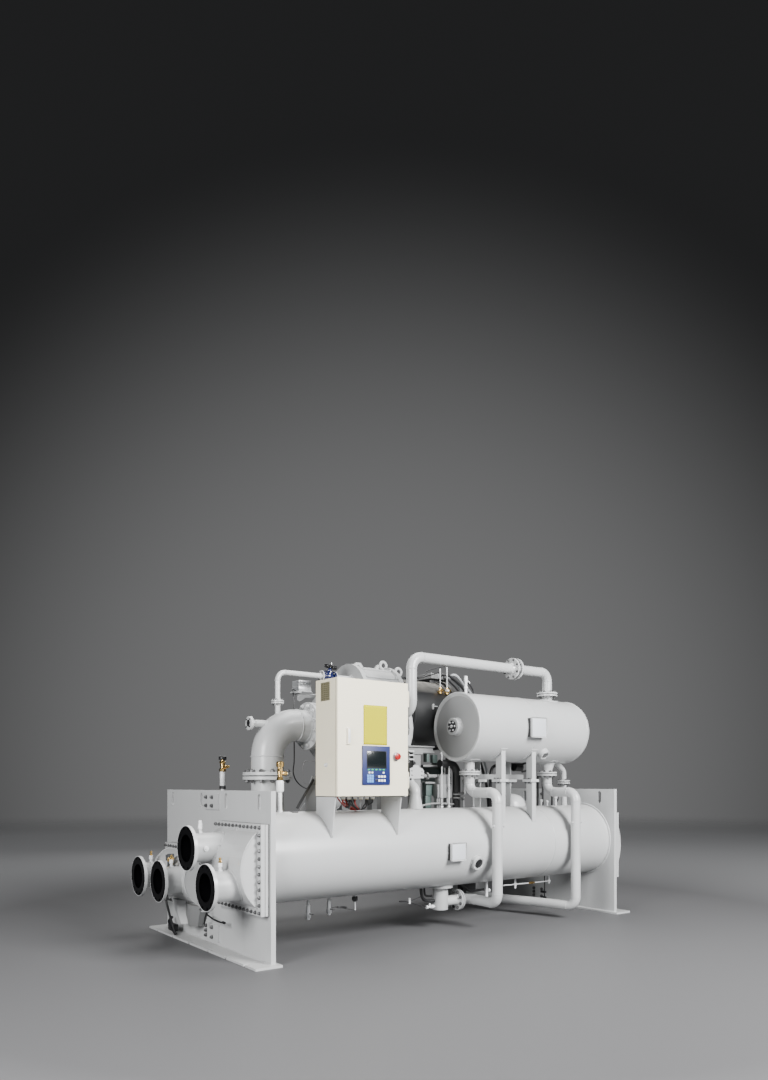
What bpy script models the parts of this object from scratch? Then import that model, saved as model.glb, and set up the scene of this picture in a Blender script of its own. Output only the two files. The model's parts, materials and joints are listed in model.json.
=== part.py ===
"""Centrifugal chiller: two shell-and-tube vessels side by side, a motor-driven compressor above
them, a flash economizer on legs, its pipework, and a control cabinet with a door that opens.

The construction datum is the outer face of the front end plates (x), their near edge (y) and the
floor (z). Everything hangs from one empty that puts the middle of the outline on the world origin.
"""

import math

import bmesh
import bpy
from mathutils import Vector

for old in list(bpy.data.objects):
    bpy.data.objects.remove(old, do_unlink=True)

# Clearances
GAP = 0.0003
DOOR_CLEARANCE = 0.005
OVERLAP = 0.004

# End plates, their feet and the splice straps across the seam
PLATE_T = 0.037
PLATE_TOP = 1.216
MACHINE_LENGTH = 3.81
NEAR_PLATE_W = 0.895
FAR_PLATE_W = 1.017
FOOT_T = 0.016
FOOT_OUT = 0.144
FOOT_IN = 0.064
FOOT_SIDE = 0.05
NOTCH_W = 0.026
NOTCH_DEPTH = 0.045
SLOT_W = 0.042
SLOT_H = 0.120
SLOT_DROP = 0.080
SLOT_EDGE = 0.177
SPLICE_T = 0.014
SPLICE_H = 0.125
SPLICE_NEAR = 0.065
SPLICE_FAR = 0.190

# Vessels
EVAP_R = 0.340
EVAP_Y = 0.400
EVAP_Z = 0.715
COND_R = 0.320
COND_Y = 1.404
COND_Z = 0.560
RIM_OUT = 0.012
RIM_W = 0.022
SHELL_SIDES = 40

# Water boxes and return covers
BOX_FLANGE_T = 0.030
BOX_GASKET_T = 0.004
BOX_GASKET_IN = 0.005
BOX_LIP = 0.048
EVAP_BOX_W = 0.751
EVAP_BOX_H = 0.635
EVAP_BOX_Z = 0.667
COND_BOX_W = 0.790
COND_BOX_H = 0.506
COND_BOX_Z = 0.507
BOX_BULGE = 0.135
COVER_BULGE = 0.096

# Water nozzles
NOZZLE_R = 0.1082
NOZZLE_WALL = 0.0080
NOZZLE_FLANGE_R = 0.165
NOZZLE_FLANGE_T = 0.024
NOZZLE_REACH = 0.380
NOZZLE_SIDES = 28
EVAP_NOZZLE_UP = (0.575, 0.802)
EVAP_NOZZLE_LOW = (0.242, 0.553)
COND_NOZZLE_FAR = (1.634, 0.502)
COND_NOZZLE_NEAR = (1.185, 0.502)
COND_NOZZLE_REACH = 0.360

# Suction line
DRIVE_Y = 0.900
SUCTION_R = 0.1335
SUCTION_FLANGE_R = 0.200
SUCTION_FLANGE_T = 0.030
SUCTION_X = 0.454
SUCTION_JOINT_Z = 1.330
SUCTION_BEND = 0.265
SUCTION_LOW_BEND = 0.160
COMPRESSOR_Z = 1.755
COMPRESSOR_INLET_X = 0.850

# Compressor and motor
VOLUTE_R = 0.345
VOLUTE_SIDES = 32
VOLUTE_END_X = 1.280
GEAR_R = 0.300
GEAR_TOP_R = 0.270
GEAR_TOP_Z = COMPRESSOR_Z + 0.285
LUG_PROUD = 0.042
GEAR_END_X = 1.720
GEAR_RIM = 0.022
GEAR_RIM_W = 0.040
MOTOR_Y = 0.975
MOTOR_R = 0.312
MOTOR_Z = COMPRESSOR_Z + 0.170
MOTOR_END_X = 2.440
DISCHARGE_R = 0.1082
DISCHARGE_FLANGE_R = 0.165
DISCHARGE_X = 1.150
DISCHARGE_Y = 0.970
DISCHARGE_JOINT_Z = 1.330

# Motor base
RAIL_H = 0.060
FOOT_REACH = 0.165
RAIL_W = 0.050
RAIL_SPREAD = 0.620
BASE_FRONT_X = 1.300
BASE_BACK_X = 1.955
LEG_SIDE = 0.080
LEG_WALL = 0.012
LEG_FRONT_X = 1.400
LEG_BACK_X = 1.740
CROSS_XS = (1.800, 1.925)

# Oil cooler below the motor
OIL_R = 0.085
OIL_Z = 1.360
OIL_FRONT_X = 1.720
OIL_BACK_X = 2.290

# Control cabinet
CAB_X = 0.547
CAB_W = 0.656
CAB_LOW = 1.175
CAB_H = 0.875
CAB_DEPTH = 0.300
CAB_WALL = 0.012
DOOR_T = 0.025
DOOR_WALL = 0.008
HINGE_R = 0.009
HINGE_L = 0.060
HINGE_LEAF = 0.030
BRACKET_T = 0.008
BRACKET_TIP_Z = 0.862

# Economizer, its legs and the DN80 lines
ECO_R = 0.300
ECO_Y = 0.350
ECO_Z = 1.770
ECO_FRONT_X = 2.020
ECO_STRAIGHT_END_X = 3.430
ECO_HEAD = 0.150
ECO_SIDES = 32
FRONT_LEG_Y = 0.127
REAR_LEG_Y = 0.500
FRONT_LEG_WEB = 0.090
REAR_LEG_WEB = 0.080
CLAMP_Z = 1.297
CLAMP_T = 0.012
LINE_R = 0.04455
LINE_FLANGE_R = 0.0925
LINE_FLANGE_T = 0.018
LINE_BEND = 0.085
LINE_JOINT_Z = 1.345
LINE_RUN_Z = 1.190
LINE_DROP_Y = 0.0
LEFT_LINE_X = ECO_FRONT_X + 0.160
RIGHT_LINE_X = LEFT_LINE_X + 1.020
LEG_LEFT_X = LEFT_LINE_X + 0.202
LEG_RIGHT_X = LEG_LEFT_X + 0.391
LEFT_LINE_LOW_Z = 0.240
RIGHT_LINE_LOW_Z = 0.127
SUMP_R = 0.068
SUMP_X = 1.880
SUMP_LOW_Z = 0.170
COND_SUMP_X = 2.960
COND_SUMP_R = 0.080
VENT_Z = ECO_Z + 0.570
VENT_X = 1.520
VENT_TURN_Z = COMPRESSOR_Z + 0.110
VENT_JOINT_X = 2.740
VENT_CHECK_T = 0.028

PIPE_SIDES = 12

# Where the outline's middle lies, from the datum
OUTLINE_X = (MACHINE_LENGTH + BOX_FLANGE_T * 2 + BOX_GASKET_T + COVER_BULGE - NOZZLE_REACH) / 2
OUTLINE_Y = (NEAR_PLATE_W + FAR_PLATE_W) / 2

X = Vector((1, 0, 0))
Y = Vector((0, 1, 0))
Z = Vector((0, 0, 1))

machine = bpy.data.collections.new("centrifugal_chiller")
cutters = bpy.data.collections.new("cutters")
bpy.context.scene.collection.children.link(machine)
bpy.context.scene.collection.children.link(cutters)


def empty(name, place, parent=None):
    """A datum or a joint's axis."""
    mark = bpy.data.objects.new(name, None)
    mark.location = place
    mark.parent = parent
    machine.objects.link(mark)
    return mark


datum = empty("construction_datum", (-OUTLINE_X, -OUTLINE_Y, 0))


def paint(name, colour, roughness, metallic=0.0):
    """A finish, as a plain Principled BSDF."""
    made = bpy.data.materials.new(name)
    made.use_nodes = True
    made.diffuse_color = (*colour, 1)
    shader = made.node_tree.nodes["Principled BSDF"]
    shader.inputs["Base Color"].default_value = (*colour, 1)
    shader.inputs["Roughness"].default_value = roughness
    shader.inputs["Metallic"].default_value = metallic
    return made


GREY = (0.60, 0.61, 0.61)
IVORY = (0.80, 0.77, 0.68)
MOTOR_GREY = (0.10, 0.11, 0.11)


def bare(mesh, name="piece"):
    """A loose object on a mesh, for a Boolean or for finish."""
    piece = bpy.data.objects.new(name, mesh)
    machine.objects.link(piece)
    return piece


def from_bmesh(shape):
    mesh = bpy.data.meshes.new("shape")
    shape.to_mesh(mesh)
    shape.free()
    return bare(mesh)


def block(low, high):
    """A box between two corners."""
    low, high = Vector(low), Vector(high)
    shape = bmesh.new()
    bmesh.ops.create_cube(shape, size=1)
    size = high - low
    bmesh.ops.scale(shape, vec=size, verts=shape.verts)
    bmesh.ops.translate(shape, vec=(low + high) / 2, verts=shape.verts)
    return from_bmesh(shape)


def rod(start, end, radius, sides=PIPE_SIDES, end_radius=None):
    """A round bar, or a cone where end_radius is given, from start to end."""
    start, end = Vector(start), Vector(end)
    along = end - start
    shape = bmesh.new()
    bmesh.ops.create_cone(
        shape,
        cap_ends=True,
        segments=sides,
        radius1=radius,
        radius2=radius if end_radius is None else end_radius,
        depth=along.length,
    )
    bmesh.ops.rotate(shape, cent=(0, 0, 0), matrix=turn_to(along), verts=shape.verts)
    bmesh.ops.translate(shape, vec=(start + end) / 2, verts=shape.verts)
    return from_bmesh(shape)


def turn_to(direction):
    """The rotation that takes +Z to a direction, with the facets kept level."""
    return direction.normalized().to_track_quat("Z", "Y").to_matrix()


def settled(piece):
    """The piece with its modifiers and its place worked into a new mesh."""
    graph = bpy.context.evaluated_depsgraph_get()
    mesh = bpy.data.meshes.new_from_object(piece.evaluated_get(graph))
    mesh.transform(piece.matrix_world)
    bpy.data.objects.remove(piece)
    shape = bmesh.new()
    shape.from_mesh(mesh)
    bmesh.ops.remove_doubles(shape, verts=shape.verts, dist=0.00002)
    shape.to_mesh(mesh)
    shape.free()
    return bare(mesh)


def turned(profile, start, direction, sides=PIPE_SIDES):
    """A solid of revolution. The profile is (distance along, radius), from the far end to start."""
    mesh = bpy.data.meshes.new("profile")
    points = [(radius, 0, along) for along, radius in profile]
    mesh.from_pydata(points, [(i, i + 1) for i in range(len(points) - 1)], [])
    piece = bare(mesh)
    screw = piece.modifiers.new("turn", "SCREW")
    screw.axis = "Z"
    screw.steps = sides
    screw.render_steps = sides
    screw.use_merge_vertices = True
    screw.merge_threshold = 0.00005
    piece.rotation_euler = turn_to(Vector(direction)).to_euler()
    piece.location = start
    bpy.context.view_layer.update()
    return settled(piece)


def rounded(points, radius, steps):
    """The points of a bent pipe: each inner corner becomes an arc of the given radius."""
    points = [Vector(point) for point in points]
    path = [points[0]]
    for before, corner, after in zip(points, points[1:], points[2:]):
        back = (before - corner).normalized()
        on = (after - corner).normalized()
        half = back.angle(on) / 2
        reach = radius / math.tan(half)
        centre = corner + (back + on).normalized() * (radius / math.sin(half))
        first = corner + back * reach - centre
        last = corner + on * reach - centre
        sweep = math.pi - 2 * half
        for step in range(steps + 1):
            share = step / steps
            arm = first * math.sin((1 - share) * sweep) + last * math.sin(share * sweep)
            path.append(centre + arm / math.sin(sweep))
    path.append(points[-1])
    return path


def pipe(points, radius, bend, sides=PIPE_SIDES, steps=4):
    """A pipe with swept bends, closed at both ends."""
    path = rounded(points, bend, steps)
    curve = bpy.data.curves.new("route", "CURVE")
    curve.dimensions = "3D"
    curve.bevel_depth = radius
    curve.bevel_resolution = sides // 4 - 1 if sides > 8 else 1
    curve.use_fill_caps = True
    spline = curve.splines.new("POLY")
    spline.points.add(len(path) - 1)
    for point, place in zip(spline.points, path):
        point.co = (*place, 1)
    piece = bpy.data.objects.new("route", curve)
    machine.objects.link(piece)
    bpy.context.view_layer.update()
    return settled(piece)


def outline(points, start, thickness, direction):
    """A flat outline in the plane across a direction (X or Y), made solid to a thickness."""
    along = Vector(direction) * thickness
    shape = bmesh.new()
    if abs(direction[0]) > 0.5:
        ring = [shape.verts.new((start, a, b)) for a, b in points]
    else:
        ring = [shape.verts.new((a, start, b)) for a, b in points]
    face = shape.faces.new(ring)
    swept = bmesh.ops.extrude_face_region(shape, geom=[face])
    moved = [item for item in swept["geom"] if isinstance(item, bmesh.types.BMVert)]
    bmesh.ops.translate(shape, vec=along, verts=moved)
    bmesh.ops.recalc_face_normals(shape, faces=shape.faces)
    return from_bmesh(shape)


def hull(pieces):
    """The one convex solid round several."""
    shape = bmesh.new()
    for piece in pieces:
        for vertex in piece.data.vertices:
            shape.verts.new(vertex.co)
        bpy.data.objects.remove(piece)
    swept = bmesh.ops.convex_hull(shape, input=shape.verts)
    spare = {item for item in swept["geom_interior"] if isinstance(item, bmesh.types.BMVert)}
    bmesh.ops.delete(shape, geom=list(spare), context="VERTS")
    bmesh.ops.dissolve_limit(shape, angle_limit=0.001, verts=shape.verts, edges=shape.edges)
    bmesh.ops.recalc_face_normals(shape, faces=shape.faces)
    return from_bmesh(shape)


def combine(piece, others, operation):
    """Boolean work on one piece. The others are used up, unless they are shared cutters."""
    for other in others:
        change = piece.modifiers.new("change", "BOOLEAN")
        change.operation = operation
        change.solver = "EXACT"
        change.object = other
        piece = settled(piece)
    for other in others:
        if other.name not in cutters.objects:
            bpy.data.objects.remove(other)
    return piece


def fuse(*pieces):
    return combine(pieces[0], pieces[1:], "UNION")


def cut(piece, *others):
    return combine(piece, others, "DIFFERENCE")


def finish(piece, name, material, hinge=None):
    """Names a piece, paints it and hangs it from the datum, or from its joint's axis."""
    piece.name = name
    piece.data.name = name
    piece.data.materials.clear()
    piece.data.materials.append(material)
    piece.data.shade_smooth()
    piece.data.set_sharp_from_angle(angle=math.radians(35))
    piece.parent = hinge or datum
    if hinge:
        piece.location = -hinge.location
    return piece


def cutter(piece, name):
    """Keeps a piece as a shared cutter, out of the model."""
    piece.name = name
    machine.objects.unlink(piece)
    cutters.objects.link(piece)
    piece.hide_render = True
    piece.display_type = "WIRE"
    return piece


grey = paint("grey_paint", GREY, 0.42)
ivory = paint("ivory_powder_coat", IVORY, 0.45)
motor_paint = paint("motor_grey", MOTOR_GREY, 0.45)
blue = paint("blue_valve_paint", (0.02, 0.09, 0.42), 0.35)
brass = paint("brass", (0.72, 0.50, 0.22), 0.30, 1.0)
black = paint("black_rubber", (0.015, 0.015, 0.016), 0.55)
steel = paint("zinc_plated_steel", (0.55, 0.56, 0.57), 0.35, 0.9)
oil_green = paint("oil_cooler_green", (0.09, 0.13, 0.12), 0.4)

# Seats: what stands on a vessel is cut by a copy of that vessel, larger by the gap


def vessel_seat(name, radius, y, z, front, back, sides=SHELL_SIDES):
    return cutter(rod((front, y, z), (back, y, z), radius + GAP, sides), name)


evaporator_seat = vessel_seat("evaporator_seat", EVAP_R, EVAP_Y, EVAP_Z, 0.05, MACHINE_LENGTH - 0.05)
condenser_seat = vessel_seat("condenser_seat", COND_R, COND_Y, COND_Z, 0.05, MACHINE_LENGTH - 0.05)
economizer_seat = vessel_seat(
    "economizer_seat", ECO_R, ECO_Y, ECO_Z, ECO_FRONT_X + 0.02, ECO_STRAIGHT_END_X, ECO_SIDES
)


def flange(centre, direction, thickness, radius=LINE_FLANGE_R, sides=20):
    """A plain disc flange whose face is at centre, with its body behind the face."""
    centre, direction = Vector(centre), Vector(direction)
    return rod(centre - direction * thickness, centre, radius, sides)


def shell(radius, y, z):
    """A vessel's shell between the end plates, with the weld rim at each plate."""
    length = MACHINE_LENGTH - 2 * (PLATE_T + GAP)
    profile = [
        (length, 0),
        (length, radius + RIM_OUT),
        (length - RIM_W, radius),
        (RIM_W, radius),
        (0, radius + RIM_OUT),
        (0, 0),
    ]
    return turned(profile, (PLATE_T + GAP, y, z), X, SHELL_SIDES)


def valve_stub(x, top, low, radius=0.012):
    """A small drain valve that hangs from a vessel: a stub, a hexagon body and a cap."""
    body_low = low + 0.03
    return fuse(
        rod((x, EVAP_Y, top), (x, EVAP_Y, body_low), radius, 8),
        rod((x, EVAP_Y, low + 0.07), (x, EVAP_Y, body_low - 0.002), radius * 1.8, 6),
        rod((x, EVAP_Y, body_low), (x, EVAP_Y, low), radius * 1.3, 8),
    )


DRAINS = ((0.540, 0.218), (0.730, 0.237), (0.975, 0.290))
SIGHT_X = 2.010
SIGHT_Z = 0.600
SIGHT_R = 0.062

evaporator = shell(EVAP_R, EVAP_Y, EVAP_Z)
inside_low = EVAP_Z - EVAP_R + 0.03
sump_flange_x = SUMP_X + SUMP_R + 0.13
evaporator = fuse(
    evaporator,
    rod((SUMP_X, EVAP_Y, inside_low), (SUMP_X, EVAP_Y, SUMP_LOW_Z), SUMP_R, 20),
    rod((SUMP_X, EVAP_Y, EVAP_Z - EVAP_R + 0.02), (SUMP_X, EVAP_Y, EVAP_Z - EVAP_R - 0.012), 0.11, 24),
    rod((SUMP_X, EVAP_Y, LEFT_LINE_LOW_Z), (sump_flange_x - 0.004, EVAP_Y, LEFT_LINE_LOW_Z), LINE_R),
    flange((sump_flange_x, EVAP_Y, LEFT_LINE_LOW_Z), X, LINE_FLANGE_T),
)
sight_side = math.sqrt(EVAP_R**2 - (SIGHT_Z - EVAP_Z) ** 2)
sight_out = Vector((0, -sight_side, SIGHT_Z - EVAP_Z)).normalized()
sight_at = Vector((SIGHT_X, EVAP_Y, EVAP_Z)) + sight_out * EVAP_R
evaporator = fuse(
    evaporator,
    rod(sight_at - sight_out * 0.02, sight_at + sight_out * 0.022, SIGHT_R, 24),
    *[valve_stub(x, inside_low, low) for x, low in DRAINS],
)
finish(evaporator, "evaporator_shell", grey)

cond_sump_low = RIGHT_LINE_LOW_Z - 0.060
cond_flange_y = COND_Y - COND_SUMP_R - 0.11
condenser = shell(COND_R, COND_Y, COND_Z)
condenser = fuse(
    condenser,
    rod(
        (COND_SUMP_X, COND_Y, COND_Z - COND_R + 0.03),
        (COND_SUMP_X, COND_Y, cond_sump_low),
        COND_SUMP_R,
        20,
    ),
    rod(
        (COND_SUMP_X, COND_Y, RIGHT_LINE_LOW_Z),
        (COND_SUMP_X, cond_flange_y + 0.004, RIGHT_LINE_LOW_Z),
        LINE_R,
    ),
    flange((COND_SUMP_X, cond_flange_y, RIGHT_LINE_LOW_Z), -Y, LINE_FLANGE_T),
)
finish(condenser, "condenser_shell", grey)


def oblong(y, z):
    """A cutter for an upright lifting slot through both ends' plates."""
    reach = (SLOT_H - SLOT_W) / 2
    low = rod((-0.1, y, z - reach), (MACHINE_LENGTH + 0.1, y, z - reach), SLOT_W / 2)
    high = rod((-0.1, y, z + reach), (MACHINE_LENGTH + 0.1, y, z + reach), SLOT_W / 2)
    return hull([high, low])


def end_plate(front, near):
    """An end plate on its foot, with lifting slots; the near one carries the splice straps."""
    out = -1 if front else 1
    face = 0 if front else MACHINE_LENGTH
    low_y = 0 if near else NEAR_PLATE_W + GAP
    high_y = NEAR_PLATE_W if near else NEAR_PLATE_W + FAR_PLATE_W
    skim = 0 if near else GAP
    xs = sorted((face - out * skim, face - out * PLATE_T))
    plate = block((xs[0], low_y, FOOT_T - 0.001), (xs[1], high_y, PLATE_TOP))
    foot_xs = sorted((face + out * FOOT_OUT, face - out * FOOT_IN))
    foot_low = low_y - FOOT_SIDE if near else low_y
    foot_high = high_y if near else high_y + FOOT_SIDE
    foot = block((foot_xs[0], foot_low, 0), (foot_xs[1], foot_high, FOOT_T))
    notches = []
    for share in (0.18, 0.5, 0.82):
        y = foot_low + (foot_high - foot_low) * share
        outer = face + out * (FOOT_OUT + 0.02)
        inner = face + out * (FOOT_OUT - NOTCH_DEPTH + NOTCH_W / 2)
        ends = [rod((x, y, -0.01), (x, y, FOOT_T + 0.01), NOTCH_W / 2, 12) for x in (outer, inner)]
        notches.append(hull(ends))
    foot = cut(foot, *notches)
    body = fuse(plate, foot)
    slot_z = PLATE_TOP - SLOT_DROP
    if near:
        slots = [oblong(SLOT_EDGE, slot_z), oblong(NEAR_PLATE_W - SLOT_EDGE, slot_z)]
    else:
        slots = [oblong(low_y + SLOT_EDGE + 0.1, slot_z), oblong(high_y - SLOT_EDGE + 0.05, slot_z)]
    body = cut(body, *slots)
    if near:
        for low_z in (FOOT_T + 0.025, PLATE_TOP - 0.025 - SPLICE_H):
            strap_out = face + out * SPLICE_T
            held = sorted((strap_out, face - out * 0.002))
            lap = sorted((strap_out, face))
            high_z = low_z + SPLICE_H
            body = fuse(
                body,
                block((held[0], NEAR_PLATE_W - SPLICE_NEAR, low_z), (held[1], NEAR_PLATE_W, high_z)),
                block((lap[0], NEAR_PLATE_W - 0.01, low_z), (lap[1], NEAR_PLATE_W + SPLICE_FAR, high_z)),
            )
    return body


for front in (True, False):
    for near in (True, False):
        name = f"{'front' if front else 'back'}_{'evaporator' if near else 'condenser'}_end_plate"
        finish(end_plate(front, near), name, grey)


def bulged(width, height, y, z, bulge, out, face, spare=0.0):
    """The curved body of a water box: a shallow arc in the XZ plane, drawn out along Y."""
    half = height / 2 - BOX_LIP
    radius = (half * half + bulge * bulge) / (2 * bulge)
    angle = math.asin(half / radius)
    base = face + out * (2 * BOX_FLANGE_T + BOX_GASKET_T)
    centre = base + out * (bulge - radius)
    points = [(face + out * BOX_FLANGE_T, z + half + spare), (face + out * BOX_FLANGE_T, z - half - spare)]
    steps = 14
    for step in range(steps + 1):
        turn = -angle + 2 * angle * step / steps
        points.append(
            (centre + out * (radius + spare) * math.cos(turn), z + (radius + spare) * math.sin(turn))
        )
    span = width - 2 * BOX_LIP + 2 * spare
    return outline(points, y - span / 2, span, Y)


def flange_plate(width, height, y, z, near_x, far_x):
    xs = sorted((near_x, far_x))
    return block((xs[0], y - width / 2, z - height / 2), (xs[1], y + width / 2, z + height / 2))


def water_box(width, height, y, z, bulge, out, face):
    """A bolted cover: two flange plates with a gasket between them and the curved body."""
    start = face + out * GAP
    first = start + out * BOX_FLANGE_T
    second = first + out * BOX_GASKET_T
    last = face + out * (2 * BOX_FLANGE_T + BOX_GASKET_T)
    skim = out * 0.001
    gasket_w = width - 2 * BOX_GASKET_IN
    gasket_h = height - 2 * BOX_GASKET_IN
    return fuse(
        flange_plate(width, height, y, z, start, first),
        flange_plate(gasket_w, gasket_h, y, z, first - skim, second + skim),
        flange_plate(width, height, y, z, second, last),
        bulged(width, height, y, z, bulge, out, face),
    )


def nozzle(place, reach, box):
    """A flanged water nozzle, open through, its foot cut to the curve of the water box."""
    profile = [
        (0, NOZZLE_R - NOZZLE_WALL),
        (0, NOZZLE_FLANGE_R),
        (NOZZLE_FLANGE_T, NOZZLE_FLANGE_R),
        (NOZZLE_FLANGE_T, NOZZLE_R),
        (reach - 0.070, NOZZLE_R),
        (reach - 0.070, NOZZLE_R - NOZZLE_WALL),
        (0, NOZZLE_R - NOZZLE_WALL),
    ]
    body = turned(profile[::-1], (-reach, *place), X, NOZZLE_SIDES)
    return cut(body, box)


evap_box = (EVAP_BOX_W, EVAP_BOX_H, EVAP_Y, EVAP_BOX_Z)
cond_box = (COND_BOX_W, COND_BOX_H, COND_Y, COND_BOX_Z)
finish(water_box(*evap_box, BOX_BULGE, -1, 0), "evaporator_water_box", grey)
finish(water_box(*cond_box, BOX_BULGE, -1, 0), "condenser_water_box", grey)
finish(water_box(*evap_box, COVER_BULGE, 1, MACHINE_LENGTH), "evaporator_return_cover", grey)
finish(water_box(*cond_box, COVER_BULGE, 1, MACHINE_LENGTH), "condenser_return_cover", grey)

NOZZLES = {
    "evaporator_nozzle_upper": (EVAP_NOZZLE_UP, NOZZLE_REACH, evap_box),
    "evaporator_nozzle_lower": (EVAP_NOZZLE_LOW, NOZZLE_REACH, evap_box),
    "condenser_nozzle_far": (COND_NOZZLE_FAR, COND_NOZZLE_REACH, cond_box),
    "condenser_nozzle_near": (COND_NOZZLE_NEAR, COND_NOZZLE_REACH, cond_box),
}
for name, (place, reach, box) in NOZZLES.items():
    seat = cutter(bulged(*box, BOX_BULGE, -1, 0, GAP), name + "_seat")
    finish(nozzle(place, reach, seat), name, grey)

# Suction line: from the evaporator's upper rear quarter, up, and over into the compressor

suction_foot = Vector((SUCTION_X, EVAP_Y + 0.2, EVAP_Z - 0.015))
suction_knee = suction_foot + (Y + Z) * (DRIVE_Y - suction_foot.y)
lower_face = Vector((SUCTION_X, DRIVE_Y, SUCTION_JOINT_Z))
riser = fuse(
    pipe([suction_foot, suction_knee, lower_face - Z * 0.005], SUCTION_R, SUCTION_LOW_BEND, 20, 3),
    flange(lower_face, Z, SUCTION_FLANGE_T, SUCTION_FLANGE_R, 24),
)
finish(cut(riser, evaporator_seat), "suction_riser", grey)

upper_face = lower_face + Z * GAP
corner = Vector((SUCTION_X, DRIVE_Y, COMPRESSOR_Z))
inlet = Vector((COMPRESSOR_INLET_X, DRIVE_Y, COMPRESSOR_Z))
PORT_R = 0.030
PORT_FLANGE_R = 0.056
PORT_X = 0.280
BYPASS_R = 0.0213
BYPASS_X = SUCTION_X + 0.093
BYPASS_JOINT_Z = COMPRESSOR_Z + 0.185
elbow = fuse(
    pipe([upper_face + Z * 0.005, corner, inlet - X * 0.005], SUCTION_R, SUCTION_BEND, 20, 6),
    flange(upper_face, -Z, SUCTION_FLANGE_T, SUCTION_FLANGE_R, 24),
    flange(inlet, X, SUCTION_FLANGE_T, SUCTION_FLANGE_R, 24),
    rod((PORT_X + 0.005, DRIVE_Y, COMPRESSOR_Z), (SUCTION_X + 0.05, DRIVE_Y, COMPRESSOR_Z), PORT_R),
    flange((PORT_X, DRIVE_Y, COMPRESSOR_Z), -X, 0.026, PORT_FLANGE_R),
    rod((BYPASS_X, DRIVE_Y, COMPRESSOR_Z), (BYPASS_X, DRIVE_Y, BYPASS_JOINT_Z - 0.005), BYPASS_R, 12),
    flange((BYPASS_X, DRIVE_Y, BYPASS_JOINT_Z), Z, 0.014, 0.052, 20),
)
finish(elbow, "suction_elbow", grey)

# Compressor, gears and motor

volute = turned(
    [
        (VOLUTE_END_X - COMPRESSOR_INLET_X, 0),
        (VOLUTE_END_X - COMPRESSOR_INLET_X, VOLUTE_R - 0.03),
        (VOLUTE_END_X - COMPRESSOR_INLET_X - 0.04, VOLUTE_R),
        (0.20, VOLUTE_R),
        (0.14, VOLUTE_R - 0.05),
        (0.11, 0.20),
        (SUCTION_FLANGE_T + 0.004, 0.17),
        (SUCTION_FLANGE_T, SUCTION_FLANGE_R),
        (GAP, SUCTION_FLANGE_R),
        (GAP, 0),
    ],
    inlet,
    X,
    VOLUTE_SIDES,
)
discharge_face = Vector((DISCHARGE_X, DISCHARGE_Y, DISCHARGE_JOINT_Z))
volute = fuse(
    volute,
    rod(discharge_face + Z * 0.005, (DISCHARGE_X, DISCHARGE_Y, COMPRESSOR_Z), DISCHARGE_R, 24),
    flange(discharge_face, -Z, NOZZLE_FLANGE_T, DISCHARGE_FLANGE_R, 28),
)
finish(volute, "compressor_volute", grey)

lower_discharge = discharge_face - Z * GAP
discharge = fuse(
    flange(lower_discharge, Z, NOZZLE_FLANGE_T, DISCHARGE_FLANGE_R, 28),
    pipe(
        [
            lower_discharge - Z * 0.005,
            (DISCHARGE_X, DISCHARGE_Y, 1.170),
            (DISCHARGE_X, COND_Y, 0.980),
            (DISCHARGE_X, COND_Y, COND_Z + 0.1),
        ],
        DISCHARGE_R,
        0.115,
        24,
        4,
    ),
)
finish(cut(discharge, condenser_seat), "discharge_pipe", grey)


def egg(front, back, spare=0.0):
    """The gear housing's section: a round at the impeller shaft and one at the motor's top."""
    return hull(
        [
            rod((front, DRIVE_Y, COMPRESSOR_Z), (back, DRIVE_Y, COMPRESSOR_Z), GEAR_R + spare, 24),
            rod((front, MOTOR_Y, GEAR_TOP_Z), (back, MOTOR_Y, GEAR_TOP_Z), GEAR_TOP_R + spare, 24),
        ]
    )


def lug(x, y, low, high, width, eye):
    """A lifting plate across the machine's length, with its eye."""
    half = width / 2
    top = high - half * 0.6
    points = [
        (x - half, low),
        (x + half, low),
        (x + half, top),
        (x + half * 0.5, high),
        (x - half * 0.5, high),
        (x - half, top),
    ]
    plate = outline(points, y - 0.012, 0.024, Y)
    return cut(plate, rod((x, y - 0.1, high - half * 0.8), (x, y + 0.1, high - half * 0.8), eye, 12))


base_top = MOTOR_Z - MOTOR_R - 0.010
base_low = base_top - RAIL_H
near_rail_y = DRIVE_Y - RAIL_SPREAD / 2
far_rail_y = DRIVE_Y + RAIL_SPREAD / 2


def machine_feet(xs, length, high):
    """Cast feet that carry the gear housing or the motor on the base rails."""
    return [
        block(
            (x - length / 2, min(y, y + side * FOOT_REACH), base_top + GAP),
            (x + length / 2, max(y, y + side * FOOT_REACH), high),
        )
        for x in xs
        for y, side in ((near_rail_y - RAIL_W / 2, 1), (far_rail_y + RAIL_W / 2, -1))
    ]


gear_front = VOLUTE_END_X + GAP
gear_top = GEAR_TOP_Z + GEAR_TOP_R
GEAR_LUG_XS = (1.400, 1.640)
LUG_W = 0.100
LUG_EYE = 0.018
gear_housing = fuse(
    egg(gear_front, GEAR_END_X),
    egg(gear_front, gear_front + GEAR_RIM_W, GEAR_RIM),
    egg(GEAR_END_X - GEAR_RIM_W, GEAR_END_X, GEAR_RIM),
)
VENT_BOSS_Y = DRIVE_Y - GEAR_R - 0.03
vent_face = Vector((VENT_X, VENT_BOSS_Y, VENT_TURN_Z))
gear_housing = fuse(
    gear_housing,
    *[
        lug(x, MOTOR_Y, gear_top - OVERLAP, gear_top + LUG_PROUD, LUG_W, LUG_EYE)
        for x in GEAR_LUG_XS
    ],
    rod(vent_face, vent_face + Y * 0.1, LINE_R),
    flange(vent_face, -Y, LINE_FLANGE_T, LINE_FLANGE_R),
    *machine_feet(GEAR_LUG_XS, 0.080, COMPRESSOR_Z - 0.06),
)
finish(gear_housing, "gear_housing", grey)

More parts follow.
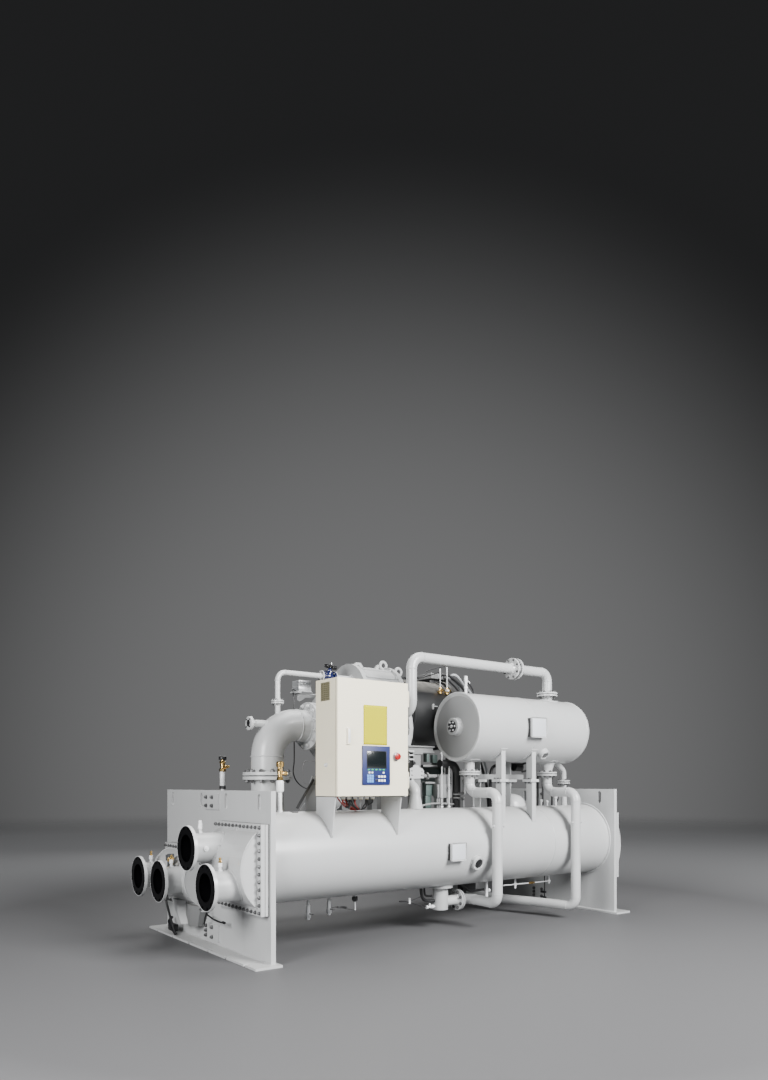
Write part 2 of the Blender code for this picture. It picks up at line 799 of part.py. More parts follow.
motor_front = GEAR_END_X + GAP
motor_length = MOTOR_END_X - motor_front
motor = turned(
    [
        (motor_length, 0),
        (motor_length, 0.14),
        (motor_length - 0.05, 0.23),
        (motor_length - 0.11, MOTOR_R - 0.02),
        (motor_length - 0.11, MOTOR_R + 0.022),
        (motor_length - 0.15, MOTOR_R + 0.022),
        (motor_length - 0.15, MOTOR_R),
        (0.04, MOTOR_R),
        (0.04, MOTOR_R + 0.015),
        (0, MOTOR_R + 0.015),
        (0, 0),
    ],
    (motor_front, MOTOR_Y, MOTOR_Z),
    X,
    32,
)
TERMINAL_X = 2.270
TERMINAL_W = 0.240
TERMINAL_LOW = MOTOR_Z + MOTOR_R + 0.025
TERMINAL_H = 0.044
MOTOR_LUG_X = GEAR_END_X + 0.120
MOTOR_FOOT_X = GEAR_END_X + 0.140
motor_top = MOTOR_Z + MOTOR_R
motor = fuse(
    motor,
    block((TERMINAL_X - 0.1, MOTOR_Y - 0.09, MOTOR_Z), (TERMINAL_X + 0.1, MOTOR_Y + 0.09, TERMINAL_LOW)),
    lug(MOTOR_LUG_X, MOTOR_Y, motor_top - 0.02, motor_top + 0.103, 0.090, 0.020),
    *machine_feet((MOTOR_FOOT_X,), 0.140, MOTOR_Z - 0.10),
)
finish(motor, "compressor_motor", motor_paint)
terminal_box = block(
    (TERMINAL_X - TERMINAL_W / 2, MOTOR_Y - 0.13, TERMINAL_LOW + GAP),
    (TERMINAL_X + TERMINAL_W / 2, MOTOR_Y + 0.13, TERMINAL_LOW + TERMINAL_H),
)
finish(terminal_box, "motor_terminal_box", grey)

# Guide vane actuator, on a post and an arm from the volute

ACTUATOR_X = 0.900
ACTUATOR_Y = DRIVE_Y + 0.210
ACTUATOR_POST_X = 1.100
ACTUATOR_Z = COMPRESSOR_Z + 0.297
ACTUATOR_BOX = (0.060, 0.055, 0.095)
PLATE_R = 0.098
box_half_x, box_half_y, box_high = ACTUATOR_BOX
actuator_at = Vector((ACTUATOR_X, ACTUATOR_Y, ACTUATOR_Z))
actuator = fuse(
    rod(
        (ACTUATOR_POST_X, ACTUATOR_Y, COMPRESSOR_Z + 0.1),
        (ACTUATOR_POST_X, ACTUATOR_Y, ACTUATOR_Z),
        0.036,
        20,
    ),
    block(
        (ACTUATOR_X, ACTUATOR_Y - 0.03, ACTUATOR_Z - 0.03),
        (ACTUATOR_POST_X, ACTUATOR_Y + 0.03, ACTUATOR_Z + 0.004),
    ),
    rod(actuator_at, actuator_at + Z * 0.014, PLATE_R, 28),
    rod(actuator_at + Z * 0.01, actuator_at - Z * 0.09, 0.040, 20),
    block(
        (ACTUATOR_X - box_half_x, ACTUATOR_Y - box_half_y, ACTUATOR_Z + 0.010),
        (ACTUATOR_X + box_half_x, ACTUATOR_Y + box_half_y, ACTUATOR_Z + 0.014 + box_high),
    ),
)
volute_clear = rod(
    (COMPRESSOR_INLET_X, DRIVE_Y, COMPRESSOR_Z),
    (VOLUTE_END_X, DRIVE_Y, COMPRESSOR_Z),
    VOLUTE_R + GAP,
    VOLUTE_SIDES,
)
finish(cut(actuator, volute_clear), "guide_vane_actuator", grey)

# Motor base: two rails with cross members, on four legs

base_parts = [
    block((BASE_FRONT_X, y - RAIL_W / 2, base_low), (BASE_BACK_X, y + RAIL_W / 2, base_top))
    for y in (near_rail_y, far_rail_y)
]
base_parts += [
    block((x - 0.025, near_rail_y, base_low + 0.004), (x + 0.025, far_rail_y, base_top - 0.004))
    for x in CROSS_XS
]
finish(fuse(*base_parts), "motor_base", grey)


def leg(x, y, seat):
    """A channel leg from the motor base down to a vessel, with its cap and foot pads."""
    half = LEG_SIDE / 2
    top = base_low - GAP
    low = (EVAP_Z if seat is evaporator_seat else COND_Z) + 0.15
    column = fuse(
        block((x - half, y - half, low), (x - half + LEG_WALL, y + half, top)),
        block((x - half + 0.002, y - half, low), (x + half, y - half + LEG_WALL, top)),
        block((x - half + 0.002, y + half - LEG_WALL, low), (x + half, y + half, top)),
        block((x - half - 0.015, y - half - 0.015, top - 0.014), (x + half + 0.015, y + half + 0.015, top)),
    )
    return cut(column, seat)


LEGS = {
    "motor_leg_near_front": (LEG_FRONT_X, near_rail_y, evaporator_seat),
    "motor_leg_near_back": (LEG_BACK_X, near_rail_y, evaporator_seat),
    "motor_leg_far_front": (LEG_FRONT_X, far_rail_y, condenser_seat),
    "motor_leg_far_back": (LEG_BACK_X, far_rail_y, condenser_seat),
}
for name, (x, y, seat) in LEGS.items():
    finish(leg(x, y, seat), name, grey)

# Oil cooler, hung under the base by two straps

oil = fuse(
    rod((OIL_FRONT_X, DRIVE_Y, OIL_Z), (OIL_BACK_X, DRIVE_Y, OIL_Z), OIL_R, 20),
    rod((OIL_BACK_X - 0.05, DRIVE_Y, OIL_Z), (OIL_BACK_X - 0.02, DRIVE_Y, OIL_Z), OIL_R + 0.025, 20),
    rod((OIL_FRONT_X + 0.02, DRIVE_Y, OIL_Z), (OIL_FRONT_X + 0.05, DRIVE_Y, OIL_Z), OIL_R + 0.025, 20),
)
strap_reach = OIL_R + 0.012
for x in CROSS_XS:
    oil = fuse(
        oil,
        block(
            (x - 0.02, DRIVE_Y - strap_reach, OIL_Z),
            (x + 0.02, DRIVE_Y + strap_reach, OIL_Z + OIL_R * 0.9),
        ),
        block((x - 0.02, DRIVE_Y - 0.015, OIL_Z), (x + 0.02, DRIVE_Y + 0.015, base_low + 0.004 - GAP)),
    )
finish(oil, "oil_cooler", oil_green)

# Control cabinet, its brackets and its door

cab_right = CAB_X + CAB_W
cab_top = CAB_LOW + CAB_H
door_back = DOOR_T
cab_front = door_back + DOOR_CLEARANCE
cabinet = cut(
    block((CAB_X, cab_front, CAB_LOW), (cab_right, CAB_DEPTH, cab_top)),
    block(
        (CAB_X + CAB_WALL, cab_front - 0.1, CAB_LOW + CAB_WALL),
        (cab_right - CAB_WALL, CAB_DEPTH - CAB_WALL, cab_top - CAB_WALL),
    ),
)
hinge_x = cab_right + HINGE_R + 0.002
hinge_y = door_back / 2
hinge_zs = (CAB_LOW + 0.12, cab_top - 0.12)
GLAND_R = 0.015
gland_xs = [CAB_X + 0.16 + 0.055 * i for i in range(6)]
gland_y = CAB_DEPTH * 0.55
cabinet_parts = [cabinet]
for z in hinge_zs:
    cabinet_parts += [
        rod((hinge_x, hinge_y, z - HINGE_L), (hinge_x, hinge_y, z), HINGE_R, 12),
        block((cab_right - OVERLAP, hinge_y, z - HINGE_L), (hinge_x, cab_front + HINGE_LEAF, z)),
    ]
cabinet_parts += [
    rod((x, gland_y, CAB_LOW - 0.028), (x, gland_y, CAB_LOW + 0.02), GLAND_R, 8) for x in gland_xs
]
cabinet = fuse(*cabinet_parts)
knuckle_clear = [
    block(
        (cab_right - 0.03, -0.01, z - HINGE_L - 0.005),
        (cab_right + 0.001, cab_front - 0.0005, z + HINGE_L),
    )
    for z in hinge_zs
]
finish(cut(cabinet, *knuckle_clear), "control_cabinet", ivory)

INNER_GAP = 0.012
plate_front = CAB_DEPTH - CAB_WALL - 0.028
inner_plate = block(
    (CAB_X + CAB_WALL + INNER_GAP, plate_front, CAB_LOW + CAB_WALL + INNER_GAP),
    (cab_right - CAB_WALL - INNER_GAP, plate_front + 0.004, cab_top - CAB_WALL - INNER_GAP),
)
stand_offs = [
    rod((x, plate_front + 0.002, z), (x, CAB_DEPTH - CAB_WALL - GAP, z), 0.009, 10)
    for x in (CAB_X + 0.07, cab_right - 0.07)
    for z in (CAB_LOW + 0.08, cab_top - 0.08)
]
modules = []
for row, (low, high, deep) in enumerate(((0.58, 0.76, 0.09), (0.35, 0.50, 0.075), (0.13, 0.27, 0.06))):
    modules.append(
        block(
            (CAB_X + 0.07, plate_front - deep, CAB_LOW + low),
            (cab_right - 0.07 - 0.05 * row, plate_front + 0.002, CAB_LOW + high),
        )
    )
finish(fuse(inner_plate, *stand_offs, *modules), "cabinet_mounting_plate", steel)

hinge_axis = empty("door_hinge", (hinge_x, hinge_y, CAB_LOW), datum)
door_left = CAB_X
door_right = cab_right
door = cut(
    block((door_left, 0, CAB_LOW), (door_right, door_back, cab_top)),
    block(
        (door_left + DOOR_WALL, DOOR_WALL, CAB_LOW + DOOR_WALL),
        (door_right - DOOR_WALL, door_back + 0.1, cab_top - DOOR_WALL),
    ),
)
door_parts = [door]
for z in hinge_zs:
    door_parts += [
        rod((hinge_x, hinge_y, z + GAP), (hinge_x, hinge_y, z + HINGE_L), HINGE_R, 12),
        block(
            (door_right - OVERLAP, hinge_y - OVERLAP, z + GAP),
            (hinge_x, hinge_y + OVERLAP, z + HINGE_L),
        ),
    ]
HMI_X = CAB_X + 0.219
HMI_W = 0.254
HMI_Z = CAB_LOW + 0.085
HMI_H = 0.292
HMI_PROUD = 0.010
PANEL_OVERLAP = 0.003
STOP_X = CAB_X + 0.540
STOP_Z = CAB_LOW + 0.302
STOP_R = 0.022
HANDLE_X = CAB_X + 0.096
HANDLE_Z = CAB_LOW + 0.445
HANDLE_HALF = 0.060
door_parts += [
    block((HMI_X, -HMI_PROUD, HMI_Z), (HMI_X + HMI_W, PANEL_OVERLAP, HMI_Z + HMI_H)),
    rod((STOP_X, -0.030, STOP_Z), (STOP_X, PANEL_OVERLAP, STOP_Z), STOP_R, 20),
    block(
        (HANDLE_X - 0.014, -0.014, HANDLE_Z - HANDLE_HALF),
        (HANDLE_X + 0.014, PANEL_OVERLAP, HANDLE_Z + HANDLE_HALF),
    ),
]
finish(fuse(*door_parts), "control_door", ivory, hinge_axis)

BRACKET_XS = (CAB_X + BRACKET_T, cab_right - 0.035)


def bracket(x):
    """A tapered plate under the cabinet, cut to the evaporator, with a flange at its top."""
    top = CAB_LOW - GAP
    tip_y = EVAP_Y - math.sqrt(EVAP_R**2 - (BRACKET_TIP_Z - EVAP_Z) ** 2)
    points = [
        (cab_front + 0.01, top),
        (cab_front + 0.01, top - 0.03),
        (tip_y - 0.012, BRACKET_TIP_Z + 0.02),
        (tip_y, BRACKET_TIP_Z),
        (CAB_DEPTH, BRACKET_TIP_Z),
        (CAB_DEPTH, top),
    ]
    plate = outline(points, x - BRACKET_T / 2, BRACKET_T, X)
    lip = block((x - BRACKET_T / 2, cab_front + 0.01, top - BRACKET_T), (x + 0.05, CAB_DEPTH, top))
    return cut(fuse(plate, lip), evaporator_seat)


for name, x in zip(("cabinet_bracket_left", "cabinet_bracket_right"), BRACKET_XS):
    finish(bracket(x), name, ivory)

CABLE_R = 0.009


def cable(start_x, loop, behind, head_z, end_x):
    """A cable from a gland: down in a loop, up behind the cabinet and across to the gear housing."""
    low = CAB_LOW - 0.028 - GAP
    rise_x = start_x + 0.12
    across_y = CAB_DEPTH + 0.12
    points = [
        (start_x, gland_y, low),
        (start_x, gland_y, low - loop),
        (rise_x, CAB_DEPTH + behind, low - loop),
        (rise_x, CAB_DEPTH + behind, head_z),
        (end_x, across_y, head_z),
        (end_x, gear_side, head_z),
    ]
    return pipe(points, CABLE_R, 0.030, 8, 3)


gear_side = DRIVE_Y - GEAR_R - 0.001
finish(cable(gland_xs[1], 0.065, 0.080, 1.740, 1.350), "motor_cable", black)
finish(cable(gland_xs[4], 0.050, 0.045, 1.780, 1.440), "sensor_cable", black)

# Economizer: a flat head with a rim at the front, a dished head at the back, and its necks

eco_length = ECO_STRAIGHT_END_X - ECO_FRONT_X
dish = [
    (eco_length + ECO_HEAD * math.cos(turn), ECO_R * math.sin(turn))
    for turn in [math.radians(angle) for angle in range(0, 90, 18)]
]
dish[0] = (eco_length + ECO_HEAD, 0)
HEAD_BOSS_R = 0.075
HEAD_BOSS_PROUD = 0.045
vessel = turned(
    dish
    + [
        (eco_length, ECO_R),
        (0.03, ECO_R),
        (0.024, ECO_R + 0.006),
        (0.004, ECO_R + 0.006),
        (0, ECO_R),
        (0.012, ECO_R - 0.025),
        (0.012, HEAD_BOSS_R),
        (-HEAD_BOSS_PROUD, HEAD_BOSS_R),
        (-HEAD_BOSS_PROUD, 0),
    ],
    (ECO_FRONT_X, ECO_Y, ECO_Z),
    X,
    ECO_SIDES,
)
joint_face = LINE_JOINT_Z + LINE_FLANGE_T
neck_top = ECO_Z - ECO_R + 0.03
vent_low_face = Vector((RIGHT_LINE_X, ECO_Y, ECO_Z + ECO_R + 0.060))
vessel = fuse(
    vessel,
    rod((LEFT_LINE_X, ECO_Y, neck_top), (LEFT_LINE_X, ECO_Y, joint_face + 0.004), LINE_R),
    rod((LEFT_LINE_X, ECO_Y, neck_top), (LEFT_LINE_X, ECO_Y, ECO_Z - ECO_R - 0.010), 0.075, 20),
    flange((LEFT_LINE_X, ECO_Y, joint_face), -Z, LINE_FLANGE_T),
    rod((RIGHT_LINE_X, ECO_Y, neck_top), (RIGHT_LINE_X, ECO_Y, joint_face + 0.03), 0.070, 20, 0.048),
    rod((RIGHT_LINE_X, ECO_Y, neck_top), (RIGHT_LINE_X, ECO_Y, ECO_Z - ECO_R - 0.008), 0.095, 20),
    rod((RIGHT_LINE_X, ECO_Y, joint_face + 0.04), (RIGHT_LINE_X, ECO_Y, joint_face + 0.004), LINE_R),
    flange((RIGHT_LINE_X, ECO_Y, joint_face), -Z, LINE_FLANGE_T),
    rod(vent_low_face - Z * 0.005, (RIGHT_LINE_X, ECO_Y, ECO_Z + ECO_R - 0.03), LINE_R),
    flange(vent_low_face, Z, LINE_FLANGE_T, 0.098),
)
GAUGE_X = 2.905
gauge_out = Vector((0, -0.70, -0.714)).normalized()
gauge_at = Vector((GAUGE_X, ECO_Y, ECO_Z)) + gauge_out * ECO_R
vessel = fuse(vessel, rod(gauge_at - gauge_out * 0.02, gauge_at + gauge_out * 0.028, 0.050, 20))
finish(vessel, "economizer_vessel", grey)


def vessel_leg(x, y, web, front):
    """A T-section leg between the economizer and the evaporator, bolted at mid-height."""
    back = web if front else -web
    half = 0.024
    flat = sorted((y, y + (0.008 if front else -0.008)))
    stem = sorted((y + (0.004 if front else -0.004), y + back))
    plate = sorted((y - (0.012 if front else -0.012), y + back + (0.004 if front else -0.028)))
    top = ECO_Z - ECO_R + 0.22
    low = EVAP_Z + 0.16
    body = fuse(
        block((x - half, flat[0], low), (x + half, flat[1], top)),
        block((x - 0.005, stem[0], low), (x + 0.005, stem[1], top)),
        block((x - 0.052, plate[0], CLAMP_Z - CLAMP_T), (x + 0.052, plate[1], CLAMP_Z + CLAMP_T)),
    )
    body = cut(body, evaporator_seat, economizer_seat)
    return body


for place, x in (("left", LEG_LEFT_X), ("right", LEG_RIGHT_X)):
    finish(vessel_leg(x, FRONT_LEG_Y, FRONT_LEG_WEB, True), f"economizer_leg_front_{place}", grey)
    finish(vessel_leg(x, REAR_LEG_Y, REAR_LEG_WEB, False), f"economizer_leg_rear_{place}", grey)

TIE_LOW_Z = CLAMP_Z + CLAMP_T + GAP
TIE_W = 0.030
TIE_H = 0.045
TIE_T = 0.006
tie_back = REAR_LEG_Y - REAR_LEG_WEB - GAP
tie_xs = (LEG_LEFT_X - 0.095, LEG_RIGHT_X + 0.140)
tie_front = tie_back - TIE_W
tie = fuse(
    block((tie_xs[0], tie_front, TIE_LOW_Z), (tie_xs[1], tie_back, TIE_LOW_Z + TIE_T)),
    block((tie_xs[0], tie_front, TIE_LOW_Z), (tie_xs[1], tie_front + TIE_T, TIE_LOW_Z + TIE_H)),
)
finish(tie, "economizer_tie_bar", grey)

# Liquid lines: economizer to evaporator on the left, condenser to economizer on the right

line_top = joint_face - GAP
left_end = Vector((sump_flange_x + GAP, EVAP_Y, LEFT_LINE_LOW_Z))
left_line = fuse(
    flange((LEFT_LINE_X, ECO_Y, line_top), Z, LINE_FLANGE_T),
    pipe(
        [
            (LEFT_LINE_X, ECO_Y, line_top - 0.005),
            (LEFT_LINE_X, ECO_Y, LINE_RUN_Z),
            (LEFT_LINE_X, LINE_DROP_Y, LINE_RUN_Z),
            (LEFT_LINE_X, LINE_DROP_Y, LEFT_LINE_LOW_Z),
            (LEFT_LINE_X + 0.03, EVAP_Y, LEFT_LINE_LOW_Z),
            left_end + X * 0.005,
        ],
        LINE_R,
        LINE_BEND,
        PIPE_SIDES,
        4,
    ),
    flange(left_end, -X, LINE_FLANGE_T),
)
finish(left_line, "liquid_line_left", grey)

cond_end = Vector((COND_SUMP_X, cond_flange_y - GAP, RIGHT_LINE_LOW_Z))
right_line = fuse(
    flange((RIGHT_LINE_X, ECO_Y, line_top), Z, LINE_FLANGE_T),
    pipe(
        [
            (RIGHT_LINE_X, ECO_Y, line_top - 0.005),
            (RIGHT_LINE_X, ECO_Y, LINE_RUN_Z),
            (RIGHT_LINE_X, LINE_DROP_Y, LINE_RUN_Z),
            (RIGHT_LINE_X, LINE_DROP_Y, RIGHT_LINE_LOW_Z),
            (COND_SUMP_X, 0.900, RIGHT_LINE_LOW_Z),
            cond_end - Y * 0.005,
        ],
        LINE_R,
        LINE_BEND,
        PIPE_SIDES,
        4,
    ),
    flange(cond_end, Y, LINE_FLANGE_T),
)
finish(right_line, "liquid_line_right", grey)

# Vent line: economizer top to the gear housing, with a check valve clamped in it

vent_high = vent_low_face + Z * GAP
half_check = VENT_CHECK_T / 2 + GAP
back_face = Vector((VENT_JOINT_X + half_check, ECO_Y, VENT_Z))
front_face = Vector((VENT_JOINT_X - half_check, ECO_Y, VENT_Z))
vent_back = fuse(
    flange(vent_high, -Z, LINE_FLANGE_T, 0.098),
    pipe([vent_high + Z * 0.005, (RIGHT_LINE_X, ECO_Y, VENT_Z), back_face + X * 0.005], LINE_R, LINE_BEND),
    flange(back_face, -X, 0.020, 0.098),
)
finish(vent_back, "vent_pipe_back", grey)
check_half = VENT_CHECK_T / 2
check_middle = Vector((VENT_JOINT_X, ECO_Y, VENT_Z))
check = rod(check_middle - X * check_half, check_middle + X * check_half, 0.078, 24)
finish(check, "vent_check_valve", grey)
vent_port = vent_face - Y * GAP
vent_front = fuse(
    flange(front_face, X, 0.020, 0.098),
    pipe(
        [
            front_face - X * 0.005,
            (VENT_X, ECO_Y, VENT_Z),
            (VENT_X, ECO_Y, VENT_TURN_Z),
            vent_port - Y * 0.005,
        ],
        LINE_R,
        0.105,
    ),
    flange(vent_port, Y, LINE_FLANGE_T),
)
finish(vent_front, "vent_pipe_front", grey)

# Relief valves on both vessels


def relief_valve(x, y, low, steps):
    """A relief valve: turned and hexagon lengths stacked on a nipple, with an outlet along the machine."""
    lows = [low] + [top - 0.004 for top, _, _ in steps]
    outlet_z = steps[-1][0] - RELIEF_OUTLET_DROP
    lengths = [
        rod((x, y, start), (x, y, top), radius, sides) for start, (top, radius, sides) in zip(lows, steps)
    ]
    return fuse(*lengths, rod((x, y, outlet_z), (x + RELIEF_OUTLET_L, y, outlet_z), RELIEF_OUTLET_R, 12))


RELIEF_X = 0.292
RELIEF_OUTLET_DROP = 0.090
RELIEF_OUTLET_L = 0.060
RELIEF_OUTLET_R = 0.014
EVAP_RELIEF_SEAT = PLATE_TOP - 0.016
COND_RELIEF_SEAT = PLATE_TOP + 0.008
evap_relief = relief_valve(
    RELIEF_X,
    EVAP_Y,
    EVAP_Z + 0.2,
    (
        (EVAP_RELIEF_SEAT, 0.015, 12),
        (EVAP_RELIEF_SEAT + 0.092, 0.0295, 16),
        (EVAP_RELIEF_SEAT + 0.195, 0.023, 6),
        (EVAP_RELIEF_SEAT + 0.235, 0.033, 6),
    ),
)
finish(cut(evap_relief, evaporator_seat), "evaporator_relief_valve", brass)
cond_relief = relief_valve(
    RELIEF_X,
    COND_Y,
    COND_Z + 0.2,
    (
        (COND_RELIEF_SEAT, 0.016, 12),
        (COND_RELIEF_SEAT + 0.026, 0.026, 6),
        (COND_RELIEF_SEAT + 0.150, 0.023, 16),
        (COND_RELIEF_SEAT + 0.248, 0.033, 6),
        (COND_RELIEF_SEAT + 0.281, 0.036, 16),
    ),
)
finish(cut(cond_relief, condenser_seat), "condenser_relief_valve", brass)

# Hot gas bypass: from the suction elbow over the cabinet to the purge valve, then to the gear housing

bypass_start = Vector((BYPASS_X, DRIVE_Y, BYPASS_JOINT_Z + GAP))
BYPASS_Z = COMPRESSOR_Z + 0.435
BYPASS_BEND = 0.070
VALVE_X = 1.040
VALVE_R = 0.040
VALVE_HALF = 0.060
valve_front = Vector((VALVE_X - VALVE_HALF - GAP, DRIVE_Y, BYPASS_Z))
bypass = fuse(
    flange(bypass_start, -Z, 0.014, 0.052, 20),
    pipe(
        [bypass_start + Z * 0.005, (BYPASS_X, DRIVE_Y, BYPASS_Z), valve_front - X * 0.005],
        BYPASS_R,
        BYPASS_BEND,
        12,
    ),
    flange(valve_front, X, 0.012, 0.048, 20),
)
finish(bypass, "bypass_pipe", grey)

stem_tilt = Vector((0.28, 0, 0.96)).normalized()
valve_middle = Vector((VALVE_X, DRIVE_Y, BYPASS_Z))
BONNET_L = 0.075
STEM_R = 0.007
STEM_L = 0.130
valve_back = VALVE_X + VALVE_HALF
valve = fuse(
    rod((VALVE_X - VALVE_HALF, DRIVE_Y, BYPASS_Z), (valve_back, DRIVE_Y, BYPASS_Z), 0.030, 16),
    flange((VALVE_X - VALVE_HALF, DRIVE_Y, BYPASS_Z), -X, 0.012, 0.048, 20),
    flange((valve_back, DRIVE_Y, BYPASS_Z), X, 0.012, 0.048, 20),
    rod(valve_middle, valve_middle + stem_tilt * BONNET_L, VALVE_R, 16, 0.024),
    rod(valve_middle, valve_middle + stem_tilt * STEM_L, STEM_R, 12),
)
finish(valve, "purge_valve", blue)

valve_tail = Vector((valve_back + GAP, DRIVE_Y, BYPASS_Z))
tail_end_x = gear_front - GAP
tail = fuse(
    flange(valve_tail, -X, 0.012, 0.048, 20),
    rod(valve_tail, (tail_end_x, DRIVE_Y, BYPASS_Z), BYPASS_R, 12),
    rod((tail_end_x - 0.012, DRIVE_Y, BYPASS_Z), (tail_end_x, DRIVE_Y, BYPASS_Z), 0.040, 16),
)
finish(tail, "bypass_tail", grey)

WHEEL_R = 0.052
WHEEL_RIM_R = 0.0075
WHEEL_SEAT = 0.092
WHEEL_BORE = STEM_R + 0.0006
wheel_centre = valve_middle + stem_tilt * WHEEL_SEAT
wheel_axis = empty("handwheel_axis", wheel_centre, datum)
turn = turn_to(stem_tilt)
rim_profile = [
    (WHEEL_RIM_R * math.sin(a), WHEEL_R + WHEEL_RIM_R * math.cos(a))
    for a in [math.radians(angle) for angle in range(360, -1, -60)]
]
rim = turned(rim_profile, wheel_centre, stem_tilt, 18)
spokes = [
    rod(
        wheel_centre + turn @ Vector((math.cos(a), math.sin(a), 0)) * 0.010,
        wheel_centre + turn @ Vector((math.cos(a), math.sin(a), 0)) * WHEEL_R,
        0.005,
        6,
    )
    for a in [math.radians(60 * i) for i in range(6)]
]
hub = rod(wheel_centre - stem_tilt * 0.011, wheel_centre + stem_tilt * 0.011, 0.015, 16)
bore = rod(wheel_centre - stem_tilt * 0.05, wheel_centre + stem_tilt * 0.05, WHEEL_BORE, 16)
finish(cut(fuse(rim, hub, *spokes), bore), "valve_handwheel", black, wheel_axis)

# Balance line: a tapered neck on the evaporator, turning back to the condenser

BALANCE_X = 1.600
BALANCE_R = 0.043
BALANCE_FLANGE_T = 0.016
BALANCE_FLANGE_R = 0.080
neck_high = 1.250
neck_face = Vector((BALANCE_X, EVAP_Y + 0.110, neck_high))
neck = fuse(
    rod((BALANCE_X, EVAP_Y, EVAP_Z + 0.25), (BALANCE_X, EVAP_Y, 1.160), 0.062, 20, 0.045),
    pipe(
        [(BALANCE_X, EVAP_Y, 1.150), (BALANCE_X, EVAP_Y, neck_high), neck_face - Y * 0.005],
        BALANCE_R,
        0.060,
    ),
    flange(neck_face, Y, BALANCE_FLANGE_T, BALANCE_FLANGE_R),
)
finish(cut(neck, evaporator_seat), "balance_neck", grey)
balance_start = neck_face + Y * GAP
balance = fuse(
    flange(balance_start, -Y, BALANCE_FLANGE_T, BALANCE_FLANGE_R),
    pipe(
        [balance_start + Y * 0.005, (BALANCE_X, COND_Y, neck_high), (BALANCE_X, COND_Y, COND_Z + 0.2)],
        BALANCE_R,
        0.100,
    ),
)
finish(cut(balance, condenser_seat), "balance_pipe", grey)
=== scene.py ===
"""Dresses the centrifugal chiller: seams, bolts, pipework, fittings, cables and the finish of each piece.

Places are measured as a fitter would, in metres from one corner of the machine: the outer face of
the front end plates (x), their near edge (y) and the floor (z). at() takes them into the frame.
"""

import json
from math import asin, atan2, cos, pi, radians, sin, sqrt, tan

import bmesh
import bpy
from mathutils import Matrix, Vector

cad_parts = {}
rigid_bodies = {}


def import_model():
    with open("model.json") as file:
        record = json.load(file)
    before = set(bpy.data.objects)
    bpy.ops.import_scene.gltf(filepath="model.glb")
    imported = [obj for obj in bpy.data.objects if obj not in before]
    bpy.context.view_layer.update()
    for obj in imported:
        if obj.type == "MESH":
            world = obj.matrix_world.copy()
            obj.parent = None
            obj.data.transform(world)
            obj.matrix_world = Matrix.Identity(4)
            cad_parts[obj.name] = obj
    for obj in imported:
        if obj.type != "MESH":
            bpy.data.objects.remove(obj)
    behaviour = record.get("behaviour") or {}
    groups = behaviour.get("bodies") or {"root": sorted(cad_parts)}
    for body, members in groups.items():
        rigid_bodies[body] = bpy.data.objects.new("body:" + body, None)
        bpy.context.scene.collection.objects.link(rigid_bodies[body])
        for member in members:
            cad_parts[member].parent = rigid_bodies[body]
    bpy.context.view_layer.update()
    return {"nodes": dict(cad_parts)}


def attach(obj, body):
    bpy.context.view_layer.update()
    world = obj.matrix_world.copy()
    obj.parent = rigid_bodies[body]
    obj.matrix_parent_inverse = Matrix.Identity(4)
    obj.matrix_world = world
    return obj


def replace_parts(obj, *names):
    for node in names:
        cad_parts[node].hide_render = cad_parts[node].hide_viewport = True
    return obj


for spare in list(bpy.data.objects):
    bpy.data.objects.remove(spare)
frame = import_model()

# The viewpoint: a level camera a little over a metre up, off the front near corner of the machine.
# The lens is raised in its mount, so the chiller stands low in an upright picture.
LENS_MM = 26.13
LENS_RISE = 0.226
EYE = (-4.395, -5.764, 1.265)
EYE_TURN = radians(-36.6)

viewpoint = bpy.data.objects.new("viewpoint", bpy.data.cameras.new("viewpoint"))
viewpoint.data.sensor_width = 36
viewpoint.data.lens = LENS_MM
viewpoint.data.shift_y = LENS_RISE
viewpoint.location = EYE
viewpoint.rotation_euler = (pi / 2, 0, EYE_TURN)
bpy.context.scene.collection.objects.link(viewpoint)
bpy.context.scene.camera = viewpoint

# The studio: a seamless pale floor under large soft boxes. The main one stands off the long side, high
# on the camera's right, and weaker ones at the left, above and behind leave the ends in half shade.
FLOOR_HALF = 30.0
FLOOR_DROP = 0.0005
# Near the machine the floor is much darker than far off: painted shade round the machine, paling over a few metres
# to the floor's own pale tone.
FLOOR_PAINTED_SHADE, FLOOR_FAR = (0.11, 0.11, 0.113, 1), (0.85, 0.86, 0.88, 1)
SHADE_LIFTS_OVER, FADES_OVER = (4.0, 15.0), (9.0, 28.0)
WALL_DIM, WALL_LIT = (0.2, 0.203, 0.21, 1), (1.9, 1.91, 1.93, 1)
WALL_LEVEL = 0.09
GLOW_SIDE = (0.6, 0.8, 0.02)
GLOW_FROM = 0.78
SOFT_BOXES = (
    ("main_soft_box", (1.0, -7.5, 4.8), 3.0, 1900),
    ("left_soft_box", (-7.2, -3.2, 3.0), 2.6, 660),
    ("top_soft_box", (0.0, 0.5, 6.5), 3.5, 300),
    ("rear_soft_box", (2.5, 6.5, 4.5), 4.0, 150),
)
LAMP_AIM = Vector((0, 0, 0.9))


def wired(made, kind, feeds=(), **values):
    """One shader node, with its settings, its sockets' values and the outputs that feed it."""
    node = made.node_tree.nodes.new(kind)
    for key, value in values.items():
        setattr(node, key, value)
    for socket, value in feeds:
        if hasattr(value, "is_output"):
            made.node_tree.links.new(value, node.inputs[socket])
        else:
            node.inputs[socket].default_value = value
    return node


def blended(made, share, under, over):
    """A colour that goes from one to another as the share rises."""
    return wired(made, "ShaderNodeMix", ((0, share), (6, under), (7, over)), data_type="RGBA").outputs[2]


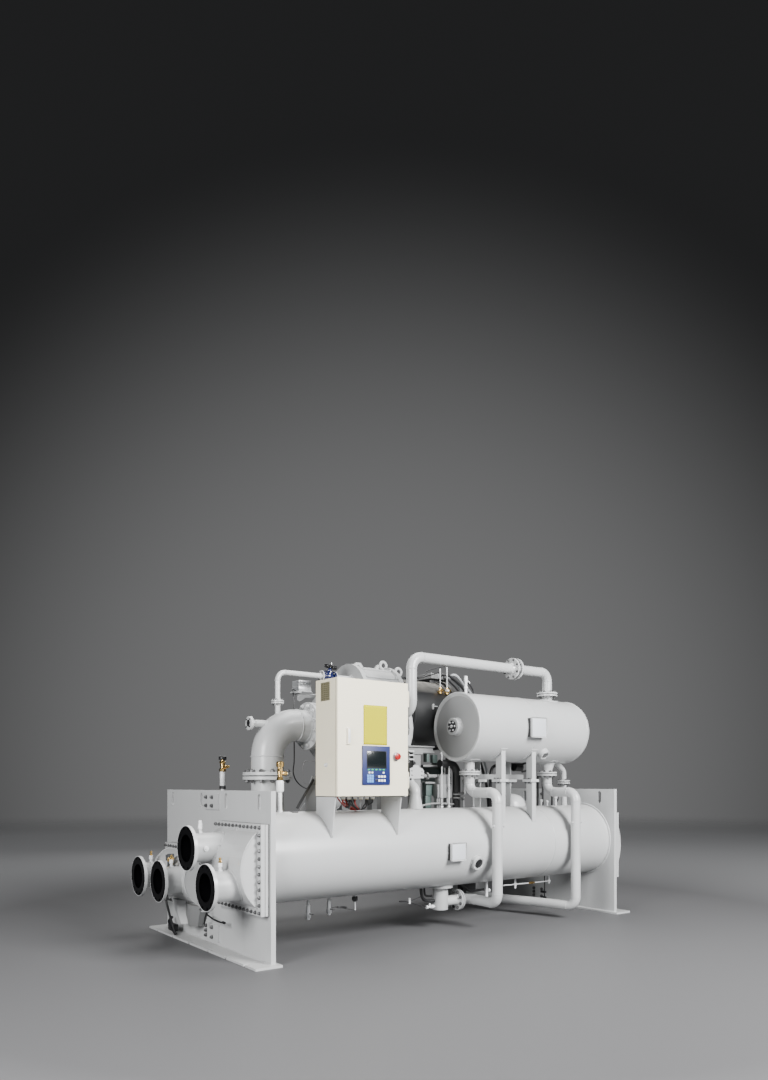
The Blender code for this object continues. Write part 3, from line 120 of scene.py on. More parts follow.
floor = bpy.data.objects.new("studio_floor", bpy.data.meshes.new("studio_floor"))
floor.data.from_pydata(
    [(x, y, -FLOOR_DROP) for x, y in ((-1, -1), (1, -1), (1, 1), (-1, 1))], [], [(0, 1, 2, 3)]
)
floor.scale = (FLOOR_HALF, FLOOR_HALF, 1)
bpy.context.scene.collection.objects.link(floor)
floor_paint = bpy.data.materials.new("pale_studio_floor")
floor_paint.use_nodes = True
floor_finish = floor_paint.node_tree.nodes["Principled BSDF"]
floor_finish.inputs["Roughness"].default_value = 0.55
floor_finish.inputs["Specular IOR Level"].default_value = 0.25
spot = wired(floor_paint, "ShaderNodeNewGeometry").outputs["Position"]
far_off = wired(floor_paint, "ShaderNodeVectorMath", ((0, spot),), operation="LENGTH").outputs["Value"]
# The floor's colour pales with the distance from the machine; its dark near tone is painted shade.
shade_lifting, fading = [
    wired(
        floor_paint, "ShaderNodeMapRange",
        (("Value", far_off), ("From Min", start), ("From Max", end)), interpolation_type=course,
    ).outputs[0]
    for (start, end), course in ((SHADE_LIFTS_OVER, "LINEAR"), (FADES_OVER, "SMOOTHSTEP"))
]
link = floor_paint.node_tree.links.new
link(blended(floor_paint, shade_lifting, FLOOR_PAINTED_SHADE, FLOOR_FAR), floor_finish.inputs["Base Color"])
clear = wired(floor_paint, "ShaderNodeBsdfTransparent").outputs[0]
faded = wired(floor_paint, "ShaderNodeMixShader", ((0, fading), (1, floor_finish.outputs[0]), (2, clear)))
link(faded.outputs[0], floor_paint.node_tree.nodes["Material Output"].inputs["Surface"])
floor.data.materials.append(floor_paint)

room = bpy.data.worlds.new("studio_room")
room.use_nodes = True
aim = wired(room, "ShaderNodeTexCoord").outputs["Generated"]
facing = wired(room, "ShaderNodeVectorMath", ((0, aim), (1, GLOW_SIDE)), operation="DOT_PRODUCT")
glow = wired(
    room, "ShaderNodeMapRange",
    (("Value", facing.outputs["Value"]), ("From Min", GLOW_FROM)), interpolation_type="SMOOTHSTEP",
)
backdrop = room.node_tree.nodes["Background"]
room.node_tree.links.new(blended(room, glow.outputs[0], WALL_DIM, WALL_LIT), backdrop.inputs["Color"])
backdrop.inputs["Strength"].default_value = WALL_LEVEL
bpy.context.scene.world = room
for name, place, side, watts in SOFT_BOXES:
    lamp = bpy.data.objects.new(name, bpy.data.lights.new(name, "AREA"))
    lamp.data.shape = "SQUARE"
    lamp.data.size = side
    lamp.data.energy = watts
    lamp.location = place
    lamp.rotation_euler = (Vector(place) - LAMP_AIM).to_track_quat("Z", "Y").to_euler()
    bpy.context.scene.collection.objects.link(lamp)

# The end plates: thick plates flame-cut with lifting slots, each welded to its foot along both sides
# and sprayed light grey. Straps bolted across the seam hold the near and the far plate together.
PLATE_T = 0.037
PLATE_TOP = 1.216
MACHINE_L = 3.81
SEAM_Y = 0.895
WIDTH = 1.912
FOOT_T = 0.016
STRAP_T = 0.014
GREY = (0.455, 0.462, 0.465)
CORNER = Vector((-1.795, -0.956, 0.0))
X, Y, Z = Vector((1, 0, 0)), Vector((0, 1, 0)), Vector((0, 0, 1))


def at(x, y, z):
    """A place measured from the machine's corner, in the frame."""
    return CORNER + Vector((x, y, z))


def finish_of(
    name, tone, rough, metal=0.0, cloud=0.05, cloud_size=30.0, grain=400.0, depth=0.0003,
    streak=0.0, coat=0.0, dust_and_sheen=0.0,
):
    """A coated or bare finish: clouded colour, uneven gloss, a fine grain, and a paler colour on upward faces,
    which is dust where it is weak and a painted highlight where it is strong.
    """
    made = bpy.data.materials.new(name)
    made.use_nodes = True
    shader = made.node_tree.nodes["Principled BSDF"]
    link = made.node_tree.links.new
    spot = wired(made, "ShaderNodeTexCoord").outputs["Object"]

    def noise(size, detail, *feeds, over=spot):
        """A cloud of a size, over the piece's own space."""
        feeds = (("Vector", over), ("Scale", size), ("Detail", detail), *feeds)
        return wired(made, "ShaderNodeTexNoise", feeds).outputs["Fac"]

    def ranged(value, *feeds):
        """A value stretched to other limits."""
        return wired(made, "ShaderNodeMapRange", (("Value", value), *feeds)).outputs[0]

    dark = [c * (1 - cloud) for c in tone]
    light = [min(1.0, c * (1 + cloud)) for c in tone]
    colour = blended(made, noise(cloud_size, 5.0, ("Roughness", 0.6)), (*dark, 1), (*light, 1))
    if streak:
        drawn = wired(made, "ShaderNodeMapping", (("Vector", spot), ("Scale", (9.0, 9.0, 0.7)))).outputs[0]
        runs = ranged(noise(2.0, 4.0, over=drawn), ("From Min", 0.52), ("From Max", 0.75), ("To Max", streak))
        colour = blended(made, runs, colour, (*[c * 0.62 for c in tone], 1))
    # Upward faces are mixed towards a pale dust colour. Weakly mixed it is dust; fully mixed, as on the motor, it
    # is a painted highlight along the top.
    if dust_and_sheen:
        facing = wired(made, "ShaderNodeNewGeometry").outputs["Normal"]
        upward = wired(made, "ShaderNodeSeparateXYZ", (("Vector", facing),)).outputs["Z"]
        lying = ranged(upward, ("From Min", 0.55), ("To Max", dust_and_sheen))
        patchy = wired(made, "ShaderNodeMath", ((0, lying), (1, noise(14.0, 6.0))), operation="MULTIPLY")
        colour = blended(made, patchy.outputs[0], colour, (0.52, 0.5, 0.46, 1))
    link(colour, shader.inputs["Base Color"])
    link(ranged(noise(7.0, 3.0), ("To Min", rough - 0.07), ("To Max", rough + 0.07)), shader.inputs["Roughness"])
    peel = noise(grain, 2.0)
    bump = wired(made, "ShaderNodeBump", (("Height", peel), ("Strength", 0.35), ("Distance", depth)))
    link(bump.outputs[0], shader.inputs["Normal"])
    shader.inputs["Metallic"].default_value = metal
    shader.inputs["Coat Weight"].default_value = coat
    shader.inputs["Coat Roughness"].default_value = 0.18
    return made


def coat_nodes(material, *names):
    """Gives CAD nodes their finish."""
    for name in names:
        for held in frame["nodes"][name].material_slots:
            held.link = "OBJECT"
            held.material = material


def across(axis):
    """Two directions at right angles to an axis."""
    axis = Vector(axis).normalized()
    side = axis.cross(Z if abs(axis.z) < 0.9 else X).normalized()
    return side, axis.cross(side)


def ray(side, up, turn):
    """The direction that lies part of a turn round from one side towards another."""
    return side * cos(turn) + up * sin(turn)


def turns_of(count, start=0.0):
    """Even turns round a circle."""
    return [2 * pi * (i + start) / count for i in range(count)]


def spoke(turn):
    """A direction square to the machine's length."""
    return Vector((0, cos(turn), sin(turn)))


def corners(shape, points):
    """New corners of a shape."""
    return [shape.verts.new(point) for point in points]


def circle(centre, side, up, radius, count):
    """Points round a circle."""
    return [centre + ray(side, up, t) * radius for t in turns_of(count)]


def skin(shape, rings, closed_rings=True, loop=False, capped=False):
    """Joins rings of corners into a surface. A ring of one corner is a tip."""
    pairs = list(zip(rings, rings[1:]))
    if loop:
        pairs.append((rings[-1], rings[0]))
    for low, high in pairs:
        count = max(len(low), len(high))
        for i in range(count if closed_rings else count - 1):
            j = (i + 1) % count
            patch = [low[i % len(low)], low[j % len(low)], high[j % len(high)], high[i % len(high)]]
            distinct = list(dict.fromkeys(patch))
            if len(distinct) > 2:
                shape.faces.new(distinct)
    if capped:
        shape.faces.new(rings[0])
        shape.faces.new(rings[-1])


def lathe(shape, profile, place, axis, sides=20, loop=False):
    """Turns a profile of (distance along, radius) round an axis."""
    axis = Vector(axis).normalized()
    side, up = across(axis)
    rings = []
    for along, radius in profile:
        centre = place + axis * along
        rings.append(corners(shape, circle(centre, side, up, radius, sides) if radius >= 1e-6 else [centre]))
    skin(shape, rings, loop=loop)


def prism(shape, place, axis, across_flats, height, sides=6, lean=0.0):
    """A hexagon, or another regular bar, with its top corners turned off."""
    radius = across_flats / 2 / cos(pi / sides)
    side, up = across(axis)
    axis = Vector(axis).normalized()
    rings = []
    for along, share in ((0, 1.0), (height * 0.82, 1.0), (height, 0.86)):
        centre = place + axis * along
        ring = [centre + ray(side, up, lean + turn) * radius * share for turn in turns_of(sides)]
        rings.append(corners(shape, ring))
    skin(shape, [[shape.verts.new(place)], *rings, [shape.verts.new(place + axis * height)]])


def bolt(shape, place, axis, size, turn=0.0):
    """A bolt's head or a nut with its stud's end, on a washer. The size is the thread's diameter."""
    axis = Vector(axis).normalized()
    washer = ((0, 0), (0, 1.05), (0.16, 1.05), (0.16, 0))
    stud = ((0.85, 0.5), (1.2, 0.5), (1.3, 0.4), (1.3, 0))
    lathe(shape, [(size * a, size * r) for a, r in washer], place, axis, 14)
    prism(shape, place + axis * size * 0.16, axis, size * 1.6, size * 0.75, lean=turn)
    lathe(shape, [(size * a, size * r) for a, r in stud], place, axis, 10)


def bead(shape, path, radius, steps=8, loop=False):
    """A weld bead: a rippled cord laid along a path."""
    rings = []
    path = [Vector(p) for p in path]
    for i, spot in enumerate(path):
        after = path[(i + 1) % len(path)] if loop or i + 1 < len(path) else spot
        before = path[i - 1] if loop or i else spot
        side, up = across(after - before)
        reach = radius * (1 + 0.16 * sin(i * 2.1) + 0.06 * sin(i * 0.7))
        rings.append(corners(shape, circle(spot, side, up, reach, steps)))
    skin(shape, rings, loop=loop, capped=not loop)


def line_weld(shape, start, end, radius, steps=8, pitch=0.008):
    """A bead along a straight joint."""
    start, end = Vector(start), Vector(end)
    count = max(2, int((end - start).length / pitch))
    bead(shape, [start.lerp(end, i / count) for i in range(count + 1)], radius, steps)


def ring_weld(shape, centre, axis, around, radius, steps=8, pitch=0.009):
    """A bead round a pipe, a neck or a shell."""
    count = int(2 * pi * around / pitch)
    bead(shape, circle(centre, *across(axis), around, count), radius, steps, loop=True)


def piece(name, shape, material, body="chiller", crease=32):
    """Makes a named piece from a shape, gives it its finish and hangs it on its body."""
    bmesh.ops.recalc_face_normals(shape, faces=shape.faces)
    mesh = bpy.data.meshes.new(name)
    shape.to_mesh(mesh)
    shape.free()
    mesh.materials.append(material)
    mesh.shade_smooth()
    mesh.set_sharp_from_angle(angle=radians(crease))
    made = bpy.data.objects.new(name, mesh)
    bpy.context.scene.collection.objects.link(made)
    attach(made, body)
    return made


def slab(shape, low, high, ease=0.0):
    """A plate or block between two corners, measured as at() does, with its edges eased."""
    low, high = at(*low), at(*high)
    made = bmesh.ops.create_cube(shape, size=1)["verts"]
    bmesh.ops.scale(shape, vec=high - low, verts=made)
    bmesh.ops.translate(shape, vec=(low + high) / 2, verts=made)
    if ease:
        edges = list(dict.fromkeys(edge for corner in made for edge in corner.link_edges))
        bmesh.ops.bevel(shape, geom=edges, offset=ease, segments=2, profile=0.6, affect="EDGES")


plate_grey = finish_of(
    "sprayed_end_plate", GREY, 0.42, cloud=0.035, cloud_size=1.6, grain=130.0, depth=0.0005, streak=0.1, coat=0.12,
    dust_and_sheen=0.3,
)
weld_grey = finish_of("painted_weld", GREY, 0.4, cloud_size=2.2, grain=300.0, depth=0.0006, coat=0.15)
bolt_grey = finish_of("painted_bolt", [c * 0.97 for c in GREY], 0.36, cloud=0.08, coat=0.2)
PLATES = (
    "front_evaporator_end_plate", "front_condenser_end_plate", "back_evaporator_end_plate",
    "back_condenser_end_plate",
)
coat_nodes(plate_grey, *PLATES)

seams = bmesh.new()
for face, out in ((0.0, -1), (MACHINE_L, 1)):
    for x in (face, face - out * PLATE_T):
        line_weld(seams, at(x, 0.005, FOOT_T), at(x, WIDTH - 0.005, FOOT_T), 0.0065)
    for low_z in (FOOT_T + 0.025, PLATE_TOP - 0.15):
        for z in (low_z, low_z + 0.125):
            line_weld(
                seams, at(face + out * 0.002, SEAM_Y - 0.065, z), at(face + out * 0.002, SEAM_Y - 0.002, z), 0.005,
            )
piece("end_plate_welds", seams, weld_grey)

splice = bmesh.new()
for face, out in ((0.0, -1), (MACHINE_L, 1)):
    for y, heights in (
        (1.045, (1.095, 1.162)), (0.935, (1.095, 1.162)), (1.045, (0.066, 0.104, 0.142)), (0.935, (0.066, 0.142)),
    ):
        for z in heights:
            bolt(splice, at(face + out * STRAP_T, y, z), X * out, 0.016, y + z)
            bolt(splice, at(face - out * PLATE_T, y, z), -X * out, 0.016, y - z)
# Studs, nuts and bolt heads are near black: partly a dark steel finish, partly painted shade round and between the
# fasteners.
dark_stud_and_shade = finish_of(
    "blackened_fastener_and_painted_shade", (0.1, 0.1, 0.102), 0.36, metal=0.4, cloud=0.15, cloud_size=40.0, depth=0.0002,
)
piece("splice_bolts", splice, dark_stud_and_shade)

# The two vessels: rolled and welded shells let into the end plates, with a girth seam where two
# strakes meet, one long seam each, and a weld round each plate. They are sprayed light grey.
EVAP = (0.4, 0.715, 0.34)
COND = (1.404, 0.56, 0.32)
GIRTH_X = 2.99

shell_grey = finish_of(
    "sprayed_vessel", GREY, 0.36, cloud=0.03, cloud_size=1.1, grain=170.0, streak=0.05, coat=0.2, dust_and_sheen=0.35,
)
for name, (y, z, radius) in (("evaporator", EVAP), ("condenser", COND)):
    rolled = bmesh.new()
    half = [(0.0, radius + 0.012), (0.022, radius), (0.032, radius)]
    length = MACHINE_L - 2 * PLATE_T - 0.0006
    lathe(rolled, [
        (0, 0), *half, *[(length - a, r) for a, r in reversed(half)], (length, 0),
    ], at(PLATE_T + 0.0003, y, z), X, 120)
    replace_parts(piece(name + "_rolled_shell", rolled, shell_grey), name + "_shell")
seams = bmesh.new()
for y, z, radius in (EVAP, COND):
    ring_weld(seams, at(GIRTH_X, y, z), X, radius, 0.0035, 6)
    for x in (PLATE_T + 0.004, MACHINE_L - PLATE_T - 0.004):
        ring_weld(seams, at(x, y, z), X, radius + 0.014, 0.008, 8)
    low = Vector((0, sin(0.5), -cos(0.5))) * radius
    line_weld(seams, at(0.06, y, z) + low, at(MACHINE_L - 0.06, y, z) + low, 0.0035, 6, 0.012)
piece("vessel_seams", seams, weld_grey)

# What is fixed to the near vessel: a bolted sight glass low on its side, a bare rating plate held off
# the shell by a bracket, the sump's bolted flange, and three drain valves underneath.
SIGHT = (2.01, 0.6, 0.062)
PLATE_LOW, PLATE_HIGH = (1.674, 0.63), (1.84, 0.78)
SUMP_X = 1.88
LINE_R = 0.04455
FLANGE_R, LINE_BOLTS_R = 0.0925, 0.071
DRAINS = ((0.54, 0.218), (0.73, 0.237))
NUT_DRAIN_X = 0.975

plate_steel = finish_of(
    "rating_plate", (0.72, 0.75, 0.8), 0.32, metal=0.25, cloud=0.06, cloud_size=20.0, grain=700.0, depth=0.0001,
)
black_enamel = finish_of(
    "black_enamel", (0.012, 0.012, 0.013), 0.38, cloud=0.25, cloud_size=2.2, grain=260.0, depth=0.0004, dust_and_sheen=0.05,
)
glass_dark = finish_of(
    "sight_glass", (0.004, 0.004, 0.005), 0.06, cloud=0.1, cloud_size=2.2, grain=20.0, depth=0.0001, coat=1.0,
)
steel_bare = finish_of(
    "zinc_plated_steel", (0.56, 0.57, 0.58), 0.32, metal=0.9, cloud=0.12, cloud_size=40.0, grain=300.0,
    depth=0.0002,
)


def weld_neck(shape, face, out, thick, outer, pipe_r, raised=0.0035):
    """A flange with a raised face at its joint and a short hub behind it."""
    profile = [
        (0, 0), (0, outer * 0.74), (-raised, outer * 0.75), (-raised, outer - 0.0015), (-raised - 0.0015, outer),
        (-thick + 0.0015, outer), (-thick, outer - 0.0015), (-thick, pipe_r + 0.01),
        (-thick - 0.018, pipe_r + 0.001), (-thick - 0.018, 0),
    ]
    lathe(shape, [(-a, r) for a, r in profile], face, -Vector(out), 48)


def sight_glass(name, centre, axis, radius, screws):
    """A thick glass under a bolted ring."""
    axis = Vector(axis).normalized()
    ring = bmesh.new()
    lathe(ring, [
        (0, radius * 0.64), (0, radius), (0.01, radius), (0.013, radius * 0.96), (0.013, radius * 0.68),
        (0.008, radius * 0.64),
    ], centre, axis, 40, loop=True)
    side, up = across(axis)
    for turn in turns_of(screws):
        bolt(ring, centre + axis * 0.012 + ray(side, up, turn) * radius * 0.83, axis, 0.007, turn)
    piece(name + "_ring", ring, bolt_grey)
    lens = bmesh.new()
    lathe(lens, [(0, 0), (0, radius * 0.67), (0.01, radius * 0.67), (0.011, 0)], centre, axis, 32)
    piece(name + "_lens", lens, glass_dark)


def rating_plate(name, low, high, y, shell_y):
    """A bare plate on a black standoff that holds it away from a vessel."""
    holder, standoff = bmesh.new(), bmesh.new()
    slab(holder, (low[0], y, low[1]), (high[0], y + 0.004, high[1]), 0.012)
    piece(name + "_holder", holder, bolt_grey)
    # The standoffs are black: partly their own paint, partly painted shade for the gap behind the plate.
    for x in (low[0] + 0.004, high[0] - 0.016):
        slab(standoff, (x, y + 0.0042, low[1] + 0.006), (x + 0.012, shell_y, high[1] - 0.006), 0.001)
    piece(name + "_standoff", standoff, black_enamel)
    face = bmesh.new()
    slab(face, (low[0] + 0.012, y - 0.0014, low[1] + 0.012), (high[0] - 0.012, y + 0.0005, high[1] - 0.012), 0.0006)
    for x in (low[0] + 0.018, high[0] - 0.018):
        for z in (low[1] + 0.018, high[1] - 0.018):
            lathe(face, [(0, 0.0032), (0.0015, 0.0028), (0.0024, 0)], at(x, y - 0.001, z), -Y, 12)
    piece(name, face, plate_steel)


evap_axis = at(SIGHT[0], EVAP[0], EVAP[1])
tilt = Vector((0, -sqrt(EVAP[2] ** 2 - (SIGHT[1] - EVAP[1]) ** 2), SIGHT[1] - EVAP[1])).normalized()
sight_glass("vessel_sight_glass", evap_axis + tilt * (EVAP[2] + 0.0215), tilt, SIGHT[2], 8)
rating_plate("vessel_rating_plate", PLATE_LOW, PLATE_HIGH, 0.02, 0.078)
seams = bmesh.new()
ring_weld(seams, evap_axis + tilt * (EVAP[2] + 0.002), tilt, SIGHT[2] + 0.004, 0.005, 6)


def flange_bolts(shape, centre, axis, reach, count, size, thick, start=0.5):
    """Studs through a pair of flanges that meet at centre, with a nut on each side."""
    side, up = across(axis)
    axis = Vector(axis).normalized()
    for turn in turns_of(count, start):
        arm = ray(side, up, turn) * reach
        for way in (1, -1):
            bolt(shape, centre + arm + axis * thick * way, axis * way, size, turn)


joint_studs = bmesh.new()
for name, (y, z, radius), x, low, sump_r, line_z, way, reach in (
    ("evaporator", EVAP, SUMP_X, 0.17, 0.068, 0.24, X, 0.198),
    ("condenser", COND, 2.96, 0.067, 0.08, 0.127, -Y, 0.19),
):
    sump = bmesh.new()
    lathe(sump, [
        (0, 0), (0, sump_r - 0.006), (0.002, sump_r - 0.002), (0.006, sump_r), (z - radius + 0.03 - low, sump_r),
    ], at(x, y, low), Z, 48)
    foot = at(x, y, line_z)
    lathe(sump, [(0, LINE_R), (reach - 0.012, LINE_R)], foot, way, 40)
    weld_neck(sump, foot + way * reach, way, 0.018, FLANGE_R, LINE_R)
    if name == "evaporator":
        lathe(sump, [(0, 0.06), (0, 0.108), (0.002, 0.11), (0.04, 0.11)], at(x, y, z - radius - 0.012), Z, 48)
        lathe(sump, [
            (-0.02, SIGHT[2]), (0.0205, SIGHT[2]), (0.022, SIGHT[2] - 0.0015), (0.022, 0),
        ], evap_axis + tilt * radius, tilt, 40)
        for drain_x in (DRAINS[0][0], DRAINS[1][0], NUT_DRAIN_X):
            lathe(sump, [(0, 0.012), (0.06, 0.012)], at(drain_x, y, z - radius - 0.04), Z)
    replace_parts(piece(name + "_sump", sump, shell_grey), name + "_shell")
    flange_bolts(joint_studs, foot + way * reach, way, LINE_BOLTS_R, 8, 0.014, 0.018)
ring_weld(seams, at(SUMP_X, EVAP[0], EVAP[1] - EVAP[2] - 0.004), Z, 0.071, 0.006, 6)
piece("vessel_fitting_welds", seams, weld_grey)

drains = bmesh.new()
levers = bmesh.new()
for x, low in DRAINS:
    lathe(drains, [
        (0, 0.0), (0, 0.02), (0.006, 0.022), (0.02, 0.022), (0.026, 0.016), (0.04, 0.0165), (0.044, 0.0),
    ], at(x, EVAP[0], low + 0.03), Z, 24)
    prism(drains, at(x, EVAP[0], low + 0.012), Z, 0.036, 0.02)
    lathe(drains, [(0, 0.0), (0, 0.0165), (0.05, 0.0165), (0.05, 0.0)], at(x, EVAP[0], low + 0.062), Z)
    lathe(drains, [(0, 0.0125), (0.01, 0.0125), (0.012, 0.0)], at(x, EVAP[0], low), Z)
    slab(levers, (x - 0.006, EVAP[0] - 0.075, low + 0.046), (x + 0.006, EVAP[0] - 0.018, low + 0.05), 0.0012)
    lathe(levers, [(0, 0.006), (0.008, 0.006), (0.01, 0.0)], at(x, EVAP[0] - 0.02, low + 0.048), -Y, 12)
prism(levers, at(NUT_DRAIN_X, EVAP[0], 0.328), Z, 0.04, 0.032)
lathe(levers, [(0, 0.0), (0, 0.013), (0.006, 0.015), (0.01, 0.015)], at(NUT_DRAIN_X, EVAP[0], 0.32), Z)
piece("drain_valve_bodies", drains, steel_bare)
piece("drain_valve_levers", levers, black_enamel)

# The water boxes: fabricated covers with a curved body welded on a thick flange. Closely set bolts pull each one on
# a dark gasket against its tube sheet, and a dark strip at the foot of the flange, against the plate, is painted
# shadow for the gap there. A plate with an eye lifts each off.
FLANGE_T = 0.03
GASKET_T = 0.004
LIP = 0.048
BOXES = (
    ("evaporator_water_box", 0.0, -1, 0.4, 0.667, 0.751, 0.635, 0.135, 12, 11),
    ("condenser_water_box", 0.0, -1, 1.404, 0.507, 0.79, 0.506, 0.135, 13, 9),
    ("evaporator_return_cover", MACHINE_L, 1, 0.4, 0.667, 0.751, 0.635, 0.096, 12, 11),
    ("condenser_return_cover", MACHINE_L, 1, 1.404, 0.507, 0.79, 0.506, 0.096, 13, 9),
)
box_grey = finish_of(
    "sprayed_water_box", GREY, 0.34, cloud=0.03, cloud_size=1.8, grain=160.0, depth=0.0004, streak=0.06, coat=0.2,
    dust_and_sheen=0.3,
)
# This dark finish also paints the shadow strip at the foot of each cover's flange.
gasket_and_shadow_dark = finish_of(
    "fibre_gasket_and_painted_shadow", (0.045, 0.043, 0.04), 0.85, cloud=0.3, cloud_size=40.0, grain=500.0, depth=0.0005,
)


def dome(box):
    """Centre, radius and half angle of a water box's curved body, with its end faces' places."""
    _, face, out, y, z, width, height, bulge, _, _ = box
    half = height / 2 - LIP
    radius = (half * half + bulge * bulge) / (2 * bulge)
    centre = face + out * (2 * FLANGE_T + GASKET_T + bulge - radius)
    span = width / 2 - LIP
    return centre, radius, asin(half / radius), (y - span, y + span)


box_bolts = bmesh.new()
seams = bmesh.new()
gasket_and_shadow_slabs = bmesh.new()
for box in BOXES:
    name, face, out, y, z, width, height, bulge, along, upward = box
    coat_nodes(box_grey, name)
    outer = face + out * (2 * FLANGE_T + GASKET_T)
    half_w, half_h = width / 2 - 0.022, height / 2 - 0.022
    spots = [(y - half_w + 2 * half_w * i / along, z + side * half_h) for i in range(along + 1) for side in (1, -1)]
    spots += [
        (y + side * half_w, z - half_h + 2 * half_h * i / upward) for i in range(1, upward) for side in (1, -1)
    ]
    for number, (by, bz) in enumerate(spots):
        bolt(box_bolts, at(outer, by, bz), X * out, 0.0135, number * 1.3)
    # Two dark slabs round each cover: the gasket between its flanges, and a thin strip at the plate's face that is
    # painted shadow in the gap between flange and plate.
    for near, far, spread in ((FLANGE_T + 0.0006, FLANGE_T + GASKET_T - 0.0006, -0.002), (0.0004, 0.0074, 0.0012)):
        x0, x1 = sorted((face + out * near, face + out * far))
        dy, dz = width / 2 + spread, height / 2 + spread
        slab(gasket_and_shadow_slabs, (x0, y - dy, z - dz), (x1, y + dy, z + dz))
    centre, radius, angle, ends = dome(box)
    arc = [-angle + 2 * angle * i / 60 for i in range(61)]
    for end in ends:
        bead(seams, [
            at(centre + out * (radius - 0.0045) * cos(t), end, z + radius * sin(t)) for t in arc
        ], 0.0045, 6)
        line_weld(
            seams, at(outer + out * 0.001, end, z - radius * sin(angle)),
            at(outer + out * 0.001, end, z + radius * sin(angle)), 0.005, 6,
        )
    for side in (1, -1):
        rim_z = z + side * radius * sin(angle)
        line_weld(seams, at(outer + out * 0.001, ends[0], rim_z), at(outer + out * 0.001, ends[1], rim_z), 0.005, 6)
piece("water_box_bolts", box_bolts, dark_stud_and_shade)
piece("water_box_gaskets_and_shadow_strips", gasket_and_shadow_slabs, gasket_and_shadow_dark)

# The lug in the middle of each cover's top edge: a small plate on its corner, with a hole through
# it. All four are sprayed with the covers.
LUG_HALF, LUG_HOLE_R, LUG_T = 0.034, 0.012, 0.012
lugs = bmesh.new()
side = [(0, LUG_HALF), (LUG_HALF, 0), (0, -LUG_HALF), (-LUG_HALF, 0)]
hole = [(LUG_HOLE_R * sin(turn), LUG_HOLE_R * cos(turn)) for turn in turns_of(16)]
diamond = [
    (a[0] + (b[0] - a[0]) * part / 4, a[1] + (b[1] - a[1]) * part / 4)
    for a, b in zip(side, side[1:] + side[:1]) for part in range(4)
]
for _, face, out, y, z, _, height, *_ in BOXES:
    x = face + out * (2 * FLANGE_T + GASKET_T)
    top = z + height / 2 - 0.052
    rings = []
    for points, lift in ((hole, 0.0), (diamond, 0.0), (diamond, LUG_T), (hole, LUG_T)):
        rings.append(corners(lugs, [at(x + out * lift, y + dy, top + dz) for dy, dz in points]))
    skin(lugs, rings, loop=True)
piece("water_box_lugs", lugs, box_grey)

# The water nozzles: lengths of DN200 pipe welded through the covers, each with a flange drilled for twelve bolts.
# The flanges' faces are painted black; the bores are lined in black and closed by a black disc some way in, painted
# shade for the dark inside of the pipe. An air vent stands on top.
NOZZLE_R = 0.1082
NOZZLE_WALL = 0.008
NOZZLE_FLANGE_R = 0.165
NOZZLE_FLANGE_T = 0.024
BOLT_CIRCLE = 0.1465
HOLE_R = 0.0115
NOZZLES = (
    ("evaporator_nozzle_upper", 0.575, 0.802, 0.38, 0),
    ("evaporator_nozzle_lower", 0.242, 0.553, 0.38, 0),
    ("condenser_nozzle_far", 1.634, 0.502, 0.36, 1),
    ("condenser_nozzle_near", 1.185, 0.502, 0.36, 1),
)


def drilled(shape, centre, axis, thick, outer, inner, middle, holes, hole_r):
    """A ring with its bolt holes right through it, middle being the radius they lie on."""
    side, up = across(axis)
    axis = Vector(axis).normalized()
    square = [
        (1, -0.5), (1, 0), (1, 0.5), (1, 1), (0.5, 1), (0, 1), (-0.5, 1), (-1, 1),
        (-1, 0.5), (-1, 0), (-1, -0.5), (-1, -1), (-0.5, -1), (0, -1), (0.5, -1), (1, -1),
    ]
    half = pi / holes
    for mid in turns_of(holes, 0.5):
        rims, borders = [], []
        for level in (0, thick):
            foot = centre + axis * level
            rim, border = [], []
            for s, t in square:
                reach = middle + (s * (outer - middle) if s > 0 else s * (middle - inner))
                border.append(foot + ray(side, up, mid + t * half) * reach)
                lean = atan2(t * half * middle, reach - middle)
                shift = hole_r * sin(lean) / middle
                rim.append(foot + ray(side, up, mid + shift) * (middle + hole_r * cos(lean)))
            rims.append(corners(shape, rim))
            borders.append(corners(shape, border))
        skin(shape, [rims[0], borders[0]])
        skin(shape, [borders[1], rims[1]])
        skin(shape, rims)
        for i, (here, on) in enumerate(zip(square, square[1:] + square[:1])):
            if here[0] == on[0] and abs(here[0]) == 1:
                j = (i + 1) % len(square)
                shape.faces.new([borders[0][i], borders[0][j], borders[1][j], borders[1][i]])


def joined(shape):
    """Closes the seams between patches that meet."""
    bmesh.ops.remove_doubles(shape, verts=shape.verts, dist=0.00001)
    return shape


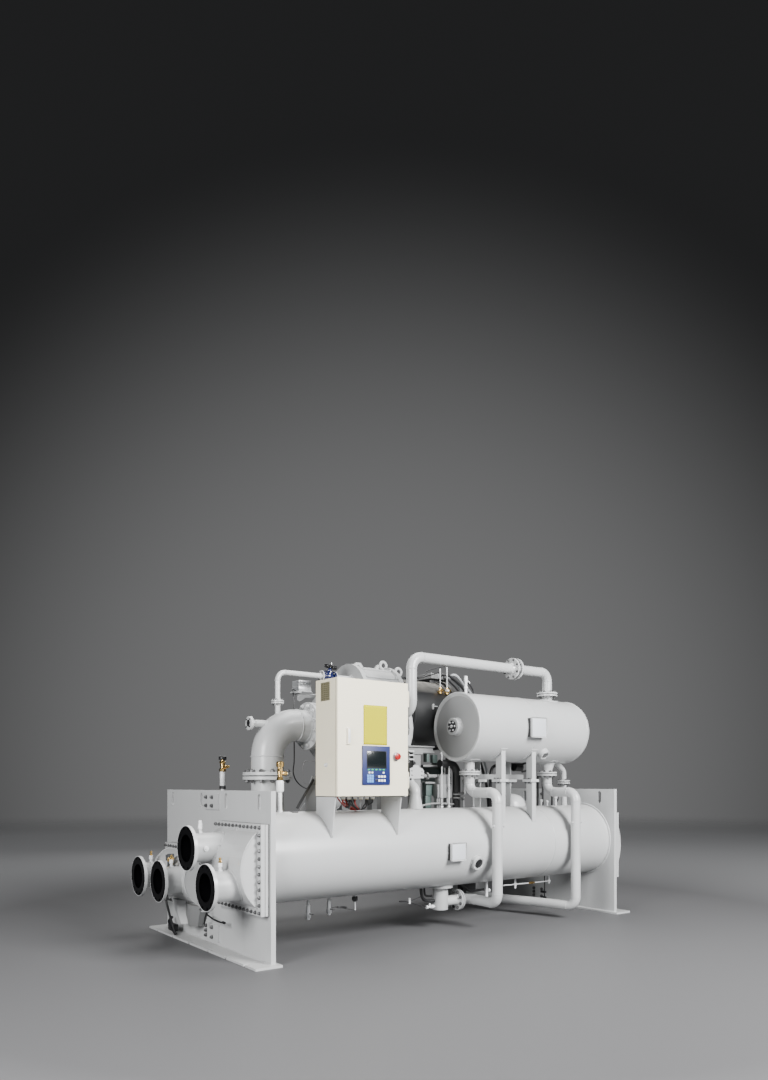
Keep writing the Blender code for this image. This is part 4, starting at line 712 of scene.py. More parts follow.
nozzle_grey = finish_of(
    "sprayed_nozzle", GREY, 0.36, cloud=0.04, cloud_size=4.0, grain=180.0, depth=0.0004, coat=0.2, dust_and_sheen=0.3,
)
FACE_T = 0.0185
FACE_R = NOZZLE_FLANGE_R - 0.0052
black_face_and_bore_shade = finish_of(
    "black_face_paint_and_bore_shade", (0.0025, 0.0025, 0.003), 0.3, cloud=0.3, cloud_size=9.0, grain=120.0, depth=0.0006,
)
black_face_and_bore_shade.node_tree.nodes["Principled BSDF"].inputs["Specular IOR Level"].default_value = 0.08
for name, y, z, reach, which in NOZZLES:
    centre, radius, _, _ = dome(BOXES[which])
    box_z = BOXES[which][4]
    body = bmesh.new()
    lathe(body, [
        (0.002 + NOZZLE_FLANGE_T, NOZZLE_R + 0.007), (0.034 + NOZZLE_FLANGE_T, NOZZLE_R), (reach - 0.07, NOZZLE_R),
        (reach - 0.07, NOZZLE_R - 0.003), (NOZZLE_FLANGE_T, NOZZLE_R - 0.003),
    ], at(-reach, y, z), X, 56, loop=True)
    drilled(
        body, at(-reach + FACE_T + 0.0003, y, z), X, NOZZLE_FLANGE_T - FACE_T - 0.0003, NOZZLE_FLANGE_R,
        NOZZLE_R - 0.002, BOLT_CIRCLE, 12, HOLE_R,
    )
    lathe(body, [
        (0.0008, FACE_R + 0.0004), (0.0, FACE_R + 0.001), (0.0, NOZZLE_FLANGE_R - 0.001), (0.001, NOZZLE_FLANGE_R),
        (FACE_T + 0.0003, NOZZLE_FLANGE_R), (FACE_T + 0.0003, FACE_R + 0.0004),
    ], at(-reach, y, z), X, 80, loop=True)
    made = piece(name.replace("nozzle", "water_nozzle"), joined(body), nozzle_grey)
    face = bmesh.new()
    drilled(face, at(-reach, y, z), X, FACE_T, FACE_R, NOZZLE_R - NOZZLE_WALL, BOLT_CIRCLE, 12, HOLE_R + 0.0004)
    lined = piece(name + "_face", joined(face), black_face_and_bore_shade)
    # The black lining of the bore and the black disc across it at depth are painted shade: they stand for the dark
    # inside of the pipe.
    liner = bmesh.new()
    deep = reach - 0.203
    lathe(liner, [
        (0.003, NOZZLE_R - NOZZLE_WALL), (deep, NOZZLE_R - NOZZLE_WALL), (deep, 0), (deep + 0.003, 0),
        (deep + 0.003, NOZZLE_R - 0.003), (0.003, NOZZLE_R - 0.003),
    ], at(-reach, y, z), X, 48)
    bored = piece(name + "_bore", liner, black_face_and_bore_shade)
    for shown in (made, lined, bored):
        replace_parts(shown, name)
    foot = []
    for turn in turns_of(80):
        ny, nz = y + (NOZZLE_R + 0.002) * cos(turn), z + (NOZZLE_R + 0.002) * sin(turn)
        foot.append(at(centre - sqrt(radius**2 - (nz - box_z) ** 2) - 0.001, ny, nz))
    bead(seams, foot, 0.0065, 8, loop=True)
    ring_weld(seams, at(-reach + NOZZLE_FLANGE_T + 0.004, y, z), X, NOZZLE_R + 0.007, 0.004, 6)
piece("water_box_welds", seams, weld_grey)

# The air vents on the nozzles: a painted steel boss, a white valve body and a brass cap. The upper
# pipe has a plugged boss on its side, and a brass cock sits between the far nozzles.
brass = finish_of(
    "machined_brass", (0.78, 0.53, 0.2), 0.24, metal=1.0, cloud=0.16, cloud_size=60.0, grain=500.0, depth=0.0001,
)
valve_white = finish_of("white_valve_enamel", (0.74, 0.75, 0.76), 0.3, cloud=0.04, grain=300.0, coat=0.3)
VENTS = (
    (-0.268, 0.242, 0.553, True), (-0.271, 0.575, 0.802, False), (-0.249, 1.634, 0.502, True),
    (-0.249, 1.185, 0.502, True),
)
stubs = bmesh.new()
caps = bmesh.new()
for x, y, z, brassy in VENTS:
    foot = at(x, y, z + NOZZLE_R - 0.004)
    lathe(stubs, [
        (0, 0.018), (0.012, 0.017), (0.012, 0.011), (0.03, 0.011), (0.032, 0.016), (0.058, 0.016), (0.061, 0.012),
        (0.061, 0),
    ], foot, Z, 24)
    if brassy:
        prism(caps, foot + Z * 0.061, Z, 0.021, 0.012)
        lathe(caps, [
            (0, 0.007), (0.01, 0.007), (0.011, 0.01), (0.022, 0.01), (0.025, 0.005), (0.025, 0),
        ], foot + Z * 0.073, Z)
        lathe(caps, [(0, 0.004), (0.024, 0.004), (0.026, 0)], foot + Z * 0.07, -Y, 12)
    else:
        prism(stubs, foot + Z * 0.061, Z, 0.026, 0.012)
        lathe(stubs, [(0, 0.012), (0.018, 0.012), (0.021, 0.008), (0.021, 0)], foot + Z * 0.073, Z)
lathe(
    stubs, [(0, 0.02), (0.012, 0.019), (0.013, 0.012), (0.013, 0)], at(-0.272, 0.575 - NOZZLE_R + 0.003, 0.802), -Y,
    24,
)
prism(stubs, at(-0.272, 0.575 - NOZZLE_R - 0.009, 0.802), -Y, 0.016, 0.007, 4)
piece("air_vent_bodies", stubs, valve_white)
piece("air_vent_caps", caps, brass)

# The suction line: large pipe welded into the near vessel's shoulder, leaning back and rising to a
# bolted joint, then an elbow over to the compressor. Bands of weld show at both ends of the elbow.
SUCTION_R = 0.1335
SUCTION_FLANGE_R = 0.2
SUCTION_X = 0.454
DRIVE_Y = 0.9
SUCTION_JOINT_Z = 1.33
COMPRESSOR_Z = 1.755
COMPRESSOR_INLET_X = 0.85
SUCTION_BEND = 0.265
SUCTION_LOW_BEND = 0.16
SUCTION_FLANGE_T = 0.03
SUCTION_BOLTS_R = 0.17


def bent(points, radius, steps=10):
    """The middle line of a bent pipe: each corner becomes an arc."""
    line = [Vector(points[0])]
    for before, corner, after in zip(points, points[1:], points[2:]):
        back, on = (before - corner).normalized(), (after - corner).normalized()
        half = back.angle(on) / 2
        centre = corner + (back + on).normalized() * (radius / sin(half))
        first = corner + back * radius / tan(half) - centre
        last = corner + on * radius / tan(half) - centre
        sweep = pi - 2 * half
        for i in range(steps + 1):
            share = i / steps
            arm = first * sin((1 - share) * sweep) + last * sin(share * sweep)
            line.append(centre + arm / sin(sweep))
    return line + [Vector(points[-1])]


def tube(shape, line, radius, sides=32):
    """A round pipe or rod along a line, closed at its ends."""
    rings = []
    side = up = None
    for i, spot in enumerate(line):
        ahead = (line[min(i + 1, len(line) - 1)] - spot).normalized() if i + 1 < len(line) else None
        behind = (spot - line[i - 1]).normalized() if i else None
        along = ((ahead or behind) + (behind or ahead)).normalized()
        if side is None:
            side, up = across(along)
        side = (side - along * side.dot(along)).normalized()
        up = along.cross(side)
        rings.append(corners(shape, circle(spot, side, up, radius, sides)))
    skin(shape, rings, capped=True)


def rod(shape, radius, sides, *places):
    """A rod or pipe straight from place to place."""
    tube(shape, [at(*place) for place in places], radius, sides)


pipe_grey = finish_of("sprayed_pipework", GREY, 0.34, cloud=0.035, cloud_size=3.0, grain=200.0, coat=0.22, dust_and_sheen=0.3)
riser_foot = at(SUCTION_X, 0.6, 0.7)
riser_knee = at(SUCTION_X, DRIVE_Y, 1.0)
joint = at(SUCTION_X, DRIVE_Y, SUCTION_JOINT_Z)
riser = bmesh.new()
tube(riser, bent([riser_foot, riser_knee, joint - Z * 0.02], SUCTION_LOW_BEND), SUCTION_R, 48)
weld_neck(riser, joint - Z * 0.0008, Z, SUCTION_FLANGE_T, SUCTION_FLANGE_R, SUCTION_R)
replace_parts(piece("suction_riser_pipe", riser, pipe_grey), "suction_riser")

PORT_X, PORT_R = 0.28, 0.03
BYPASS_X, BYPASS_R, BYPASS_JOINT_Z, BYPASS_Z = 0.547, 0.0213, 1.94, 2.19
corner = at(SUCTION_X, DRIVE_Y, COMPRESSOR_Z)
inlet = at(COMPRESSOR_INLET_X, DRIVE_Y, COMPRESSOR_Z)
elbow = bmesh.new()
tube(elbow, bent([joint + Z * 0.02, corner, inlet - X * 0.02], SUCTION_BEND, 16), SUCTION_R, 48)
weld_neck(elbow, joint + Z * 0.0008, -Z, SUCTION_FLANGE_T, SUCTION_FLANGE_R, SUCTION_R)
weld_neck(elbow, inlet - X * 0.0008, X, SUCTION_FLANGE_T, SUCTION_FLANGE_R, SUCTION_R)
port = at(PORT_X, DRIVE_Y, COMPRESSOR_Z)
tube(elbow, [port + X * 0.01, corner + X * 0.02], PORT_R, 28)
lathe(elbow, [(0, 0.028), (0, 0.052), (0.002, 0.056), (0.024, 0.056), (0.026, 0.053), (0.026, 0.0)], port, X, 36)
rod(elbow, BYPASS_R, 24, (BYPASS_X, DRIVE_Y, COMPRESSOR_Z), (BYPASS_X, DRIVE_Y, BYPASS_JOINT_Z - 0.01))
weld_neck(elbow, at(BYPASS_X, DRIVE_Y, BYPASS_JOINT_Z), Z, 0.013, 0.052, BYPASS_R, 0.001)
blank = bmesh.new()
lathe(blank, [(0.0006, 0), (0.0006, 0.028), (0.006, 0.028), (0.006, 0)], port, X, 28)
for turn in turns_of(4, 0.5):
    bolt(blank, port + X * 0.0002 + spoke(turn) * 0.042, -X, 0.007, turn)
made = [
    piece("suction_elbow_pipe", elbow, pipe_grey),
    piece("suction_port_blank", blank, black_enamel),
]
for shown in made:
    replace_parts(shown, "suction_elbow")

seams = bmesh.new()
for spot, axis in (
    (corner - Z * SUCTION_BEND, Z), (corner + X * SUCTION_BEND, X), (joint + Z * 0.05, Z), (joint - Z * 0.05, Z),
    (inlet - X * 0.05, X),
):
    ring_weld(seams, spot, axis, SUCTION_R, 0.0055, 8)
piece("suction_welds", seams, weld_grey)
flange_bolts(joint_studs, joint, Z, SUCTION_BOLTS_R, 12, 0.02, SUCTION_FLANGE_T + 0.001)

# The compressor: a cast volute with a bolted suction cover, and behind it the gear housing, both
# machined on their joint rings. The castings are rough under the paint, and lifting eyes stand on top.
VOLUTE_END_X = 1.28
GEAR_END_X = 1.72
GEAR_R, GEAR_TOP_R, GEAR_TOP_Z = 0.3, 0.27, 2.04
MOTOR_Y = 0.975

# The castings' grey is the plates' grey darkened: painted shade for the volute's shaded side. The same grey goes on
# the actuator, the ribs, the eyes and the check valve.
cast_grey_painted_shade = finish_of(
    "casting_grey_with_painted_shade", [c * 0.8 for c in GREY], 0.44, cloud_size=5.0, grain=95.0, depth=0.0016, coat=0.1, dust_and_sheen=0.35,
)
coat_nodes(cast_grey_painted_shade, "compressor_volute", "gear_housing")
ring_bolts = bmesh.new()
for turn in turns_of(12, 0.5):
    arm = spoke(turn)
    bolt(ring_bolts, inlet + X * (SUCTION_FLANGE_T + 0.0005) + arm * SUCTION_BOLTS_R, X, 0.02, turn)
    bolt(ring_bolts, inlet - X * (SUCTION_FLANGE_T + 0.0025) + arm * SUCTION_BOLTS_R, -X, 0.02, turn)
for turn in turns_of(20):
    arm = spoke(turn)
    bolt(ring_bolts, at(0.99, DRIVE_Y, COMPRESSOR_Z) + arm * 0.27, Vector((-0.55, 0, 0)) + arm * 0.75, 0.012, turn)
for x, way in ((VOLUTE_END_X + 0.0405, X), (GEAR_END_X - 0.0405, -X)):
    for z, y, radius, spread in (
        (COMPRESSOR_Z, DRIVE_Y, GEAR_R, (-0.15, 1.15)), (GEAR_TOP_Z, MOTOR_Y, GEAR_TOP_R, (-0.05, 1.05)),
    ):
        for i in range(9):
            lower = z == COMPRESSOR_Z
            turn = pi * (spread[0] + (spread[1] - spread[0]) * i / 8) * (-1 if lower else 1)
            bolt(ring_bolts, at(
                x, y + (radius + 0.008) * cos(turn), z + (radius + 0.008) * sin(turn),
            ), way, 0.0085, turn)
piece("compressor_bolts", ring_bolts, bolt_grey)

RIB_T = 0.014
RIB_LOW_X, RIB_HIGH_X = VOLUTE_END_X + 0.05, GEAR_END_X - 0.05
ribs = bmesh.new()
for turn in (0.62, 1.05, 1.57, 2.09, 2.52):
    arm = spoke(turn)
    base = at(0, MOTOR_Y, GEAR_TOP_Z) + arm * (GEAR_TOP_R - 0.004)
    side = X.cross(arm) * RIB_T / 2
    rings = []
    for x, lift in (
        (RIB_LOW_X, 0.03), (RIB_LOW_X + 0.06, 0.016), (RIB_HIGH_X - 0.06, 0.016), (RIB_HIGH_X, 0.03),
    ):
        spot, root, top = base + X * x, arm * 0.01, arm * lift * 0.7
        rings.append(corners(ribs, (
            spot - side - root, spot + side - root, spot + side * 0.7 + top, spot - side * 0.7 + top,
        )))
    skin(ribs, rings, capped=True)
piece("gear_housing_ribs", ribs, cast_grey_painted_shade)
eyes, eye_hole_shades = bmesh.new(), bmesh.new()
for x, z in ((1.672, 2.348), (1.846, 2.304)):
    spot = at(x, MOTOR_Y - 0.016, z)
    lathe(eyes, [
        (-0.012, 0.026), (-0.012, 0.04), (-0.004, 0.046), (0.004, 0.046), (0.012, 0.04), (0.012, 0.026),
        (0.006, 0.021), (-0.006, 0.021),
    ], spot, -Y, 40, loop=True)
    # A black disc across each eye's hole is painted shade for the hole.
    lathe(eye_hole_shades, [(-0.002, 0.0), (-0.002, 0.0245), (0.002, 0.0245), (0.002, 0.0)], spot, -Y, 28)
piece("lifting_eyes", eyes, cast_grey_painted_shade)
piece("lifting_eye_hole_painted_shade", eye_hole_shades, black_enamel)

# The guide vane actuator: a small finned die-cast drive on a round plate, on an arm from the volute.
# A thin black lead drops from it to the cabinet's back.
ACTUATOR = (0.9, 1.11, 2.052)
actuator_grey = finish_of(
    "die_cast_actuator", (0.36, 0.37, 0.38), 0.38, metal=0.3, cloud_size=12.0, grain=300.0, coat=0.1,
)
coat_nodes(cast_grey_painted_shade, "guide_vane_actuator")
fins = bmesh.new()
ax, ay, az = ACTUATOR
slab(fins, (ax - 0.0625, ay - 0.0575, az + 0.024), (ax + 0.0625, ay + 0.0575, az + 0.058), 0.004)
slab(fins, (ax - 0.0625, ay - 0.0575, az + 0.062), (ax + 0.0625, ay + 0.0575, az + 0.1115), 0.006)
for i in range(7):
    x = ax - 0.048 + 0.016 * i
    slab(fins, (x - 0.003, ay - 0.064, az + 0.066), (x + 0.003, ay + 0.064, az + 0.104), 0.001)
for turn in turns_of(4, 0.5):
    bolt(fins, at(ax + 0.082 * cos(turn), ay + 0.082 * sin(turn), az + 0.0142), Z, 0.008, turn)
piece("actuator_case", fins, actuator_grey)

# The motor: a hermetic shell painted dark grey, with clamp bands, a bolted end bell and a lifting eye.
# Its terminals are boxed in on top.
MOTOR = (0.975, 1.925, 0.312)
# The motor's upward faces are mixed fully to the pale dust colour, so its dark shell turns pale over the top: a
# painted highlight, not dust.
motor_dark = finish_of(
    "dark_motor_enamel", (0.01, 0.0104, 0.011), 0.4, cloud=0.12, cloud_size=3.0, grain=120.0, depth=0.0008,
    streak=0.1, coat=0.05, dust_and_sheen=1.0,
)
my, mz, mr = MOTOR
motor_at = at(1.7203, my, mz)
shell_end = 0.7197
casing = bmesh.new()
lathe(casing, [
    (0, 0), (0, mr + 0.015), (0.038, mr + 0.015), (0.042, mr), (shell_end - 0.15, mr),
    (shell_end - 0.15, mr + 0.022), (shell_end - 0.11, mr + 0.022), (shell_end - 0.11, mr - 0.02),
    (shell_end - 0.085, mr - 0.045), (shell_end - 0.05, 0.23), (shell_end - 0.02, 0.185), (shell_end, 0.14),
    (shell_end, 0),
], motor_at, X, 96)
slab(casing, (2.17, my - 0.09, mz + 0.2), (2.37, my + 0.09, 2.2615), 0.004)
slab(casing, (1.796, my - 0.012, mz + mr - 0.02), (1.884, my + 0.012, mz + mr + 0.055), 0.01)
for y0, y1 in ((0.8, 0.87), (1.08, 1.15)):
    slab(casing, (1.8, y0, 1.6035), (1.92, y1, 1.74), 0.006)
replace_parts(piece("motor_casing", casing, motor_dark), "compressor_motor")
base_grey = finish_of(
    "sprayed_base_steel", [c * 0.44 for c in GREY], 0.44, cloud=0.06, cloud_size=3.0, grain=150.0, depth=0.0005,
    streak=0.12, dust_and_sheen=0.3,
)
coat_nodes(base_grey, "motor_terminal_box")
bands = bmesh.new()
for x in (1.8, 2.23):
    lathe(bands, [
        (0, mr - 0.004), (0, mr + 0.007), (0.003, mr + 0.009), (0.019, mr + 0.009), (0.022, mr + 0.007),
        (0.022, mr - 0.004),
    ], at(x, my, mz), X, 64, loop=True)
for turn in turns_of(16, 0.5):
    arm = spoke(turn)
    bolt(bands, at(2.332, my, mz) + arm * (mr + 0.004), X, 0.011, turn)
    bolt(bands, at(2.288, my, mz) + arm * (mr + 0.004), -X, 0.011, turn)
piece("motor_bands", bands, motor_dark)
LID_X, LID_TOP = 2.27, 2.309
lid = bmesh.new()
slab(lid, (LID_X - 0.124, my - 0.134, 2.296), (LID_X + 0.124, my + 0.134, LID_TOP), 0.003)
for x in (LID_X - 0.105, LID_X, LID_X + 0.105):
    for y in (my - 0.118, my + 0.118):
        bolt(lid, at(x, y, LID_TOP), Z, 0.007, x)
piece("terminal_box_lid", lid, base_grey)

# The motor base and its four channel legs: folded and welded plate, bolted to the machine's feet.
# They are sprayed a darker grey than the plates.
BASE_TOP = 1.603
RAIL_YS = (0.59, 1.21)
LEGS = [(x, y) for y in RAIL_YS for x in (1.4, 1.74)]
RAIL_H, RAIL_HALF, RAIL_WEB = 0.06, 0.025, 0.01
rails = bmesh.new()
for y in RAIL_YS:
    for low, high in ((BASE_TOP - 0.012, BASE_TOP), (BASE_TOP - RAIL_H, BASE_TOP - RAIL_H + 0.012)):
        slab(rails, (1.3, y - RAIL_HALF, low), (1.955, y + RAIL_HALF, high), 0.002)
    slab(rails, (1.302, y - RAIL_WEB / 2, BASE_TOP - RAIL_H + 0.01), (1.953, y + RAIL_WEB / 2, BASE_TOP - 0.01))
for x in (1.8, 1.925):
    slab(
        rails, (x - 0.025, RAIL_YS[0], BASE_TOP - RAIL_H + 0.013), (x + 0.025, RAIL_YS[1], BASE_TOP - 0.013), 0.002,
    )
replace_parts(piece("base_rails", rails, base_grey), "motor_base")
coat_nodes(base_grey, "motor_leg_near_front", "motor_leg_near_back", "motor_leg_far_front", "motor_leg_far_back")
base_bolts = bmesh.new()
for x, y in LEGS:
    for dx in (-0.028, 0.028):
        side = -1 if y < DRIVE_Y else 1
        bolt(base_bolts, at(x + dx, y + side * 0.03, BASE_TOP - 0.0745), -Z, 0.012, dx)
for x in (1.4, 1.64, 1.86):
    for y, side in ((0.565, 1), (1.235, -1)):
        for dx in (-0.022, 0.022):
            bolt(base_bolts, at(x + dx, y + side * 0.022, BASE_TOP + 0.0005), -Z, 0.012, dx)
piece("motor_base_bolts", base_bolts, dark_stud_and_shade)

# The oil cooler: a dark green-grey shell hung from the base by two straps, with bolted end covers,
# and beside it a thick black oil pipe with its elbow down to the vessel.
OIL = (0.9, 1.36, 0.085)
oil_paint = finish_of(
    "oil_cooler_enamel", (0.075, 0.105, 0.098), 0.34, cloud=0.12, cloud_size=6.0, grain=200.0, depth=0.0004,
    coat=0.2, dust_and_sheen=0.2,
)
coat_nodes(oil_paint, "oil_cooler")
oil_trim = bmesh.new()
oy, oz, orad = OIL
for x, way in ((1.74, -X), (2.27, X)):
    for turn in turns_of(10):
        arm = spoke(turn)
        bolt(oil_trim, at(x, oy, oz) + arm * (orad + 0.013), way, 0.009, turn)
for x, way in ((1.72, -X), (2.29, X)):
    lathe(oil_trim, [(0, 0.055), (0.008, 0.05), (0.012, 0.022), (0.03, 0.022), (0.03, 0.0)], at(x, oy, oz), way, 32)
piece("oil_cooler_covers", oil_trim, oil_paint)

# The control cabinet: folded sheet steel with a fine ivory powder coat, welded corners and a plinth
# strip below. A louvred filter and a round knob are on its side, and cable glands are underneath.
CAB_X, CAB_W, CAB_LOW, CAB_H, CAB_DEPTH = 0.547, 0.656, 1.175, 0.875, 0.3
DOOR_T = 0.025
IVORY = (0.8, 0.738, 0.57)
powder = finish_of(
    "ivory_powder_coat", IVORY, 0.44, cloud=0.02, cloud_size=2.0, grain=900.0, depth=0.0002, dust_and_sheen=0.12,
)
coat_nodes(powder, "control_cabinet", "control_door")
coat_nodes(plate_grey, "cabinet_bracket_left", "cabinet_bracket_right")
coat_nodes(steel_bare, "cabinet_mounting_plate")
cab_right = CAB_X + CAB_W
cab_top = CAB_LOW + CAB_H

LOUVRE = (0.101, 0.227, 1.888, 2.027)
filter_olive = finish_of(
    "filter_cloth", (0.11, 0.1, 0.055), 0.85, cloud=0.35, cloud_size=60.0, grain=700.0, depth=0.0008,
)
y0, y1, z0, z1 = LOUVRE
frame_piece = bmesh.new()
slab(frame_piece, (CAB_X - 0.0035, y0 - 0.008, z0 - 0.008), (CAB_X - 0.0003, y0, z1 + 0.008), 0.001)
slab(frame_piece, (CAB_X - 0.0035, y1, z0 - 0.008), (CAB_X - 0.0003, y1 + 0.008, z1 + 0.008), 0.001)
for z in (z0 - 0.008, z1):
    slab(frame_piece, (CAB_X - 0.0035, y0 - 0.001, z), (CAB_X - 0.0003, y1 + 0.001, z + 0.008), 0.001)
piece("filter_frame", frame_piece, powder)
cloth = bmesh.new()
slab(cloth, (CAB_X - 0.0012, y0, z0), (CAB_X - 0.0002, y1, z1))
piece("filter_mat", cloth, filter_olive)
slats = bmesh.new()
for i in range(9):
    z = z0 + (z1 - z0) * (i + 0.5) / 9
    slab(slats, (CAB_X - 0.004, y0, z - 0.0016), (CAB_X - 0.0008, y1, z + 0.0016), 0.0005)
for i in range(5):
    y = y0 + (y1 - y0) * (i + 0.5) / 5
    slab(slats, (CAB_X - 0.0034, y - 0.0016, z0), (CAB_X - 0.0008, y + 0.0016, z1), 0.0005)
olive_grille = finish_of("filter_grille", (0.2, 0.185, 0.12), 0.5, cloud=0.1, cloud_size=40.0)
piece("filter_slats", slats, olive_grille)

knob = bmesh.new()
lathe(knob, [
    (0, 0.016), (0.004, 0.017), (0.006, 0.013), (0.016, 0.012), (0.019, 0.009), (0.019, 0),
], at(CAB_X - 0.0002, 0.148, 1.407), -X, 32)
piece("vent_knob", knob, valve_white)

GLAND_XS = [CAB_X + 0.16 + 0.055 * i for i in range(6)]
GLAND_Y = CAB_DEPTH * 0.55
GLAND_REACH = 0.0283
gland_white = finish_of("nylon_gland", (0.78, 0.78, 0.76), 0.42, cloud=0.03, cloud_size=40.0, grain=300.0)
glands = bmesh.new()
for x in GLAND_XS:
    prism(glands, at(x, GLAND_Y, CAB_LOW - 0.0003), -Z, 0.0375, 0.01)
    lathe(glands, [
        (0.01, 0.0), (0.01, 0.0165), (0.02, 0.016), (0.0279, 0.0115), (0.0279, 0.0),
    ], at(x, GLAND_Y, CAB_LOW), -Z, 24)
piece("cable_glands", glands, gland_white)
strip = bmesh.new()
slab(strip, (CAB_X + 0.004, 0.03, CAB_LOW - 0.0065), (cab_right - 0.004, 0.04, CAB_LOW - 0.0004), 0.001)
slab(strip, (CAB_X + 0.002, 0.03, CAB_LOW - 0.0065), (CAB_X + 0.012, 0.296, CAB_LOW - 0.0004), 0.001)
piece("cabinet_under_seal", strip, gasket_and_shadow_dark)
seal = bmesh.new()
left, right, low, high = CAB_X + 0.006, cab_right - 0.006, CAB_LOW + 0.006, cab_top - 0.006
for x0, x1, z0, z1 in (
    (left, left + 0.006, low, high), (right - 0.006, right, low, high), (left, right, low, low + 0.006),
    (left, right, high - 0.006, high),
):
    slab(seal, (x0, 0.0256, z0), (x1, 0.0296, z1))
piece("door_seal", seal, gasket_and_shadow_dark)

# Inside the cabinet, on its zinc plated mounting plate: a drive, relays, breakers and terminal rows on
# rails, with ducts between them. They are moulded in dark and light grey and show when the door opens.
moulding_dark = finish_of("dark_grey_moulding", (0.07, 0.075, 0.08), 0.5, cloud=0.06, cloud_size=20.0, grain=500.0)
moulding_light = finish_of("light_grey_moulding", (0.52, 0.53, 0.52), 0.5, cloud=0.04, cloud_size=20.0, grain=500.0)
inside_dark, inside_light = bmesh.new(), bmesh.new()
PLATE_FRONT = CAB_DEPTH - 0.012 - 0.028
for row, (low, high, deep) in enumerate(((0.58, 0.76, 0.09), (0.35, 0.5, 0.075), (0.13, 0.27, 0.06))):
    front = PLATE_FRONT - deep - 0.0004
    left, right = CAB_X + 0.072, cab_right - 0.072 - 0.05 * row
    count = (4, 11, 22)[row]
    for i in range(count):
        x0, x1 = left + (right - left) * i / count + 0.002, left + (right - left) * (i + 1) / count - 0.002
        shape = inside_dark if (i * 7 + row) % 3 == 0 else inside_light
        slab(shape, (x0, front - 0.01, CAB_LOW + low + 0.012), (x1, front, CAB_LOW + high - 0.012), 0.0015)
    slab(
        inside_light, (left, front - 0.004, CAB_LOW + low - 0.052),
        (right, PLATE_FRONT - 0.0004, CAB_LOW + low - 0.008), 0.001,
    )
piece("cabinet_modules_dark", inside_dark, moulding_dark)
piece("cabinet_modules_light", inside_light, moulding_light)

# The door's fittings: a recessed swing handle, a blue keypad unit with a dark screen, a red mushroom
# button on its collar, and a plain yellow sheet stuck above the keypad. All of them swing with the door.
HMI = (0.766, 1.02, 1.26, 1.552)
SCREEN = (0.806, 0.981, 1.383, 1.511)
SHEET = (0.779, 0.998, 1.562, 1.86)
STOP = (1.087, 1.477)
HANDLE = (0.643, 1.62)
keypad_blue = finish_of("blue_keypad_plastic", (0.002, 0.011, 0.095), 0.5, cloud=0.04, cloud_size=20.0, grain=500.0)
key_light = finish_of("light_blue_keys", (0.1, 0.3, 0.72), 0.34, cloud=0.04, coat=0.2)
key_white = finish_of("white_keys", (0.8, 0.81, 0.82), 0.35, cloud=0.03, coat=0.2)
key_green = finish_of("green_key_strip", (0.02, 0.36, 0.1), 0.35, coat=0.2)
screen_dark = finish_of(
    "screen_glass", (0.006, 0.009, 0.01), 0.1, cloud=0.1, cloud_size=2.2, grain=10.0, depth=0.00002, coat=1.0,
)
yellow = finish_of("yellow_sheet", (0.47, 0.435, 0.0), 0.55, cloud=0.02, cloud_size=6.0, grain=300.0, depth=0.0001)
yellow.node_tree.nodes["Principled BSDF"].inputs["Specular IOR Level"].default_value = 0.06
red = finish_of("red_button", (0.32, 0.003, 0.003), 0.26, cloud=0.04, grain=300.0, coat=0.5)


def on_door(name, shape, material):
    """A piece that swings with the door."""
    return piece(name, shape, material, "door")


def key(shape, x, z, half_w, half_h):
    """A key that stands out of the keypad."""
    slab(shape, (x - half_w, -0.0138, z - half_h), (x + half_w, -0.0112, z + half_h), 0.0015)


x0, x1, z0, z1 = HMI
body = bmesh.new()
slab(body, (x0 - 0.001, -0.0118, z0 - 0.001), (x1 + 0.001, -0.0002, z1 + 0.001), 0.003)
on_door("keypad_case", body, keypad_blue)
screen = bmesh.new()
left, right, low, high = SCREEN
slab(screen, (left, -0.013, low), (right, -0.011, high), 0.0008)
on_door("keypad_screen", screen, screen_dark)
bezel = bmesh.new()
for x0, x1, z0 in (
    (left - 0.005, left - 0.0002, low - 0.005), (right + 0.0002, right + 0.005, low - 0.005),
    (left - 0.001, right + 0.001, high + 0.0002),
):
    slab(bezel, (x0, -0.0136, z0), (x1, -0.0112, high + 0.005), 0.0008)
on_door("keypad_bezel", bezel, black_enamel)
green = bmesh.new()
whites, lights, blacks = bmesh.new(), bmesh.new(), bmesh.new()
for i in range(5):
    x = left + 0.014 + 0.035 * i
    slab(green, (x - 0.01, -0.0134, 1.3695), (x + 0.01, -0.0112, 1.3785), 0.001)
for x in (0.826, 0.852, 0.958):
    key(whites, x, 1.3515, 0.008, 0.0065)
for z in (1.292, 1.322):
    for i in range(3):
        key(whites, 0.918 + 0.025 * i, z, 0.0095, 0.0085)
    key(blacks, 0.891, z, 0.009, 0.0075)
for i in range(3):
    for j in range(3):
        key(lights, 0.8145 + 0.0205 * i, 1.286 + 0.0205 * j, 0.0092, 0.0092)
on_door("keypad_green_keys", green, key_green)
on_door("keypad_white_keys", whites, key_white)
on_door("keypad_arrow_keys", lights, key_light)
on_door("keypad_black_keys", blacks, black_enamel)

leaf = bmesh.new()
LEAF_STEPS = (12, 16)
left, right, bottom, top = SHEET
grid = []
for j in range(LEAF_STEPS[1] + 1):
    row = []
    for i in range(LEAF_STEPS[0] + 1):
        u, v = i / LEAF_STEPS[0], j / LEAF_STEPS[1]
        curl = 0.0012 * (abs(u - 0.5) * 2) ** 6 + 0.001 * (abs(v - 0.5) * 2) ** 8
        lift = -0.0008 - curl - 0.0002 * sin(9 * v + 3 * u)
        row.append(at(left + (right - left) * u, lift, bottom + (top - bottom) * v))
    grid.append(corners(leaf, row))
skin(leaf, grid, closed_rings=False)
made = on_door("yellow_sheet", leaf, yellow)
thick = made.modifiers.new("sheet_thickness", "SOLIDIFY")
thick.thickness = 0.0004
thick.offset = 1

